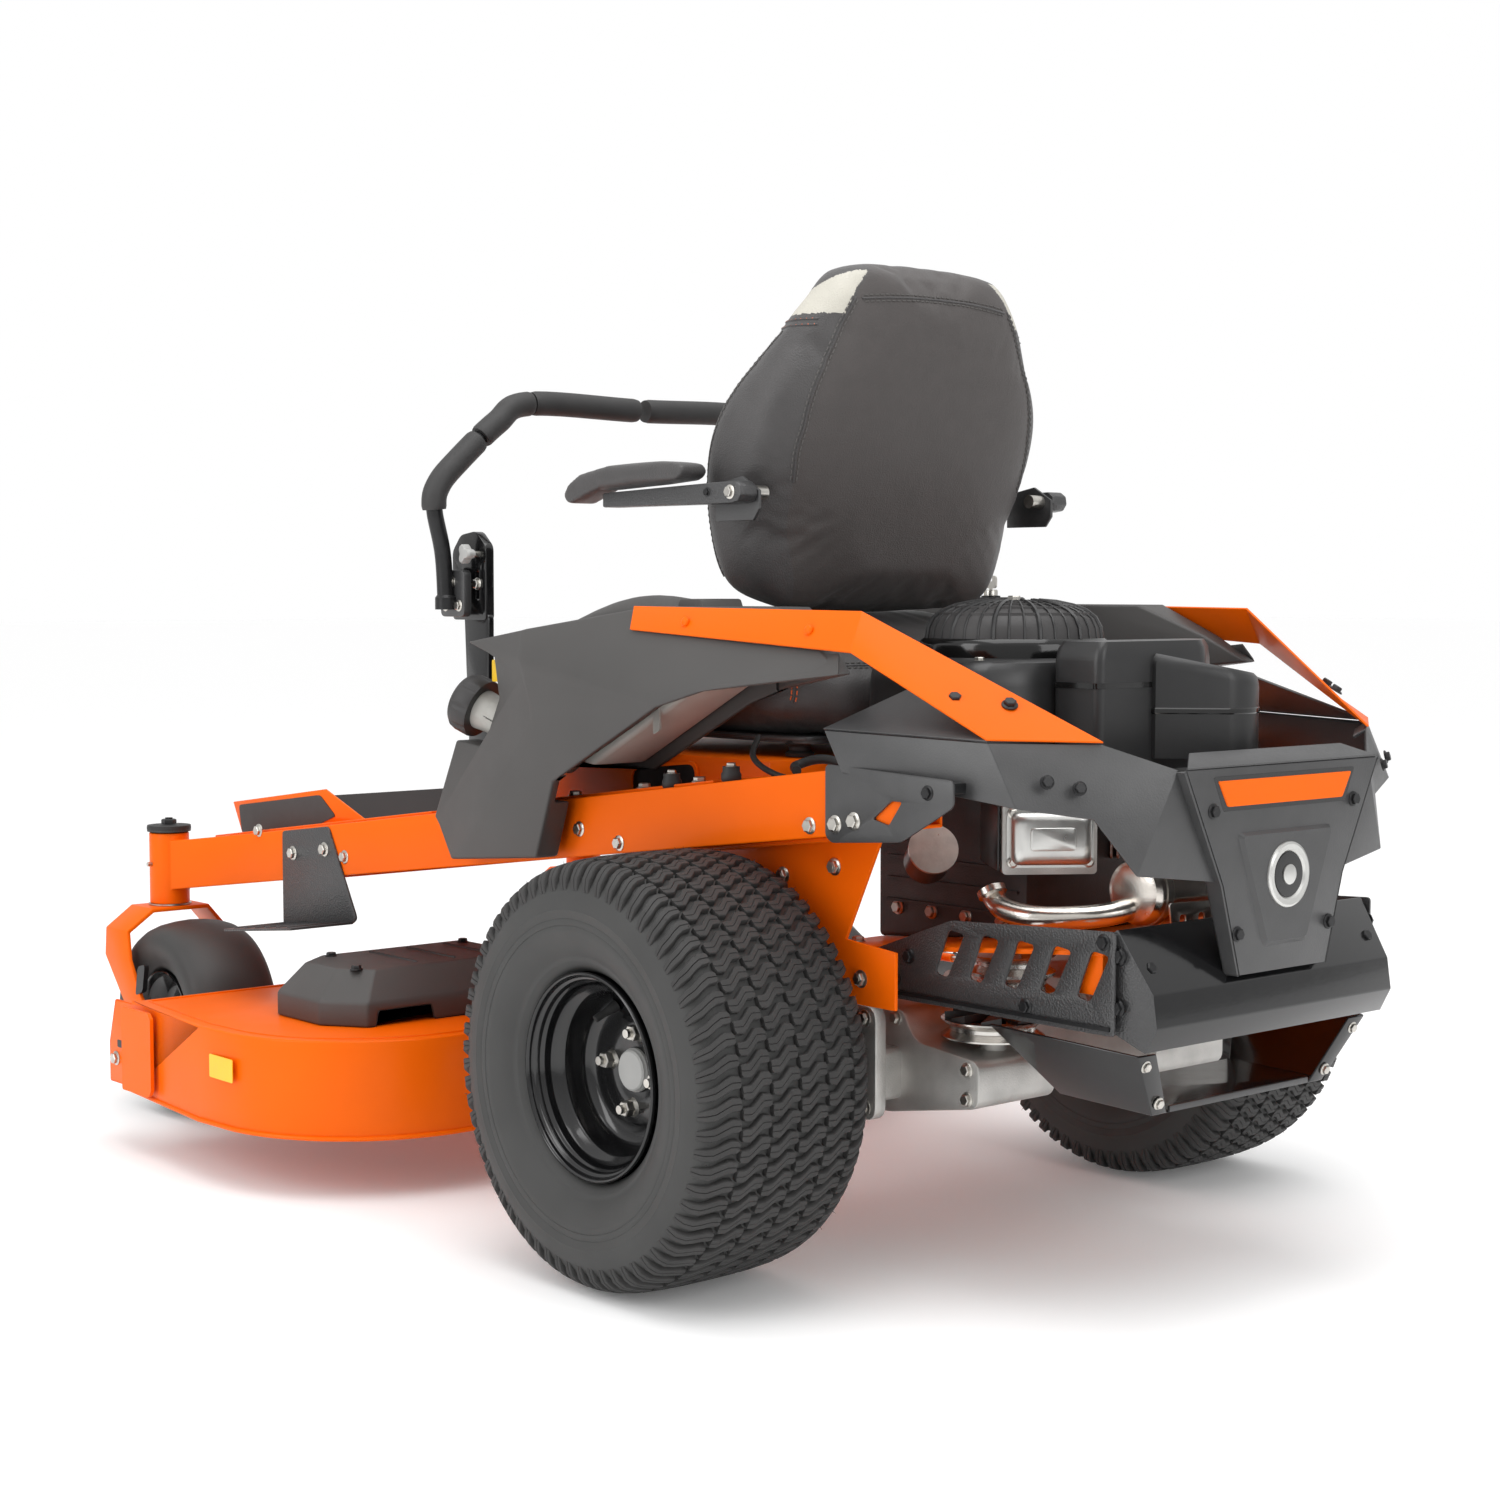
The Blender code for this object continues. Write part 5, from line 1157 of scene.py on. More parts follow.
def make_rear_plate():
    outline = [
        (-0.189, 0.683), (-0.118, 0.541), (-0.085, 0.429), (0.085, 0.429), (0.118, 0.541), (0.189, 0.683)
    ]
    skin = prism("Y", outline, PLATE_Y, PLATE_Y + 0.004)
    flanks = []
    for side in (-1, 1):
        edge = [(side * x, PLATE_Y + 0.003, z) for x, z in ((0.189, 0.683), (0.118, 0.541), (0.085, 0.429))]
        back = [
            (side * x, y, z)
            for x, y, z in ((0.187, 0.586, 0.681), (0.124, 0.592, 0.545), (0.089, 0.594, 0.429))
        ]
        flanks.append(sheet(edge + back, [(0, 1, 4, 3), (1, 2, 5, 4)], 0.003, 0.0008))
    lip = sheet(
        [(-0.188, 0.612, 0.6825), (0.188, 0.612, 0.6825), (0.15, 0.583, 0.698), (-0.15, 0.583, 0.698)],
        [(0, 1, 2, 3)], 0.004,
    )
    piece("rear_plate", merged(skin, lip, *flanks), "black", bevel=0.0012, replaces=["rear_guard"])
    apron = rounded_outline([(-0.094, 0.604), (-0.042, 0.46), (0.042, 0.46), (0.094, 0.604)], 0.008)
    piece("rear_plate_boss", raised_panel("Y", apron, PLATE_Y + 0.0035, 0.0062, 0.007), "black", angle=25)
    badge = rounded_outline([(-0.115, 0.636), (-0.133, 0.668), (0.133, 0.668), (0.115, 0.636)], 0.003)
    piece("rear_badge", raised_panel("Y", badge, PLATE_Y + 0.0036, 0.0028, 0.002), "orange", angle=25)
    frame_line = rounded_outline(
        [(-0.122, 0.6305), (-0.1415, 0.6735), (0.1415, 0.6735), (0.122, 0.6305)], 0.004
    )
    piece(
        "rear_badge_bed", raised_panel("Y", frame_line, PLATE_Y + 0.003, 0.0018, 0.002), "gloss_black",
        angle=25,
    )
    disc = [
        (1e-5, 0.0095), (0.028, 0.0095), (0.029, 0.0105), (0.031, 0.0125), (0.0375, 0.013),
        (0.0405, 0.0115), (0.0415, 0.0085), (0.0415, 0.004),
    ]
    medallion = turned(disc[::-1], MEDALLION, REAR, 72, closed=False)
    piece("rear_medallion", medallion, "silver", angle=28)
    inner = turned([(0.0275, 0.008), (0.0275, 0.0108), (0.02, 0.0112), (1e-5, 0.0112)], MEDALLION, REAR,
                   64, closed=False)
    piece("rear_medallion_inlay", inner, "gloss_black", angle=28)
    hub = turned([(0.0125, 0.01), (0.0125, 0.0128), (0.011, 0.0134), (1e-5, 0.0134)], MEDALLION,
                 REAR, 48, closed=False)
    add("frame", "silver", hub)
    for x, z in ((0.101, 0.48), (0.155, 0.632)):
        hex_bolt((x * 0.9, PLATE_Y + 0.004, z), REAR, 0.0075, look="bolt_black", both=True)


def make_wings():
    """Folded side guards with softened bends, a return along their lower edge and bolted gussets."""
    tip_u, tip_l = (0.4065, 0.217, 0.722), (0.4065, 0.249, 0.671)
    fold_u, fold_l = (0.374, 0.467, 0.7165), (0.369, 0.508, 0.641)
    mid_l, low = (0.279, 0.549, 0.626), (0.242, 0.585, 0.559)
    top, tuck_u, tuck_l = (0.188, 0.6, 0.683), (0.128, 0.6065, 0.64), (0.122, 0.6065, 0.545)
    end_u = (0.261, 0.546, 0.714)
    ledge_a, ledge_b = (0.352, 0.462, 0.706), (0.25, 0.532, 0.703)
    corners = [tip_u, tip_l, fold_l, fold_u, mid_l, low, end_u, top, tuck_u, tuck_l, ledge_a, ledge_b]
    faces = [(0, 1, 2, 3), (3, 2, 4, 6), (6, 4, 5, 7), (7, 5, 9, 8), (3, 6, 11, 10)]
    skin = sheet(corners, faces, 0.0035, 0.0011)
    shoulder = sheet([tip_u, fold_u, (0.33, 0.3, 0.775)], [(0, 1, 2)], 0.0035, 0.0009)
    pair("guard_wing_skin", merged(skin, shoulder), "black", replaces=["guard_wing"], angle=25, weld=False)
    outline = rounded_outline([(0.217, 0.68), (0.217, 0.59), (0.228, 0.582), (0.352, 0.592), (0.44, 0.64),
                               (0.44, 0.672)], 0.008)
    slot = rounded_outline([(0.303, 0.617), (0.335, 0.641), (0.354, 0.641), (0.331, 0.611)], 0.004)
    plate = holed_plate("X", outline, [slot], RAIL_FACE, RAIL_FACE + 0.004)
    pair("guard_gusset", plate, "black", bevel=0.0008, weld=True)
    tie = prism("X", rounded_outline(rectangle(0.4, 0.655, 0.436, 0.668), 0.002), 0.371, 0.4035)
    add("frame", "bolt_black", tie, True)
    for y, z in ((0.236, 0.606), (0.27, 0.612)):
        hex_bolt((RAIL_FACE + 0.004, y, z), OUT, 0.0088, look="zinc", both=True)
    hex_bolt((RAIL_FACE + 0.004, 0.398, 0.655), OUT, 0.0072, look="bolt_black", both=True)
    for at in ((0.335, 0.5255, 0.672), (0.3, 0.545, 0.664)):
        hex_bolt(at, (0.45, 0.85, 0.25), 0.0068, look="bolt_black", both=True)


def holed_plate(axis, outline, holes, low, high):
    """A flat plate with holes through it, filled between its outline and the holes."""
    along, first, second = AXES[axis]
    bm = bmesh.new()
    edges = []
    for loop in [outline, *holes]:
        verts = []
        for a, b in loop:
            point = [0, 0, 0]
            point[along], point[first], point[second] = low, a, b
            verts.append(bm.verts.new(point))
        edges += [bm.edges.new((verts[i - 1], verts[i])) for i in range(len(verts))]
    bmesh.ops.triangle_fill(bm, edges=edges, use_beauty=True, use_dissolve=False)
    flat = list(bm.faces)
    extruded = bmesh.ops.extrude_face_region(bm, geom=flat)["geom"]
    shift = [0, 0, 0]
    shift[along] = high - low
    bmesh.ops.translate(bm, vec=shift, verts=[v for v in extruded if isinstance(v, bmesh.types.BMVert)])
    bm.normal_update()
    doubled = [f for f in flat if f.is_valid and all(len(e.link_faces) > 2 for e in f.edges)]
    if doubled:
        bmesh.ops.delete(bm, geom=doubled, context="FACES_ONLY")
    bm.verts.index_update()
    solid = [tuple(v.co) for v in bm.verts], [tuple(v.index for v in f.verts) for f in bm.faces]
    bm.free()
    return solid


def make_bumper():
    """Folded bumper: glossy upper facet, hammered ends, flange bolts."""
    rows = [(0.555, 0.493), (0.604, 0.419), (0.61, 0.379), (0.593, 0.348)]
    widths = [0.242, 0.234, 0.234, 0.235]
    corners = [(s * w, y, z) for (y, z), w in zip(rows, widths) for s in (-1, 1)]
    faces = [(2 * k, 2 * k + 1, 2 * k + 3, 2 * k + 2) for k in range(3)]
    skin = sheet(corners, faces, 0.0036, 0.0016)
    piece("bumper_skin", skin, "gloss_black", replaces=["bumper"], angle=25)
    for side, word in reversed(SIDES):
        ends = [(side * w, y, z) for (y, z), w in zip(rows, widths)]
        ends += [(side * 0.247, 0.545, 0.372), (side * 0.247, 0.545, 0.485)]
        piece(f"bumper_end_{word}", sheet(ends, [(0, 1, 2, 3, 4, 5)], 0.0036, 0.0012),
              "hammered", angle=25)
    for y, z in ((0.56, 0.4), (0.56, 0.462)):
        hex_bolt((0.2465, y, z), OUT, 0.0085, look="bolt_black", both=True)
    hex_bolt((0.215, 0.582, 0.446), (0, 0.83, 0.55), 0.0075, look="bolt_black", both=True)


def make_grilles():
    outline = rounded_outline(
        [(0.11, 0.412), (0.29, 0.478), (0.562, 0.492), (0.562, 0.366), (0.11, 0.366)], 0.006
    )
    slots = []
    for k in range(5):
        y = 0.262 + 0.06 * k
        slots.append(
            rounded_outline([(y, 0.408), (y + 0.022, 0.404), (y + 0.052, 0.462), (y + 0.024, 0.466)], 0.007)
        )
    pair(
        "grille_plate", holed_plate("X", outline, slots, 0.2515, 0.255), "hammered", replaces=["grille"],
        bevel=0.0007,
    )
    for y, z in ((0.215, 0.424), (0.19, 0.392), (0.42, 0.385), (0.545, 0.478)):
        hex_bolt((0.255, y, z), OUT, 0.0078, look="bolt_black", both=True)
    rib = rectangle(0.12, 0.372, 0.556, 0.377)
    add("frame", "bolt_black", prism("X", rib, 0.2545, 0.2575), True)


def make_lower_guard():
    half_rows = [(0.246, 0.35, 0.352), (0.17, 0.4, 0.262), (0.17, 0.55, 0.258), (0.226, 0.575, 0.34),
                 (0.142, 0.55, 0.258), (0.192, 0.575, 0.34)]
    corners = [(side * x, y, z) for x, y, z in half_rows for side in (-1, 1)]
    faces = [(0, 2, 4, 6), (1, 3, 5, 7), (4, 6, 10, 8), (5, 7, 11, 9), (2, 3, 5, 9, 8, 4)]
    skin = sheet(corners, faces, 0.003, 0.0012)
    piece("belly_guard", skin, "gloss_black", replaces=["lower_guard"], angle=25)
    lip = box((-0.138, 0.548, 0.2585), (0.138, 0.552, 0.2665))
    piece("belly_guard_lip", lip, "black", bevel=0.001)
    for x, y, z in ((0.206, 0.57, 0.326), (0.166, 0.557, 0.274)):
        hex_bolt((x, y, z), (0, 0.96, -0.28), 0.0062, look="zinc", both=True)


make_rear_plate()
make_wings()
make_bumper()
make_grilles()
make_lower_guard()

# ---------------------------------------------------------------- engine


CRANK_Y, BANK = 0.156, math.radians(36)
SILENCER = (0, 0.48, 0.522)
OIL_FILTER, FILTER_AXIS = (0.205, 0.2, 0.548), (0.55, 0.75, 0.35)
PULLEY_X, PULLEY_Y = 0.172, 0.285


def cradle_top(y):
    """Height of the engine cradle's upper face."""
    return 0.4152 + 0.0946 * y


def make_shroud():
    plan = rounded_outline([(0.18, 0.045), (0.2, 0.2), (0.235, 0.3), (0.17, 0.34), (-0.17, 0.34),
                            (-0.235, 0.3), (-0.2, 0.2), (-0.18, 0.045)], 0.03, 6)

    def level(z, by):
        return [(x * (1 - by), 0.18 + (y - 0.18) * (1 - by), z) for x, y in plan]

    shell = loft(
        [
            level(0.6415, 0.0), level(0.7, 0.0), level(0.704, -0.006), level(0.712, -0.006),
            level(0.716, 0.0), level(0.772, 0.004), level(0.792, 0.02), level(0.803, 0.055),
            level(0.806, 0.11),
        ]
    )
    piece("blower_housing", shell, "shroud", replaces=["engine_shroud"], angle=40)
    centre = (0, CRANK_Y, 0)
    base = [(0.1295, 0.796), (0.1295, 0.822), (0.1275, 0.828), (0.1235, 0.831), (0.11, 0.831)]
    piece("screen_base", turned(base, centre, UP, 96, closed=False), "gloss_plastic", angle=35)
    dome = [(0.121, 0.829), (0.1185, 0.845), (0.1115, 0.858), (0.099, 0.8675), (0.082, 0.874), (0.06, 0.8785),
            (0.035, 0.8805), (1e-5, 0.881)]
    piece("screen_dome", turned(dome, centre, UP, 96, closed=False), "dark_plastic", angle=60)
    for k in range(1, 7):
        radius = 0.121 - 0.017 * k
        z = float(
            np.interp(
                radius, [0.035, 0.06, 0.082, 0.099, 0.1115, 0.1185],
                [0.8805, 0.8785, 0.874, 0.8675, 0.858, 0.845],
            )
        )
        band = [(radius - 0.0022, z - 0.002), (radius - 0.0018, z + 0.0022), (radius + 0.0018, z + 0.002),
                (radius + 0.0024, z - 0.002)]
        add("frame", "dark_plastic", turned(band, centre, UP, 72))
    for k in range(36):
        t = 2 * math.pi * k / 36
        spine = [(math.cos(t) * r, CRANK_Y + math.sin(t) * r, z + 0.0008) for r, z in dome[:-1]]
        add("frame", "shroud", tube(spine, 0.0018 if k % 3 else 0.0034, 6))
    hex_bolt((0, CRANK_Y, 0.8805), UP, 0.009, look="zinc")
    ridge = smooth_path(
        [(0.196, 0.09, 0.795), (0.206, 0.2, 0.778), (0.228, 0.288, 0.744), (0.176, 0.338, 0.726)], 6
    )
    add("frame", "shroud", tube(ridge, 0.0035, 8), True)
    for x, y in ((0.15, 0.075), (0.185, 0.27)):
        hex_bolt((x, y, 0.8045), UP, 0.0065, look="zinc", both=True)


def make_air_cleaner():
    front, rear = 0.3425, 0.424
    plan = rounded_outline(
        [(-0.154, front), (0.127, front), (0.127, rear), (-0.079, rear), (-0.149, 0.375)], 0.012, 4
    )

    def level(points, z, by=0.0, cx=0.0, cy=0.385):
        return [(cx + (x - cx) * (1 - by), cy + (y - cy) * (1 - by), z) for x, y in points]

    housing = loft(
        [level(plan, 0.666), level(plan, 0.806), level(plan, 0.822, 0.03), level(plan, 0.831, 0.09)]
    )
    piece("air_cleaner_box", housing, "shroud", replaces=["air_cleaner"], angle=35)
    lid = loft([level(plan, 0.772, -0.012), level(plan, 0.779, -0.012)])
    add("frame", "gloss_plastic", lid)
    intake = [(-0.124, 0.4), (0.028, 0.4), (0.028, 0.43)] + arc((-0.062, 0.446), 0.0615, 60, 180, 14)
    fall = 0.18

    def cut_top(by, dz):
        return [(-0.05 + (x + 0.05) * (1 - by), 0.44 + (y - 0.44) * (1 - by),
                 0.812 + dz - fall * ((0.02 - x) * 0.758 + (y - 0.44) * 0.651)) for x, y in intake]

    shape = loft(
        [[(x, y, 0.681) for x, y in intake], cut_top(0, -0.016), cut_top(0.03, -0.005), cut_top(0.1, 0.0)]
    )
    piece("intake_box", shape, "shroud", angle=35)
    seam = [[(-0.05 + (x + 0.05) * s, 0.44 + (y - 0.44) * s, z) for x, y in intake] for s, z in
            ((1.0, 0.738), (1.018, 0.7395), (1.018, 0.7445), (1.0, 0.746))]
    add("frame", "gloss_plastic", loft(seam))


def make_block():
    """Crankcase, finned cylinders, cooling baffles and valve covers."""
    low = cradle_top(0.02) + 0.001
    base = rounded_outline(
        [(0.022, low), (0.298, 0.4436), (0.298, 0.628), (0.262, 0.638), (0.022, 0.638)], 0.008
    )
    piece("crankcase", prism("X", base, -0.124, 0.124), "cast_dark", replaces=["engine_block"], bevel=0.003)
    for z in (0.47, 0.5, 0.53):
        add("frame", "cast_dark", box((-0.128, 0.04, z), (0.128, 0.285, z + 0.004)))
    for k in range(4):
        hex_bolt((0.125, 0.06 + 0.065 * k, 0.462), OUT, 0.008, look="zinc", both=True)
    for side, word in reversed(SIDES):
        axis = Vector((side * math.sin(BANK), math.cos(BANK), 0))
        across = Vector((axis.y, -axis.x, 0))
        up = Vector(UP)
        start = Vector((0, CRANK_Y, 0.585)) + axis * 0.1

        def slab(a, b, c, d, lo, hi):
            """Rounded block along the cylinder, from a to b, half width c to d and z lo to hi."""
            rim = rounded_outline(rectangle(-c, lo, d, hi), 0.006)
            return loft([[tuple(start + axis * s + across * u + up * v) for u, v in rim] for s in (a, b)])

        fins = merged(
            *[
                slab(s, s + 0.0028, 0.058, 0.058, -0.048, 0.042)
                for s in [0.03 + 0.0085 * k for k in range(12)]
            ]
        )
        core = slab(0.0, 0.148, 0.046, 0.046, -0.036, 0.032)
        head = slab(0.136, 0.153, 0.061, 0.061, -0.05, 0.043)
        piece(f"cylinder_{word}", merged(core, fins, head), "cast", weld=False)
        rows = [
            (0.1535, 0.0), (0.1565, 0.0), (0.1565, 0.004), (0.168, 0.0045), (0.1745, 0.009), (0.1765, 0.016)
        ]
        rims = []
        for s, by in rows:
            rim = rounded_outline(rectangle(-0.056 + by, -0.041 + by, 0.056 - by, 0.036 - by), 0.012, 5)
            rims.append([tuple(start + axis * s + across * u + up * v) for u, v in rim])
        piece(f"valve_cover_{word}", loft(rims), "silver", angle=40)
        rim = rounded_outline(rectangle(-0.03, -0.018, 0.03, 0.012), 0.006)
        panel = [[tuple(start + axis * s + across * (u * q) + up * (v * q)) for u, v in rim]
                 for s, q in ((0.1755, 1.0), (0.1785, 0.97), (0.179, 0.92))]
        add("frame", "silver", loft(panel))
        for u in (-0.049, 0.049):
            for v in (-0.034, 0.029):
                hex_bolt(start + axis * 0.16 + across * u + up * v, axis, 0.0052, look="zinc")
        baffle = [(-0.066, -0.046), (-0.066, 0.047), (0.066, 0.047), (0.066, 0.03)]
        inner = [(0.063, 0.03), (0.063, 0.044), (-0.063, 0.044), (-0.063, -0.046)]
        flip = -side
        skin = [
            [tuple(start + axis * s + across * u * flip + up * v) for u, v in baffle + inner]
            for s in (0.02, 0.145)
        ]
        piece(f"cooling_baffle_{word}", loft(skin), "shroud", bevel=0.0012)
        lead = smooth_path([start + axis * 0.15 + up * 0.036 + across * 0.02 * flip,
                            start + axis * 0.158 + up * 0.052 + across * 0.02 * flip,
                            start + axis * 0.12 + up * 0.062, start + axis * 0.06 + up * 0.06], 8)
        add("frame", "rubber", tube(lead, 0.0052, 12))
    oil_filter = [(1e-5, -0.03), (0.026, -0.03), (0.03, -0.026), (0.03, 0.03), (0.032, 0.033), (0.032, 0.038),
                  (1e-5, 0.038)]
    add("frame", "shroud", turned(oil_filter, OIL_FILTER, FILTER_AXIS, 40, closed=False))
    add(
        "frame", "zinc",
        turned(
            [(0.0325, 0.0365), (0.0325, 0.0425), (0.01, 0.0425)], OIL_FILTER, FILTER_AXIS, 40, closed=False
        ),
    )


def make_exhaust():
    route = smooth_path(
        [
            (0.212, 0.318, 0.518), (0.214, 0.33, 0.503), (0.224, 0.362, 0.494), (0.214, 0.412, 0.49),
            (0.16, 0.462, 0.494), (0.1, 0.48, 0.506),
        ],
        8,
    )
    silencer = [
        (1e-5, -0.15), (0.03, -0.15), (0.038, -0.147), (0.042, -0.14), (0.0432, -0.137), (0.0432, -0.133),
        (0.0418, -0.131), (0.0418, 0.111), (0.0432, 0.113), (0.0432, 0.117), (0.042, 0.12), (0.038, 0.127),
        (0.03, 0.13), (1e-5, 0.13),
    ]
    body = turned(silencer, SILENCER, OUT, 56, closed=False)
    piece("exhaust_pipe", tube(route, 0.0148, 28), "pipe", replaces=["exhaust"])
    piece("silencer", body, "pipe", angle=30)
    add("frame", "pipe", turned([(0.019, -0.004), (0.019, 0.004), (0.014, 0.004), (0.014, -0.004)],
                                (0.2125, 0.321, 0.514), (0.05, 0.5, -0.8), 32))
    for x in (-0.145, 0.1):
        strap = [(0.0445, x), (0.0445, x + 0.012), (0.0428, x + 0.012), (0.0428, x)]
        add("frame", "zinc", turned(strap, SILENCER, OUT, 48))
    holes = [rounded_outline(rectangle(a, 0.484, a + 0.012, 0.496), 0.005) for a in (0.014, 0.05, 0.086)]
    bracket = rounded_outline([(0.0, 0.474), (0.112, 0.474), (0.118, 0.512), (0.012, 0.508)], 0.006)
    piece("exhaust_bracket", holed_plate("Y", bracket, holes, 0.528, 0.531), "zinc", bevel=0.0006)


def make_cradle():
    dress("engine_cradle", "orange", 0.0014)
    for x in (-0.2, 0.2):
        for y in (0.06, 0.5):
            hex_bolt((x, y, cradle_top(y)), UP, 0.0085, look="zinc")
    for y, z in ((0.0, 0.4), (0.2, 0.4), (0.05, 0.52), (0.15, 0.54)):
        hex_bolt((0.3262, y, z), OUT, 0.009, look="zinc", both=True, stud=0.002)


def make_transaxle():
    centre = (0, 0, 0.2794)
    outline = rounded_outline([(-0.08, 0.225), (-0.08, 0.335), (0.06, 0.352), (0.19, 0.352), (0.215, 0.312),
                               (0.33, 0.3), (0.33, 0.24), (0.16, 0.21)], 0.016, 5)
    case = prism("X", outline, 0.101, 0.244)
    housing = turned(
        [
            (0.0375, 0.244), (0.0375, 0.3), (0.034, 0.306), (0.034, 0.372), (0.038, 0.374), (0.038, 0.3825),
            (1e-5, 0.3825),
        ],
        centre, OUT, 48, closed=False,
    )
    flange = prism("X", rounded_outline(rectangle(-0.055, 0.212, 0.205, 0.361), 0.02, 5), 0.285, 0.305)
    tie = rod((0.001, 0.185, 0.232), (0.24, 0.185, 0.232), 0.0158, 32)
    boss = rod((PULLEY_X, PULLEY_Y, 0.29), (PULLEY_X, PULLEY_Y, 0.322), 0.018, 24)
    arm = prism("X", rounded_outline(rectangle(0.12, 0.232, 0.19, 0.3), 0.01), 0.24, 0.29)
    pair("transaxle_case", merged(case, flange, arm), "cast", replaces=["transaxle"], bevel=0.003, weld=False)
    pair("axle_housing", merged(housing, tie, boss), "cast", angle=30, weld=False)
    for k in range(7):
        y = -0.055 + 0.03 * k
        add("frame", "cast", box((0.115, y, 0.226 - 0.06 * max(0, y)), (0.235, y + 0.004, 0.345)), True)
    for y, z in (
        (-0.065, 0.24), (-0.065, 0.322), (0.055, 0.338), (0.18, 0.338), (0.31, 0.288), (0.31, 0.25),
        (0.15, 0.224),
    ):
        hex_bolt((0.2445, y, z), OUT, 0.0075, look="zinc", both=True)
    for y, z in ((-0.035, 0.345), (0.185, 0.345), (-0.035, 0.228), (0.185, 0.228)):
        hex_bolt((0.3055, y, z), OUT, 0.0085, look="zinc", both=True)
    sheave = [
        (0.02, 0.3205), (0.067, 0.3205), (0.0675, 0.3225), (0.056, 0.33), (0.056, 0.3345), (0.0675, 0.342),
        (0.067, 0.344), (0.05, 0.344), (0.046, 0.337), (0.026, 0.337), (0.02, 0.344),
    ]
    add("frame", "machined", turned(sheave, (PULLEY_X, PULLEY_Y, 0), UP, 64), True)
    hex_bolt((PULLEY_X, PULLEY_Y, 0.337), UP, 0.01, look="zinc", both=True)
    fan = [(0.01, -0.006), (0.06, -0.016), (0.062, 0.01), (0.012, 0.006)]
    for k in range(8):
        t = 2 * math.pi * k / 8
        blade = [
            (PULLEY_X + x * math.cos(t) - y * math.sin(t), PULLEY_Y + x * math.sin(t) + y * math.cos(t))
            for x, y in fan
        ]
        lofted = loft(
            [
                [(x, y, 0.3445) for x, y in blade],
                [(x, y, 0.3475 + 0.006 * (i in (2, 3))) for i, (x, y) in enumerate(blade)],
            ]
        )
        add("frame", "dark_plastic", lofted, True)


def make_crankshaft():
    at = (0, CRANK_Y, 0)
    rows = [
        (0.014, 0.331), (0.014, 0.345), (0.06, 0.345), (0.0608, 0.347), (0.048, 0.3555), (0.048, 0.3605),
        (0.0608, 0.369), (0.0608, 0.373), (0.048, 0.3815), (0.048, 0.3865), (0.0608, 0.395), (0.06, 0.397),
        (0.014, 0.397), (0.014, 0.69), (0.094, 0.69), (0.094, 0.7), (0.014, 0.7), (0.0138, 0.85),
    ]
    piece(
        "crank_and_pulley", turned([(1e-5, 0.331), *rows, (1e-5, 0.85)], at, UP, 64, closed=False),
        "machined", "crankshaft", angle=30, replaces=["crankshaft"],
    )
    for k in range(12):
        t = 2 * math.pi * k / 12
        a, b = Vector((math.cos(t), math.sin(t), 0)), Vector((-math.sin(t), math.cos(t), 0))
        foot = [
            Vector(at) + a * r + b * w
            for r, w in ((0.04, -0.002), (0.092, 0.01), (0.092, 0.013), (0.04, 0.001))
        ]
        add("crankshaft", "dark_plastic", loft([[p + Vector((0, 0, z)) for p in foot] for z in (0.7, 0.735)]))
    hex_bolt((0, CRANK_Y, 0.332), (0, 0, -1), 0.01, "crankshaft", "zinc")


make_shroud()
make_air_cleaner()
make_block()
make_exhaust()
make_cradle()
make_transaxle()
make_crankshaft()

# ---------------------------------------------------------------- controls


GRIP_R, TUBE_R = 0.019, 0.0125
CONSOLE_X, CONSOLE_TOP = -0.352, 0.884
LEVER_PIVOT = (0.3305, -0.64, 0.52)
LAP_ROUTE = [(0.372, -0.675, 0.868), (0.377, -0.675, 0.95), (0.392, -0.675, 1.02), (0.384, -0.674, 1.055),
             (0.35, -0.672, 1.092), (0.28, -0.67, 1.152), (0.22, -0.669, 1.184), (0.008, -0.669, 1.183)]


def along(route, lo, hi, count):
    """Evenly spaced points of a polyline between two shares of its length."""
    spots = [Vector(p) for p in route]
    lengths = [0.0]
    for a, b in zip(spots, spots[1:]):
        lengths.append(lengths[-1] + (b - a).length)
    out = []
    for k in range(count + 1):
        target = lengths[-1] * (lo + (hi - lo) * k / count)
        i = min(max(int(np.searchsorted(lengths, target)), 1), len(spots) - 1)
        t = (target - lengths[i - 1]) / max(lengths[i] - lengths[i - 1], 1e-9)
        out.append(spots[i - 1].lerp(spots[i], min(max(t, 0), 1)))
    return out


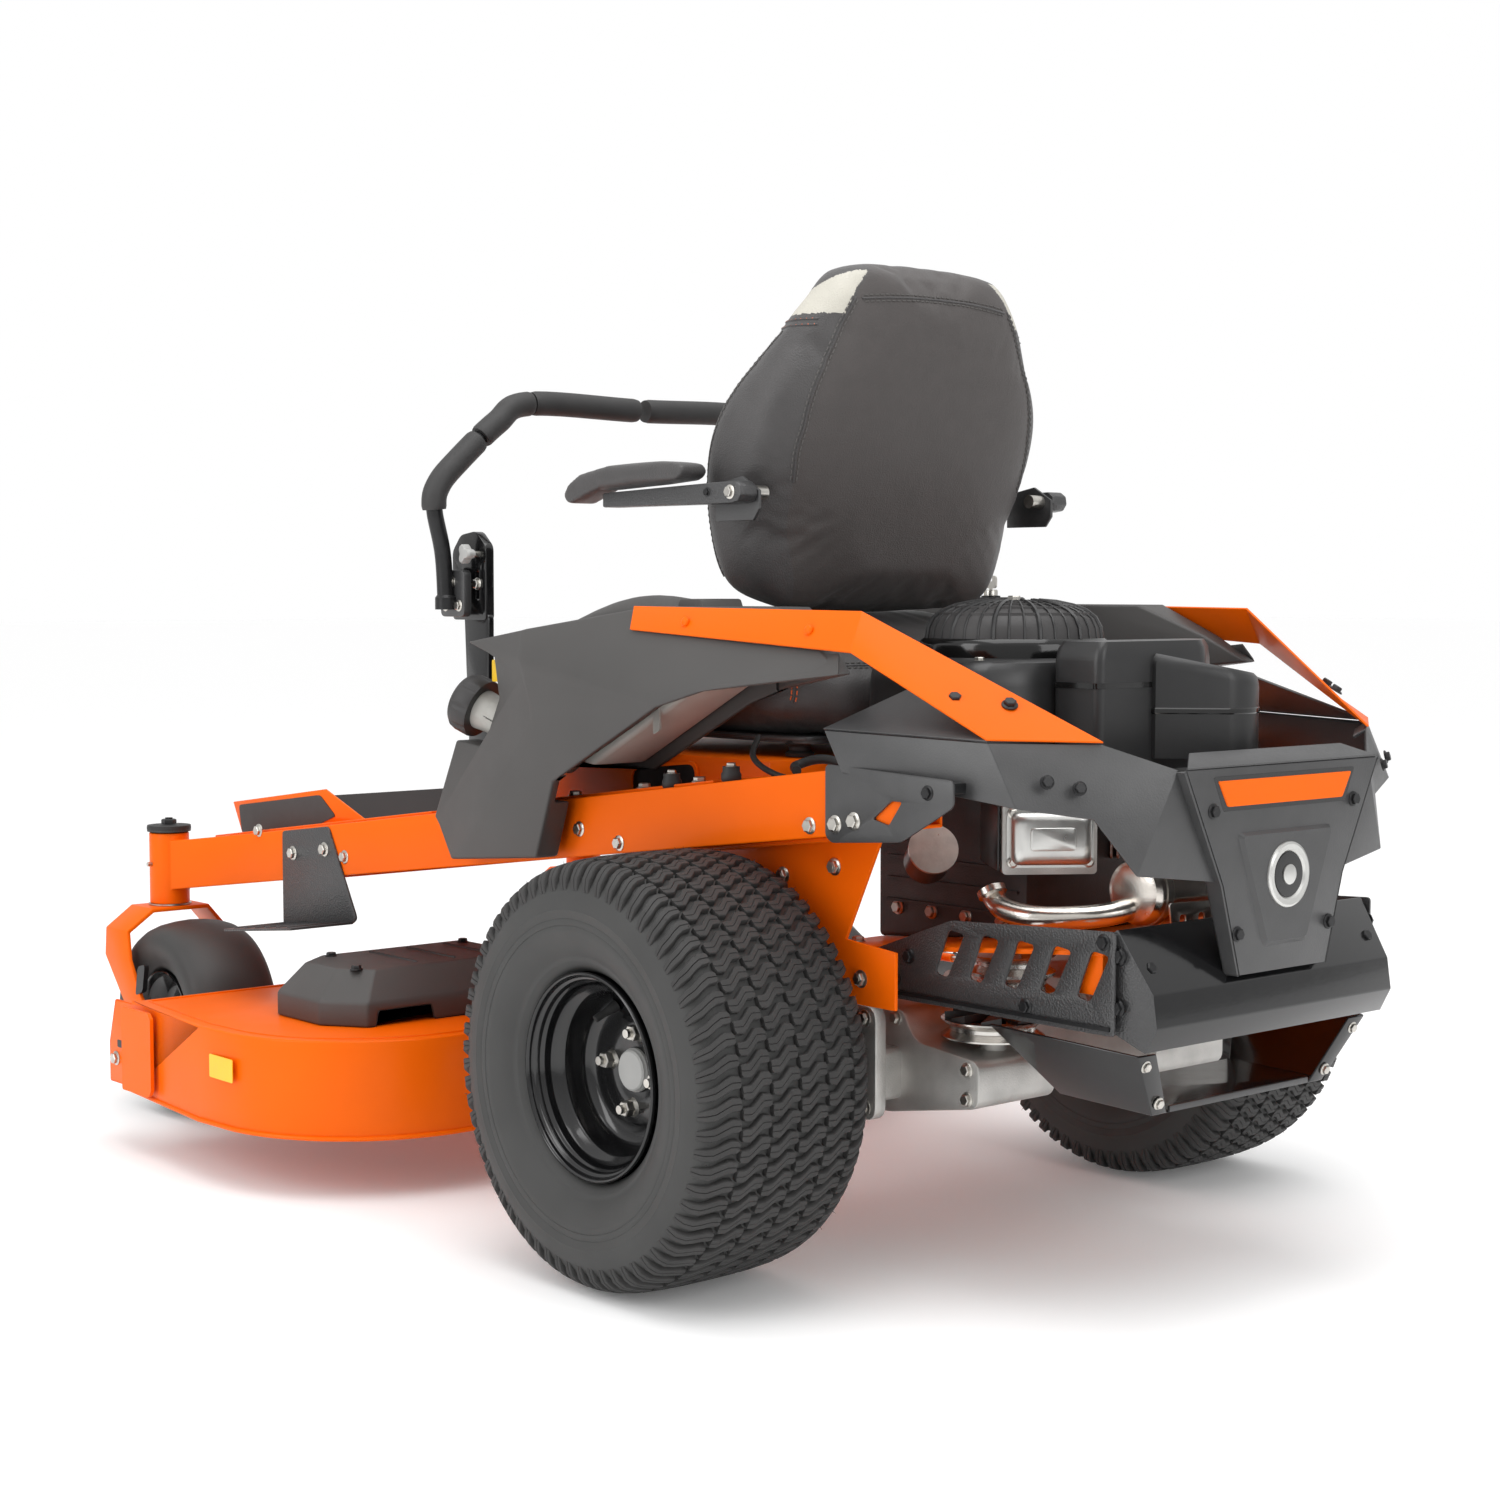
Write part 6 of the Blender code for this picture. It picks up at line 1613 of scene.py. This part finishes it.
def make_lap_bars():
    """Steel tube with foam grips and the lug that carries it."""
    core = smooth_path(LAP_ROUTE, 9)
    bar = tube(along(core, 0.0, 0.46, 26), TUBE_R, 24)
    gaps = [(0.245, 0.47), (0.482, 0.66), (0.664, 0.998)]
    pair("lap_tube", merged(bar, tube(along(core, 0.4, 0.98, 30), TUBE_R * 0.9, 16)), "bolt_black", "lap_bar",
         replaces=["lap_bar"], weld=False)
    for k, (lo, hi) in enumerate(gaps):
        spots = along(core, lo, hi, 26)
        radii = [GRIP_R * (0.93 if i in (0, 26) else 1.0) for i in range(27)]
        pair(f"hand_grip_{k}", tube(spots, radii, 32), "grip", "lap_bar", angle=35)
    for centre in (0.52, 0.548):
        marks = along(core, centre, centre + 0.012, 4)
        dashes = []
        for turn in range(3):
            ring_points = []
            for i, p in enumerate(marks):
                t = 2.2 + 0.9 * turn + 0.22 * i
                ring_points.append(
                    p + Vector(
                        (0.3 * math.cos(t), math.cos(t), math.sin(t))
                    ).normalized() * (GRIP_R - 0.0006)
                )
            dashes.append(tube(ring_points, 0.0022, 6))
        for dash in dashes:
            for word, shape in (("left", dash), ("right", mirror(dash))):
                add(f"lap_bar_{word}", "grip_orange", shape)
    lug = rounded_outline(rectangle(-0.702, 0.855, -0.638, 0.926), 0.01)
    pair("lap_lug", prism("X", lug, 0.35, 0.364), "black", "lap_bar", bevel=0.0015)
    collar = turned(
        [(0.0165, 0.0), (0.0165, 0.018), (0.0135, 0.022), (0.01, 0.022), (0.01, 0.0)],
        (0.372, -0.675, 0.866), UP, 32,
    )
    pair("lap_collar", collar, "bolt_black", "lap_bar", angle=30)
    for side, word in SIDES:
        for y, z in ((-0.688, 0.872), (-0.652, 0.872), (-0.67, 0.908)):
            hex_bolt((side * 0.364, y, z), (side, 0, 0), 0.0068, f"lap_bar_{word}", "zinc")


def make_levers():
    """Slotted heads on flat arms; an adjusting knob stands at the head."""
    x, y, z = LEVER_PIVOT
    arm = rounded_outline(
        [(y - 0.022, z - 0.02), (y + 0.022, z - 0.02), (y + 0.026, 0.86), (y - 0.04, 0.86)], 0.01
    )
    head = rounded_outline([(y - 0.068, 0.85), (y + 0.022, 0.85), (y + 0.022, 0.962), (y - 0.005, 0.985),
                            (y - 0.045, 0.98), (y - 0.068, 0.955)], 0.008)
    slots = [rounded_outline(rectangle(y + a, 0.88, y + a + 0.009, 0.925), 0.0045)
             for a in (-0.045, -0.005)]
    pair(
        "lever_arm", prism("X", arm, x - 0.005, x + 0.005), "gloss_black", "lever", bevel=0.0014,
        replaces=["lever"],
    )
    pair(
        "lever_head", holed_plate("X", head, slots, x - 0.008, x + 0.007), "gloss_black", "lever",
        bevel=0.001,
    )
    boss = turned(
        [(1e-5, -0.014), (0.018, -0.014), (0.02, -0.012), (0.02, 0.005), (0.018, 0.007), (1e-5, 0.007)],
        (x, y, z), OUT, 40, closed=False,
    )
    pair("lever_boss", boss, "zinc", "lever", angle=30)
    for side, word in SIDES:
        lever = f"lever_{word}"
        hex_bolt((side * (x + 0.007), y, z), (side, 0, 0), 0.011, lever, "zinc")
        for dy, dz in ((-0.0405, 0.905), (-0.0005, 0.905)):
            hex_bolt((side * (x + 0.007), y + dy, dz), (side, 0, 0), 0.0072, lever, "zinc")
        stem = rod((side * (x + 0.005), y + 0.004, 0.95), (side * (x + 0.024), y + 0.004, 0.95), 0.005, 16)
        add(lever, "zinc", stem)
        lobes = []
        for k in range(60):
            t = 2 * math.pi * k / 60
            lobes.append((y + 0.004 + (0.0125 + 0.0035 * math.cos(3 * t)) * math.cos(t),
                          0.95 + (0.0125 + 0.0035 * math.cos(3 * t)) * math.sin(t)))
        rows = [
            [(side * (x + a), (cy - y - 0.004) * s + y + 0.004, 0.95 + (cz - 0.95) * s) for cy, cz in lobes]
            for a, s in ((0.022, 0.8), (0.024, 1.0), (0.034, 1.0), (0.037, 0.86), (0.0375, 0.5))
        ]
        add(lever, "grey_plastic", loft(rows))


def make_console():
    """Throttle, blade clutch switch and ignition key on the right console."""
    top = CONSOLE_TOP
    panel = rounded_outline(rectangle(-0.3845, -0.429, -0.3185, -0.181), 0.01)
    piece("console_panel", prism("Z", panel, top - 0.004, top + 0.0002), "dark_plastic", bevel=0.0001)
    x, y = CONSOLE_X, -0.35
    stalk = prism(
        "Y", rounded_outline(rectangle(x - 0.004, top + 0.004, x + 0.004, top + 0.038), 0.001), y - 0.006,
        y + 0.006,
    )
    knob_rows = [
        (0.006, 0.034), (0.0095, 0.035), (0.011, 0.039), (0.011, 0.046), (0.009, 0.0508), (0.005, 0.052)
    ]
    knob = loft([superellipse(r, y - r * 0.9, y + r * 0.9, top + z, 2.8, 0, 32) for r, z in knob_rows])
    knob = ([(px + x, py, pz) for px, py, pz in knob[0]], knob[1])
    piece(
        "throttle_knob", merged(stalk, knob), "dark_plastic", "throttle_lever", replaces=["throttle_lever"],
        angle=40,
    )
    x, y = CONSOLE_X, -0.285
    rows = [
        (0.0098, 0.0006), (0.0098, 0.018), (0.0125, 0.0205), (0.0186, 0.0215), (0.019, 0.0245),
        (0.018, 0.033), (0.0165, 0.0355), (0.01, 0.0362), (1e-5, 0.036),
    ]
    piece(
        "blade_knob", turned([(1e-5, 0.0006), *rows], (x, y, top), UP, 48, closed=False), "yellow",
        "pto_knob", replaces=["pto_knob"], angle=40,
    )
    x, y = CONSOLE_X, -0.225
    barrel = turned(
        [(1e-5, 0.0006), (0.0108, 0.0006), (0.0108, 0.01), (0.0095, 0.0122), (1e-5, 0.0122)], (x, y, top),
        UP, 36, closed=False,
    )
    bow = rounded_outline(rectangle(y - 0.012, top + 0.014, y + 0.012, top + 0.034), 0.006)
    hole = rounded_outline(rectangle(y - 0.004, top + 0.025, y + 0.004, top + 0.031), 0.003)
    blade = box((x - 0.001, y - 0.003, top + 0.01), (x + 0.001, y + 0.003, top + 0.015))
    piece("start_key", merged(barrel, holed_plate("X", bow, [hole], x - 0.0015, x + 0.0015), blade), "zinc",
          "ignition_key", replaces=["ignition_key"], weld=False)
    for yy, r in ((-0.285, 0.0165), (-0.225, 0.015)):
        add(
            "frame", "bolt_black",
            turned(
                [(r, 0.0), (r, 0.0022), (r - 0.003, 0.003), (r - 0.004, 0.0)], (CONSOLE_X, yy, top), UP, 40
            ),
        )


def make_pedal():
    dress("lift_pedal", "black", 0.001)
    for k in range(7):
        x = -0.238 + 0.0127 * k
        add("lift_pedal", "rubber", tube([(x, -1.234, 0.616), (x, -1.198, 0.6385)], 0.0022, 8))


# ---------------------------------------------------------------- front, floor and deck


def make_front():
    for side, word in SIDES:
        dress(f"rail_{word}", "orange", 0.0022, 3)
        dress(f"caster_fork_{word}", "orange", 0.0016)
        x, y, top = side * STEM.x, STEM.y, 0.474
        cap = [
            (1e-5, 0.012), (0.03, 0.012), (0.0355, 0.0105), (0.0375, 0.007), (0.0375, 0.0022),
            (1e-5, 0.0022),
        ]
        add(f"caster_{word}", "dark_plastic", turned(cap[::-1], (x, y, top), UP, 48, closed=False))
        hex_bolt((x, y, top + 0.012), UP, 0.013, f"caster_{word}", "bolt_black", stud=0.004)
        low = turned(rectangle(0.0175, 0.0, 0.0365, -0.0022), (x, y, 0.3508), UP, 40)
        add(f"caster_{word}", "zinc", low)
        fitting = rod((x + side * 0.034, y, 0.42), (x + side * 0.042, y, 0.42), 0.0038, 12)
        add("frame", "zinc", fitting)
    slot = rounded_outline([(-1.366, 0.205), (-1.34, 0.214), (-1.33, 0.262), (-1.356, 0.256)], 0.008)
    for side, word in reversed(SIDES):
        for inner in (-1, 1):
            x = side * STEM.x + inner * 0.0965
            # The fork slots are filled with a very dark solid: partly the tyre's own black behind them, partly painted
            # shade.
            add(f"caster_{word}", "bolt_black", prism("X", slot, x - 0.0042, x + 0.0042))
    dress("front_beam", "orange", 0.0022, 3)
    for y, z in ((-1.205, 0.49), (-0.93, 0.468), (-0.3, 0.56), (0.184, 0.6), (-0.209, 0.547)):
        hex_bolt((0.4, y, z), OUT, 0.0085, look="zinc", both=True)
    for y in (-0.6, -0.45):
        dome_bolt((0.4, y, rail_top(y) - 0.03), OUT, 0.0075, both=True)


def make_floor():
    """Foot well with side panels, a toe board pad and ridged rubber mats."""
    dress("floor_pan", "orange", 0.0012)
    for side in (-1, 1):
        pad = rounded_outline(
            [(-1.385, 0.468), (-1.13, 0.5), (-1.07, 0.52), (-1.12, 0.552), (-1.395, 0.517)], 0.008
        )
        add("frame", "dark_plastic", prism("X", pad, side * 0.331, side * 0.3325))
    for k in range(9):
        y0 = -1.33 + 0.066 * k
        z0 = rail_top(y0) + 0.0024
        bar = [
            (y0, z0), (y0 + 0.04, z0 + 0.04 * RAIL_SLOPE), (y0 + 0.038, z0 + 0.0065),
            (y0 + 0.002, z0 + 0.0022),
        ]
        for x in (-0.285, -0.095, 0.095):
            add("frame", "rubber", prism("X", bar, x, x + 0.18))
    toe = [(-1.408, 0.52), (-1.382, 0.468), (-1.38, 0.4705), (-1.4055, 0.5225)]
    add("frame", "dark_plastic", prism("X", toe, -0.315, 0.315))


def make_steps():
    upright = rounded_outline(
        [(-1.12, 0.496), (-0.975, 0.514), (-0.89, 0.372), (-0.905, 0.362), (-1.12, 0.338)], 0.008
    )
    tread = [(-1.12, 0.338), (-0.905, 0.362), (-0.905, 0.366), (-1.12, 0.342)]
    pair(
        "step_plate",
        merged(
            prism("X", upright, RAIL_FACE, RAIL_FACE + 0.004),
            prism("X", tread, RAIL_FACE, RAIL_FACE + 0.1145),
        ),
        "hammered", replaces=["step"], bevel=0.0009, weld=False,
    )
    for y, z in ((-1.085, 0.462), (-0.985, 0.476)):
        hex_bolt((RAIL_FACE + 0.004, y, z), OUT, 0.0092, look="zinc", both=True)
    for k in range(6):
        y = -1.1 + 0.034 * k
        z = 0.3422 + (y + 1.12) * 0.1116
        add(
            "frame", "hammered",
            tube([(RAIL_FACE + 0.012, y, z), (RAIL_FACE + 0.104, y, z)], 0.0024, 8, round_ends=True), True,
        )


SPINDLES = {"left": (0.43, -0.81), "centre": (0.0, -0.985), "right": (-0.43, -0.81)}
BLADE_REACH = 0.229
ROLLER_Y, ROLLER_Z = -1.183, 0.14
CHUTE_HINGE_X, CHUTE_HINGE_Z = -0.697, 0.229


def deck_outline(inset=0.0):
    shell, side, front = 0.262 - inset, 0.696 - inset, -1.135 + inset
    nose_angle = math.degrees(math.asin((-0.985 - front) / shell))
    left = [(side - 0.024, front), (side, -0.868)] + arc((0.43, -0.81), shell, 0, 90, 22)
    right = [(-x, y) for x, y in reversed(left)]
    return left + right + arc((0, -0.985), shell, 180 + nose_angle, 360 - nose_angle, 22)


def make_deck():
    """Welded deck: a seam along its top, a band along its skirt, belt covers, blank labels and laps."""
    dress("deck_shell", "orange", 0.0035, 3)
    skirt = [(x, y, 0.0935) for x, y in deck_outline(-0.0004) if x > -0.6]
    add("deck", "orange", tube(skirt, 0.0036, 8))
    seam_line = [(x, y, 0.2385) for x, y in deck_outline(0.02)]
    add("deck", "orange", tube(seam_line + seam_line[:1], 0.0016, 6))
    lap = [(-1.128, 0.1), (-1.04, 0.1), (-1.03, 0.11), (-1.03, 0.225), (-1.04, 0.233), (-1.128, 0.233)]
    add("deck", "orange", prism("X", rounded_outline(lap, 0.004), 0.6885, 0.6945), True)
    add("deck", "yellow", prism("X", rounded_outline(rectangle(-0.835, 0.165, -0.765, 0.2), 0.003),
                                0.6955, 0.6968), True)
    dome_bolt((0.6765, -1.15, 0.19), OUT, 0.0085, "deck", both=True)
    dome_bolt((0.6765, -1.1, 0.215), OUT, 0.0065, "deck", both=True)
    for y, z in ((-1.17, 0.165), (-1.125, 0.15)):
        square = rounded_outline(rectangle(y - 0.008, z - 0.006, y + 0.008, z + 0.006), 0.002)
        add("deck", "bolt_black", prism("X", square, 0.676, 0.6773), True)
    for x, y in SPINDLES.values():
        for k in range(6):
            t = 2 * math.pi * k / 6 + 0.3
            hex_bolt((x + 0.06 * math.cos(t), y + 0.06 * math.sin(t), 0.238), UP, 0.0075, "deck", "zinc")
    for side, word in SIDES:
        dress(f"deck_cover_{word}", "pod", 0.004, 3)
        for x, y in ((0.5, -0.735), (0.215, -0.74), (0.215, -0.87), (0.46, -0.875)):
            hex_bolt((side * x, y, 0.3198), UP, 0.0075, "deck", "bolt_black")
        for k in range(3):
            groove = [(side * (0.25 + 0.07 * k), -0.872, 0.3195), (side * (0.25 + 0.07 * k), -0.738, 0.3195)]
            add("deck", "dark_plastic", tube(groove, 0.003, 8, round_ends=True))


def make_lift_links():
    """Clevises, pins and spring clips that carry the deck."""
    for y in (-0.95, -0.64):
        plate = rounded_outline(
            [(y - 0.02, 0.236), (y + 0.02, 0.236), (y + 0.016, 0.296), (y - 0.016, 0.296)], 0.006
        )
        hole = rounded_outline(rectangle(y - 0.005, 0.272, y + 0.005, 0.282), 0.004)
        for shape in (
            holed_plate("X", plate, [hole], 0.12, 0.125), holed_plate("X", plate, [hole], 0.14, 0.145)
        ):
            add("deck", "orange", shape, True)
        pin = rod((0.112, y, 0.277), (0.153, y, 0.277), 0.0048, 16)
        add("deck", "zinc", pin, True)
        clip = smooth_path([(0.15, y - 0.006, 0.285), (0.152, y - 0.016, 0.277), (0.15, y - 0.006, 0.268),
                            (0.152, y + 0.012, 0.276), (0.15, y + 0.02, 0.28)], 5)
        add("deck", "zinc", tube(clip, 0.0012, 6), True)


def make_spindles():
    for name, (x, y) in SPINDLES.items():
        at, body = (x, y, 0), f"spindle_{name}"
        sheave = [
            (1e-5, 0.26), (0.016, 0.26), (0.018, 0.266), (0.066, 0.266), (0.0665, 0.268), (0.054, 0.275),
            (0.054, 0.279), (0.0665, 0.286), (0.066, 0.288), (0.048, 0.288), (0.044, 0.282), (0.022, 0.282),
            (0.018, 0.288), (0.0135, 0.288), (0.0135, 0.3), (1e-5, 0.3),
        ]
        shaft = turned(
            [
                (1e-5, 0.112), (0.0135, 0.112), (0.0135, 0.121), (0.03, 0.1222), (0.028, 0.15),
                (0.0135, 0.15), (0.0135, 0.262), (1e-5, 0.262),
            ],
            at, UP, 40, closed=False,
        )
        piece(f"blade_spindle_{name}", merged(turned(sheave, at, UP, 56, closed=False), shaft), "machined",
              NODE_BODY[body], angle=30, replaces=[body], weld=False)
        turn = Matrix.Translation((x, y, 0)) @ Matrix.Rotation(math.radians(20), 4, "Z")
        rows = []
        for k in range(25):
            v = -BLADE_REACH + 2 * BLADE_REACH * k / 24
            edge = abs(v) / BLADE_REACH
            wing = 0.012 * max(0, (edge - 0.62) / 0.38) ** 1.3
            lead = 1 if v > 0 else -1
            rows.append(
                [
                    (lead * -0.03, v, 0.1165 + wing), (lead * 0.029, v, 0.1165), (lead * 0.03, v, 0.1185),
                    (lead * -0.03, v, 0.1215 + wing),
                ]
            )
        rows = [row if row[0][0] > 0 else [row[1], row[0], row[3], row[2]] for row in rows]
        piece(f"mower_blade_{name}", moved(loft(rows), turn), "blade", NODE_BODY[body], bevel=0.0004)
        hex_bolt((x, y, 0.1125), (0, 0, -1), 0.011, NODE_BODY[body], "zinc")


def make_chute_and_rollers():
    dress("discharge_chute", "rubber", 0.0007)
    add(
        "deck", "zinc",
        rod((CHUTE_HINGE_X, -1.045, CHUTE_HINGE_Z), (CHUTE_HINGE_X, -0.635, CHUTE_HINGE_Z), 0.0042, 14),
    )
    for y in (-1.02, -0.84, -0.66):
        add("deck", "orange", turned(rectangle(0.0044, -0.014, 0.0075, 0.014),
                                     (CHUTE_HINGE_X, y, CHUTE_HINGE_Z), REAR, 24))
    for y in (-0.98, -0.9, -0.78, -0.7):
        add("chute", "rubber", tube([(-0.756, y, 0.2255), (-0.919, y, 0.145)], 0.0038, 8))
    for side, word in SIDES:
        x = side * 0.655
        roller = [
            (0.0088, -0.0125), (0.014, -0.0135), (0.016, -0.011), (0.03, -0.011), (0.034, -0.014),
            (0.0395, -0.0125), (0.042, -0.008), (0.0425, 0.0), (0.042, 0.008), (0.0395, 0.0125),
            (0.034, 0.014), (0.03, 0.011), (0.016, 0.011), (0.014, 0.0135), (0.0088, 0.0125),
        ]
        piece(f"deck_roller_{word}", turned(roller, (x, ROLLER_Y, ROLLER_Z), OUT, 56), "rubber",
              f"anti_scalp_{word}", replaces=[f"anti_scalp_{word}"], angle=35)
        hex_bolt((side * 0.677, ROLLER_Y, ROLLER_Z), (side, 0, 0), 0.009, "deck", "zinc")


def make_tank():
    """Moulded tank with ribs and rounded edges inside the left pod."""
    dress("fuel_tank", "natural", 0.008, 4)
    for y in (-0.34, -0.24, -0.14):
        strap = rounded_outline([(y, 0.7), (y + 0.014, 0.706), (y + 0.014, 0.8), (y, 0.794)], 0.003)
        add("frame", "natural", prism("X", strap, 0.3915, 0.3945))


make_lap_bars()
make_levers()
make_console()
make_pedal()
make_front()
make_floor()
make_steps()
make_deck()
make_lift_links()
make_spindles()
make_chute_and_rollers()
make_tank()

# ---------------------------------------------------------------- stage


def sun_panel(name, position, aim, size, power):
    light = bpy.data.lights.new(name, "AREA")
    light.shape = "RECTANGLE"
    light.size, light.size_y = size
    light.energy = power
    obj = bpy.data.objects.new(name, light)
    obj.location = position
    obj.rotation_euler = (Vector(aim) - Vector(position)).to_track_quat("-Z", "Y").to_euler()
    bpy.context.scene.collection.objects.link(obj)


def make_stage():
    mesh = bpy.data.meshes.new("floor")
    reach = 60.0
    mesh.from_pydata(
        [(-reach, -reach, 0), (reach, -reach, 0), (reach, reach, 0), (-reach, reach, 0)], [], [(0, 1, 2, 3)]
    )
    floor = bpy.data.objects.new("floor", mesh)
    floor_mat = bpy.data.materials.new("floor")
    floor_mat.use_nodes = True
    shader = floor_mat.node_tree.nodes["Principled BSDF"]
    shader.inputs["Base Color"].default_value = (0.97, 0.97, 0.97, 1)
    shader.inputs["Roughness"].default_value = 0.75
    shader.inputs["Emission Color"].default_value = (1, 1, 1, 1)
    shader.inputs["Emission Strength"].default_value = 0.08
    shader.inputs["Specular IOR Level"].default_value = 0.2
    mesh.materials.append(floor_mat)
    bpy.context.scene.collection.objects.link(floor)
    make_sky()
    centre = Vector((0, 0, 0.6))
    sun_panel("overhead", (0.6, 0.9, 4.2), centre, (3.2, 3.2), 75)
    sun_panel("left_side", (4.5, -0.6, 2.4), centre, (1.6, 3.2), 55)
    sun_panel("rear_side", (0.2, 5.2, 2.6), centre, (2.2, 2.2), 40)


def make_sky():
    """Pure white behind the machine; its light comes more from above than from the sides."""
    world = bpy.data.worlds.new("studio")
    world.use_nodes = True
    nodes, links = world.node_tree.nodes, world.node_tree.links
    light = nodes["Background"]
    light.inputs["Color"].default_value = (1, 1, 1, 1)
    split = nodes.new("ShaderNodeSeparateXYZ")
    links.new(nodes.new("ShaderNodeTexCoord").outputs["Generated"], split.inputs[0])
    height = nodes.new("ShaderNodeMapRange")
    height.inputs["From Min"].default_value = -0.1
    height.inputs["From Max"].default_value = 1.0
    height.inputs["To Min"].default_value = 0.5
    height.inputs["To Max"].default_value = 1.15
    links.new(split.outputs["Z"], height.inputs["Value"])
    links.new(height.outputs["Result"], light.inputs["Strength"])
    white = nodes.new("ShaderNodeBackground")
    white.inputs["Color"].default_value = (1, 1, 1, 1)
    white.inputs["Strength"].default_value = 1.0
    seen = nodes.new("ShaderNodeLightPath").outputs["Is Camera Ray"]
    mix = nodes.new("ShaderNodeMixShader")
    links.new(seen, mix.inputs[0])
    links.new(light.outputs[0], mix.inputs[1])
    links.new(white.outputs[0], mix.inputs[2])
    links.new(mix.outputs[0], nodes["World Output"].inputs["Surface"])
    bpy.context.scene.world = world


CAMERA_PLACE = Vector((2.4634, 2.4719, 0.8977))
CAMERA_YAW, CAMERA_PITCH, CAMERA_LENS = 49.354, 3.756, 59.0


def make_camera():
    data = bpy.data.cameras.new("camera")
    data.sensor_width = 36.0
    data.lens = CAMERA_LENS
    data.clip_start, data.clip_end = 0.05, 200
    camera = bpy.data.objects.new("camera", data)
    camera.location = CAMERA_PLACE + ORIGIN
    yaw, pitch = math.radians(CAMERA_YAW), math.radians(CAMERA_PITCH)
    forward = Vector((-math.cos(yaw) * math.cos(pitch), -math.sin(yaw) * math.cos(pitch), -math.sin(pitch)))
    camera.rotation_euler = forward.to_track_quat("-Z", "Y").to_euler()
    bpy.context.scene.collection.objects.link(camera)
    bpy.context.scene.camera = camera


make_stage()
make_camera()
flush_bolts()
bpy.context.scene.view_settings.view_transform = "Standard"
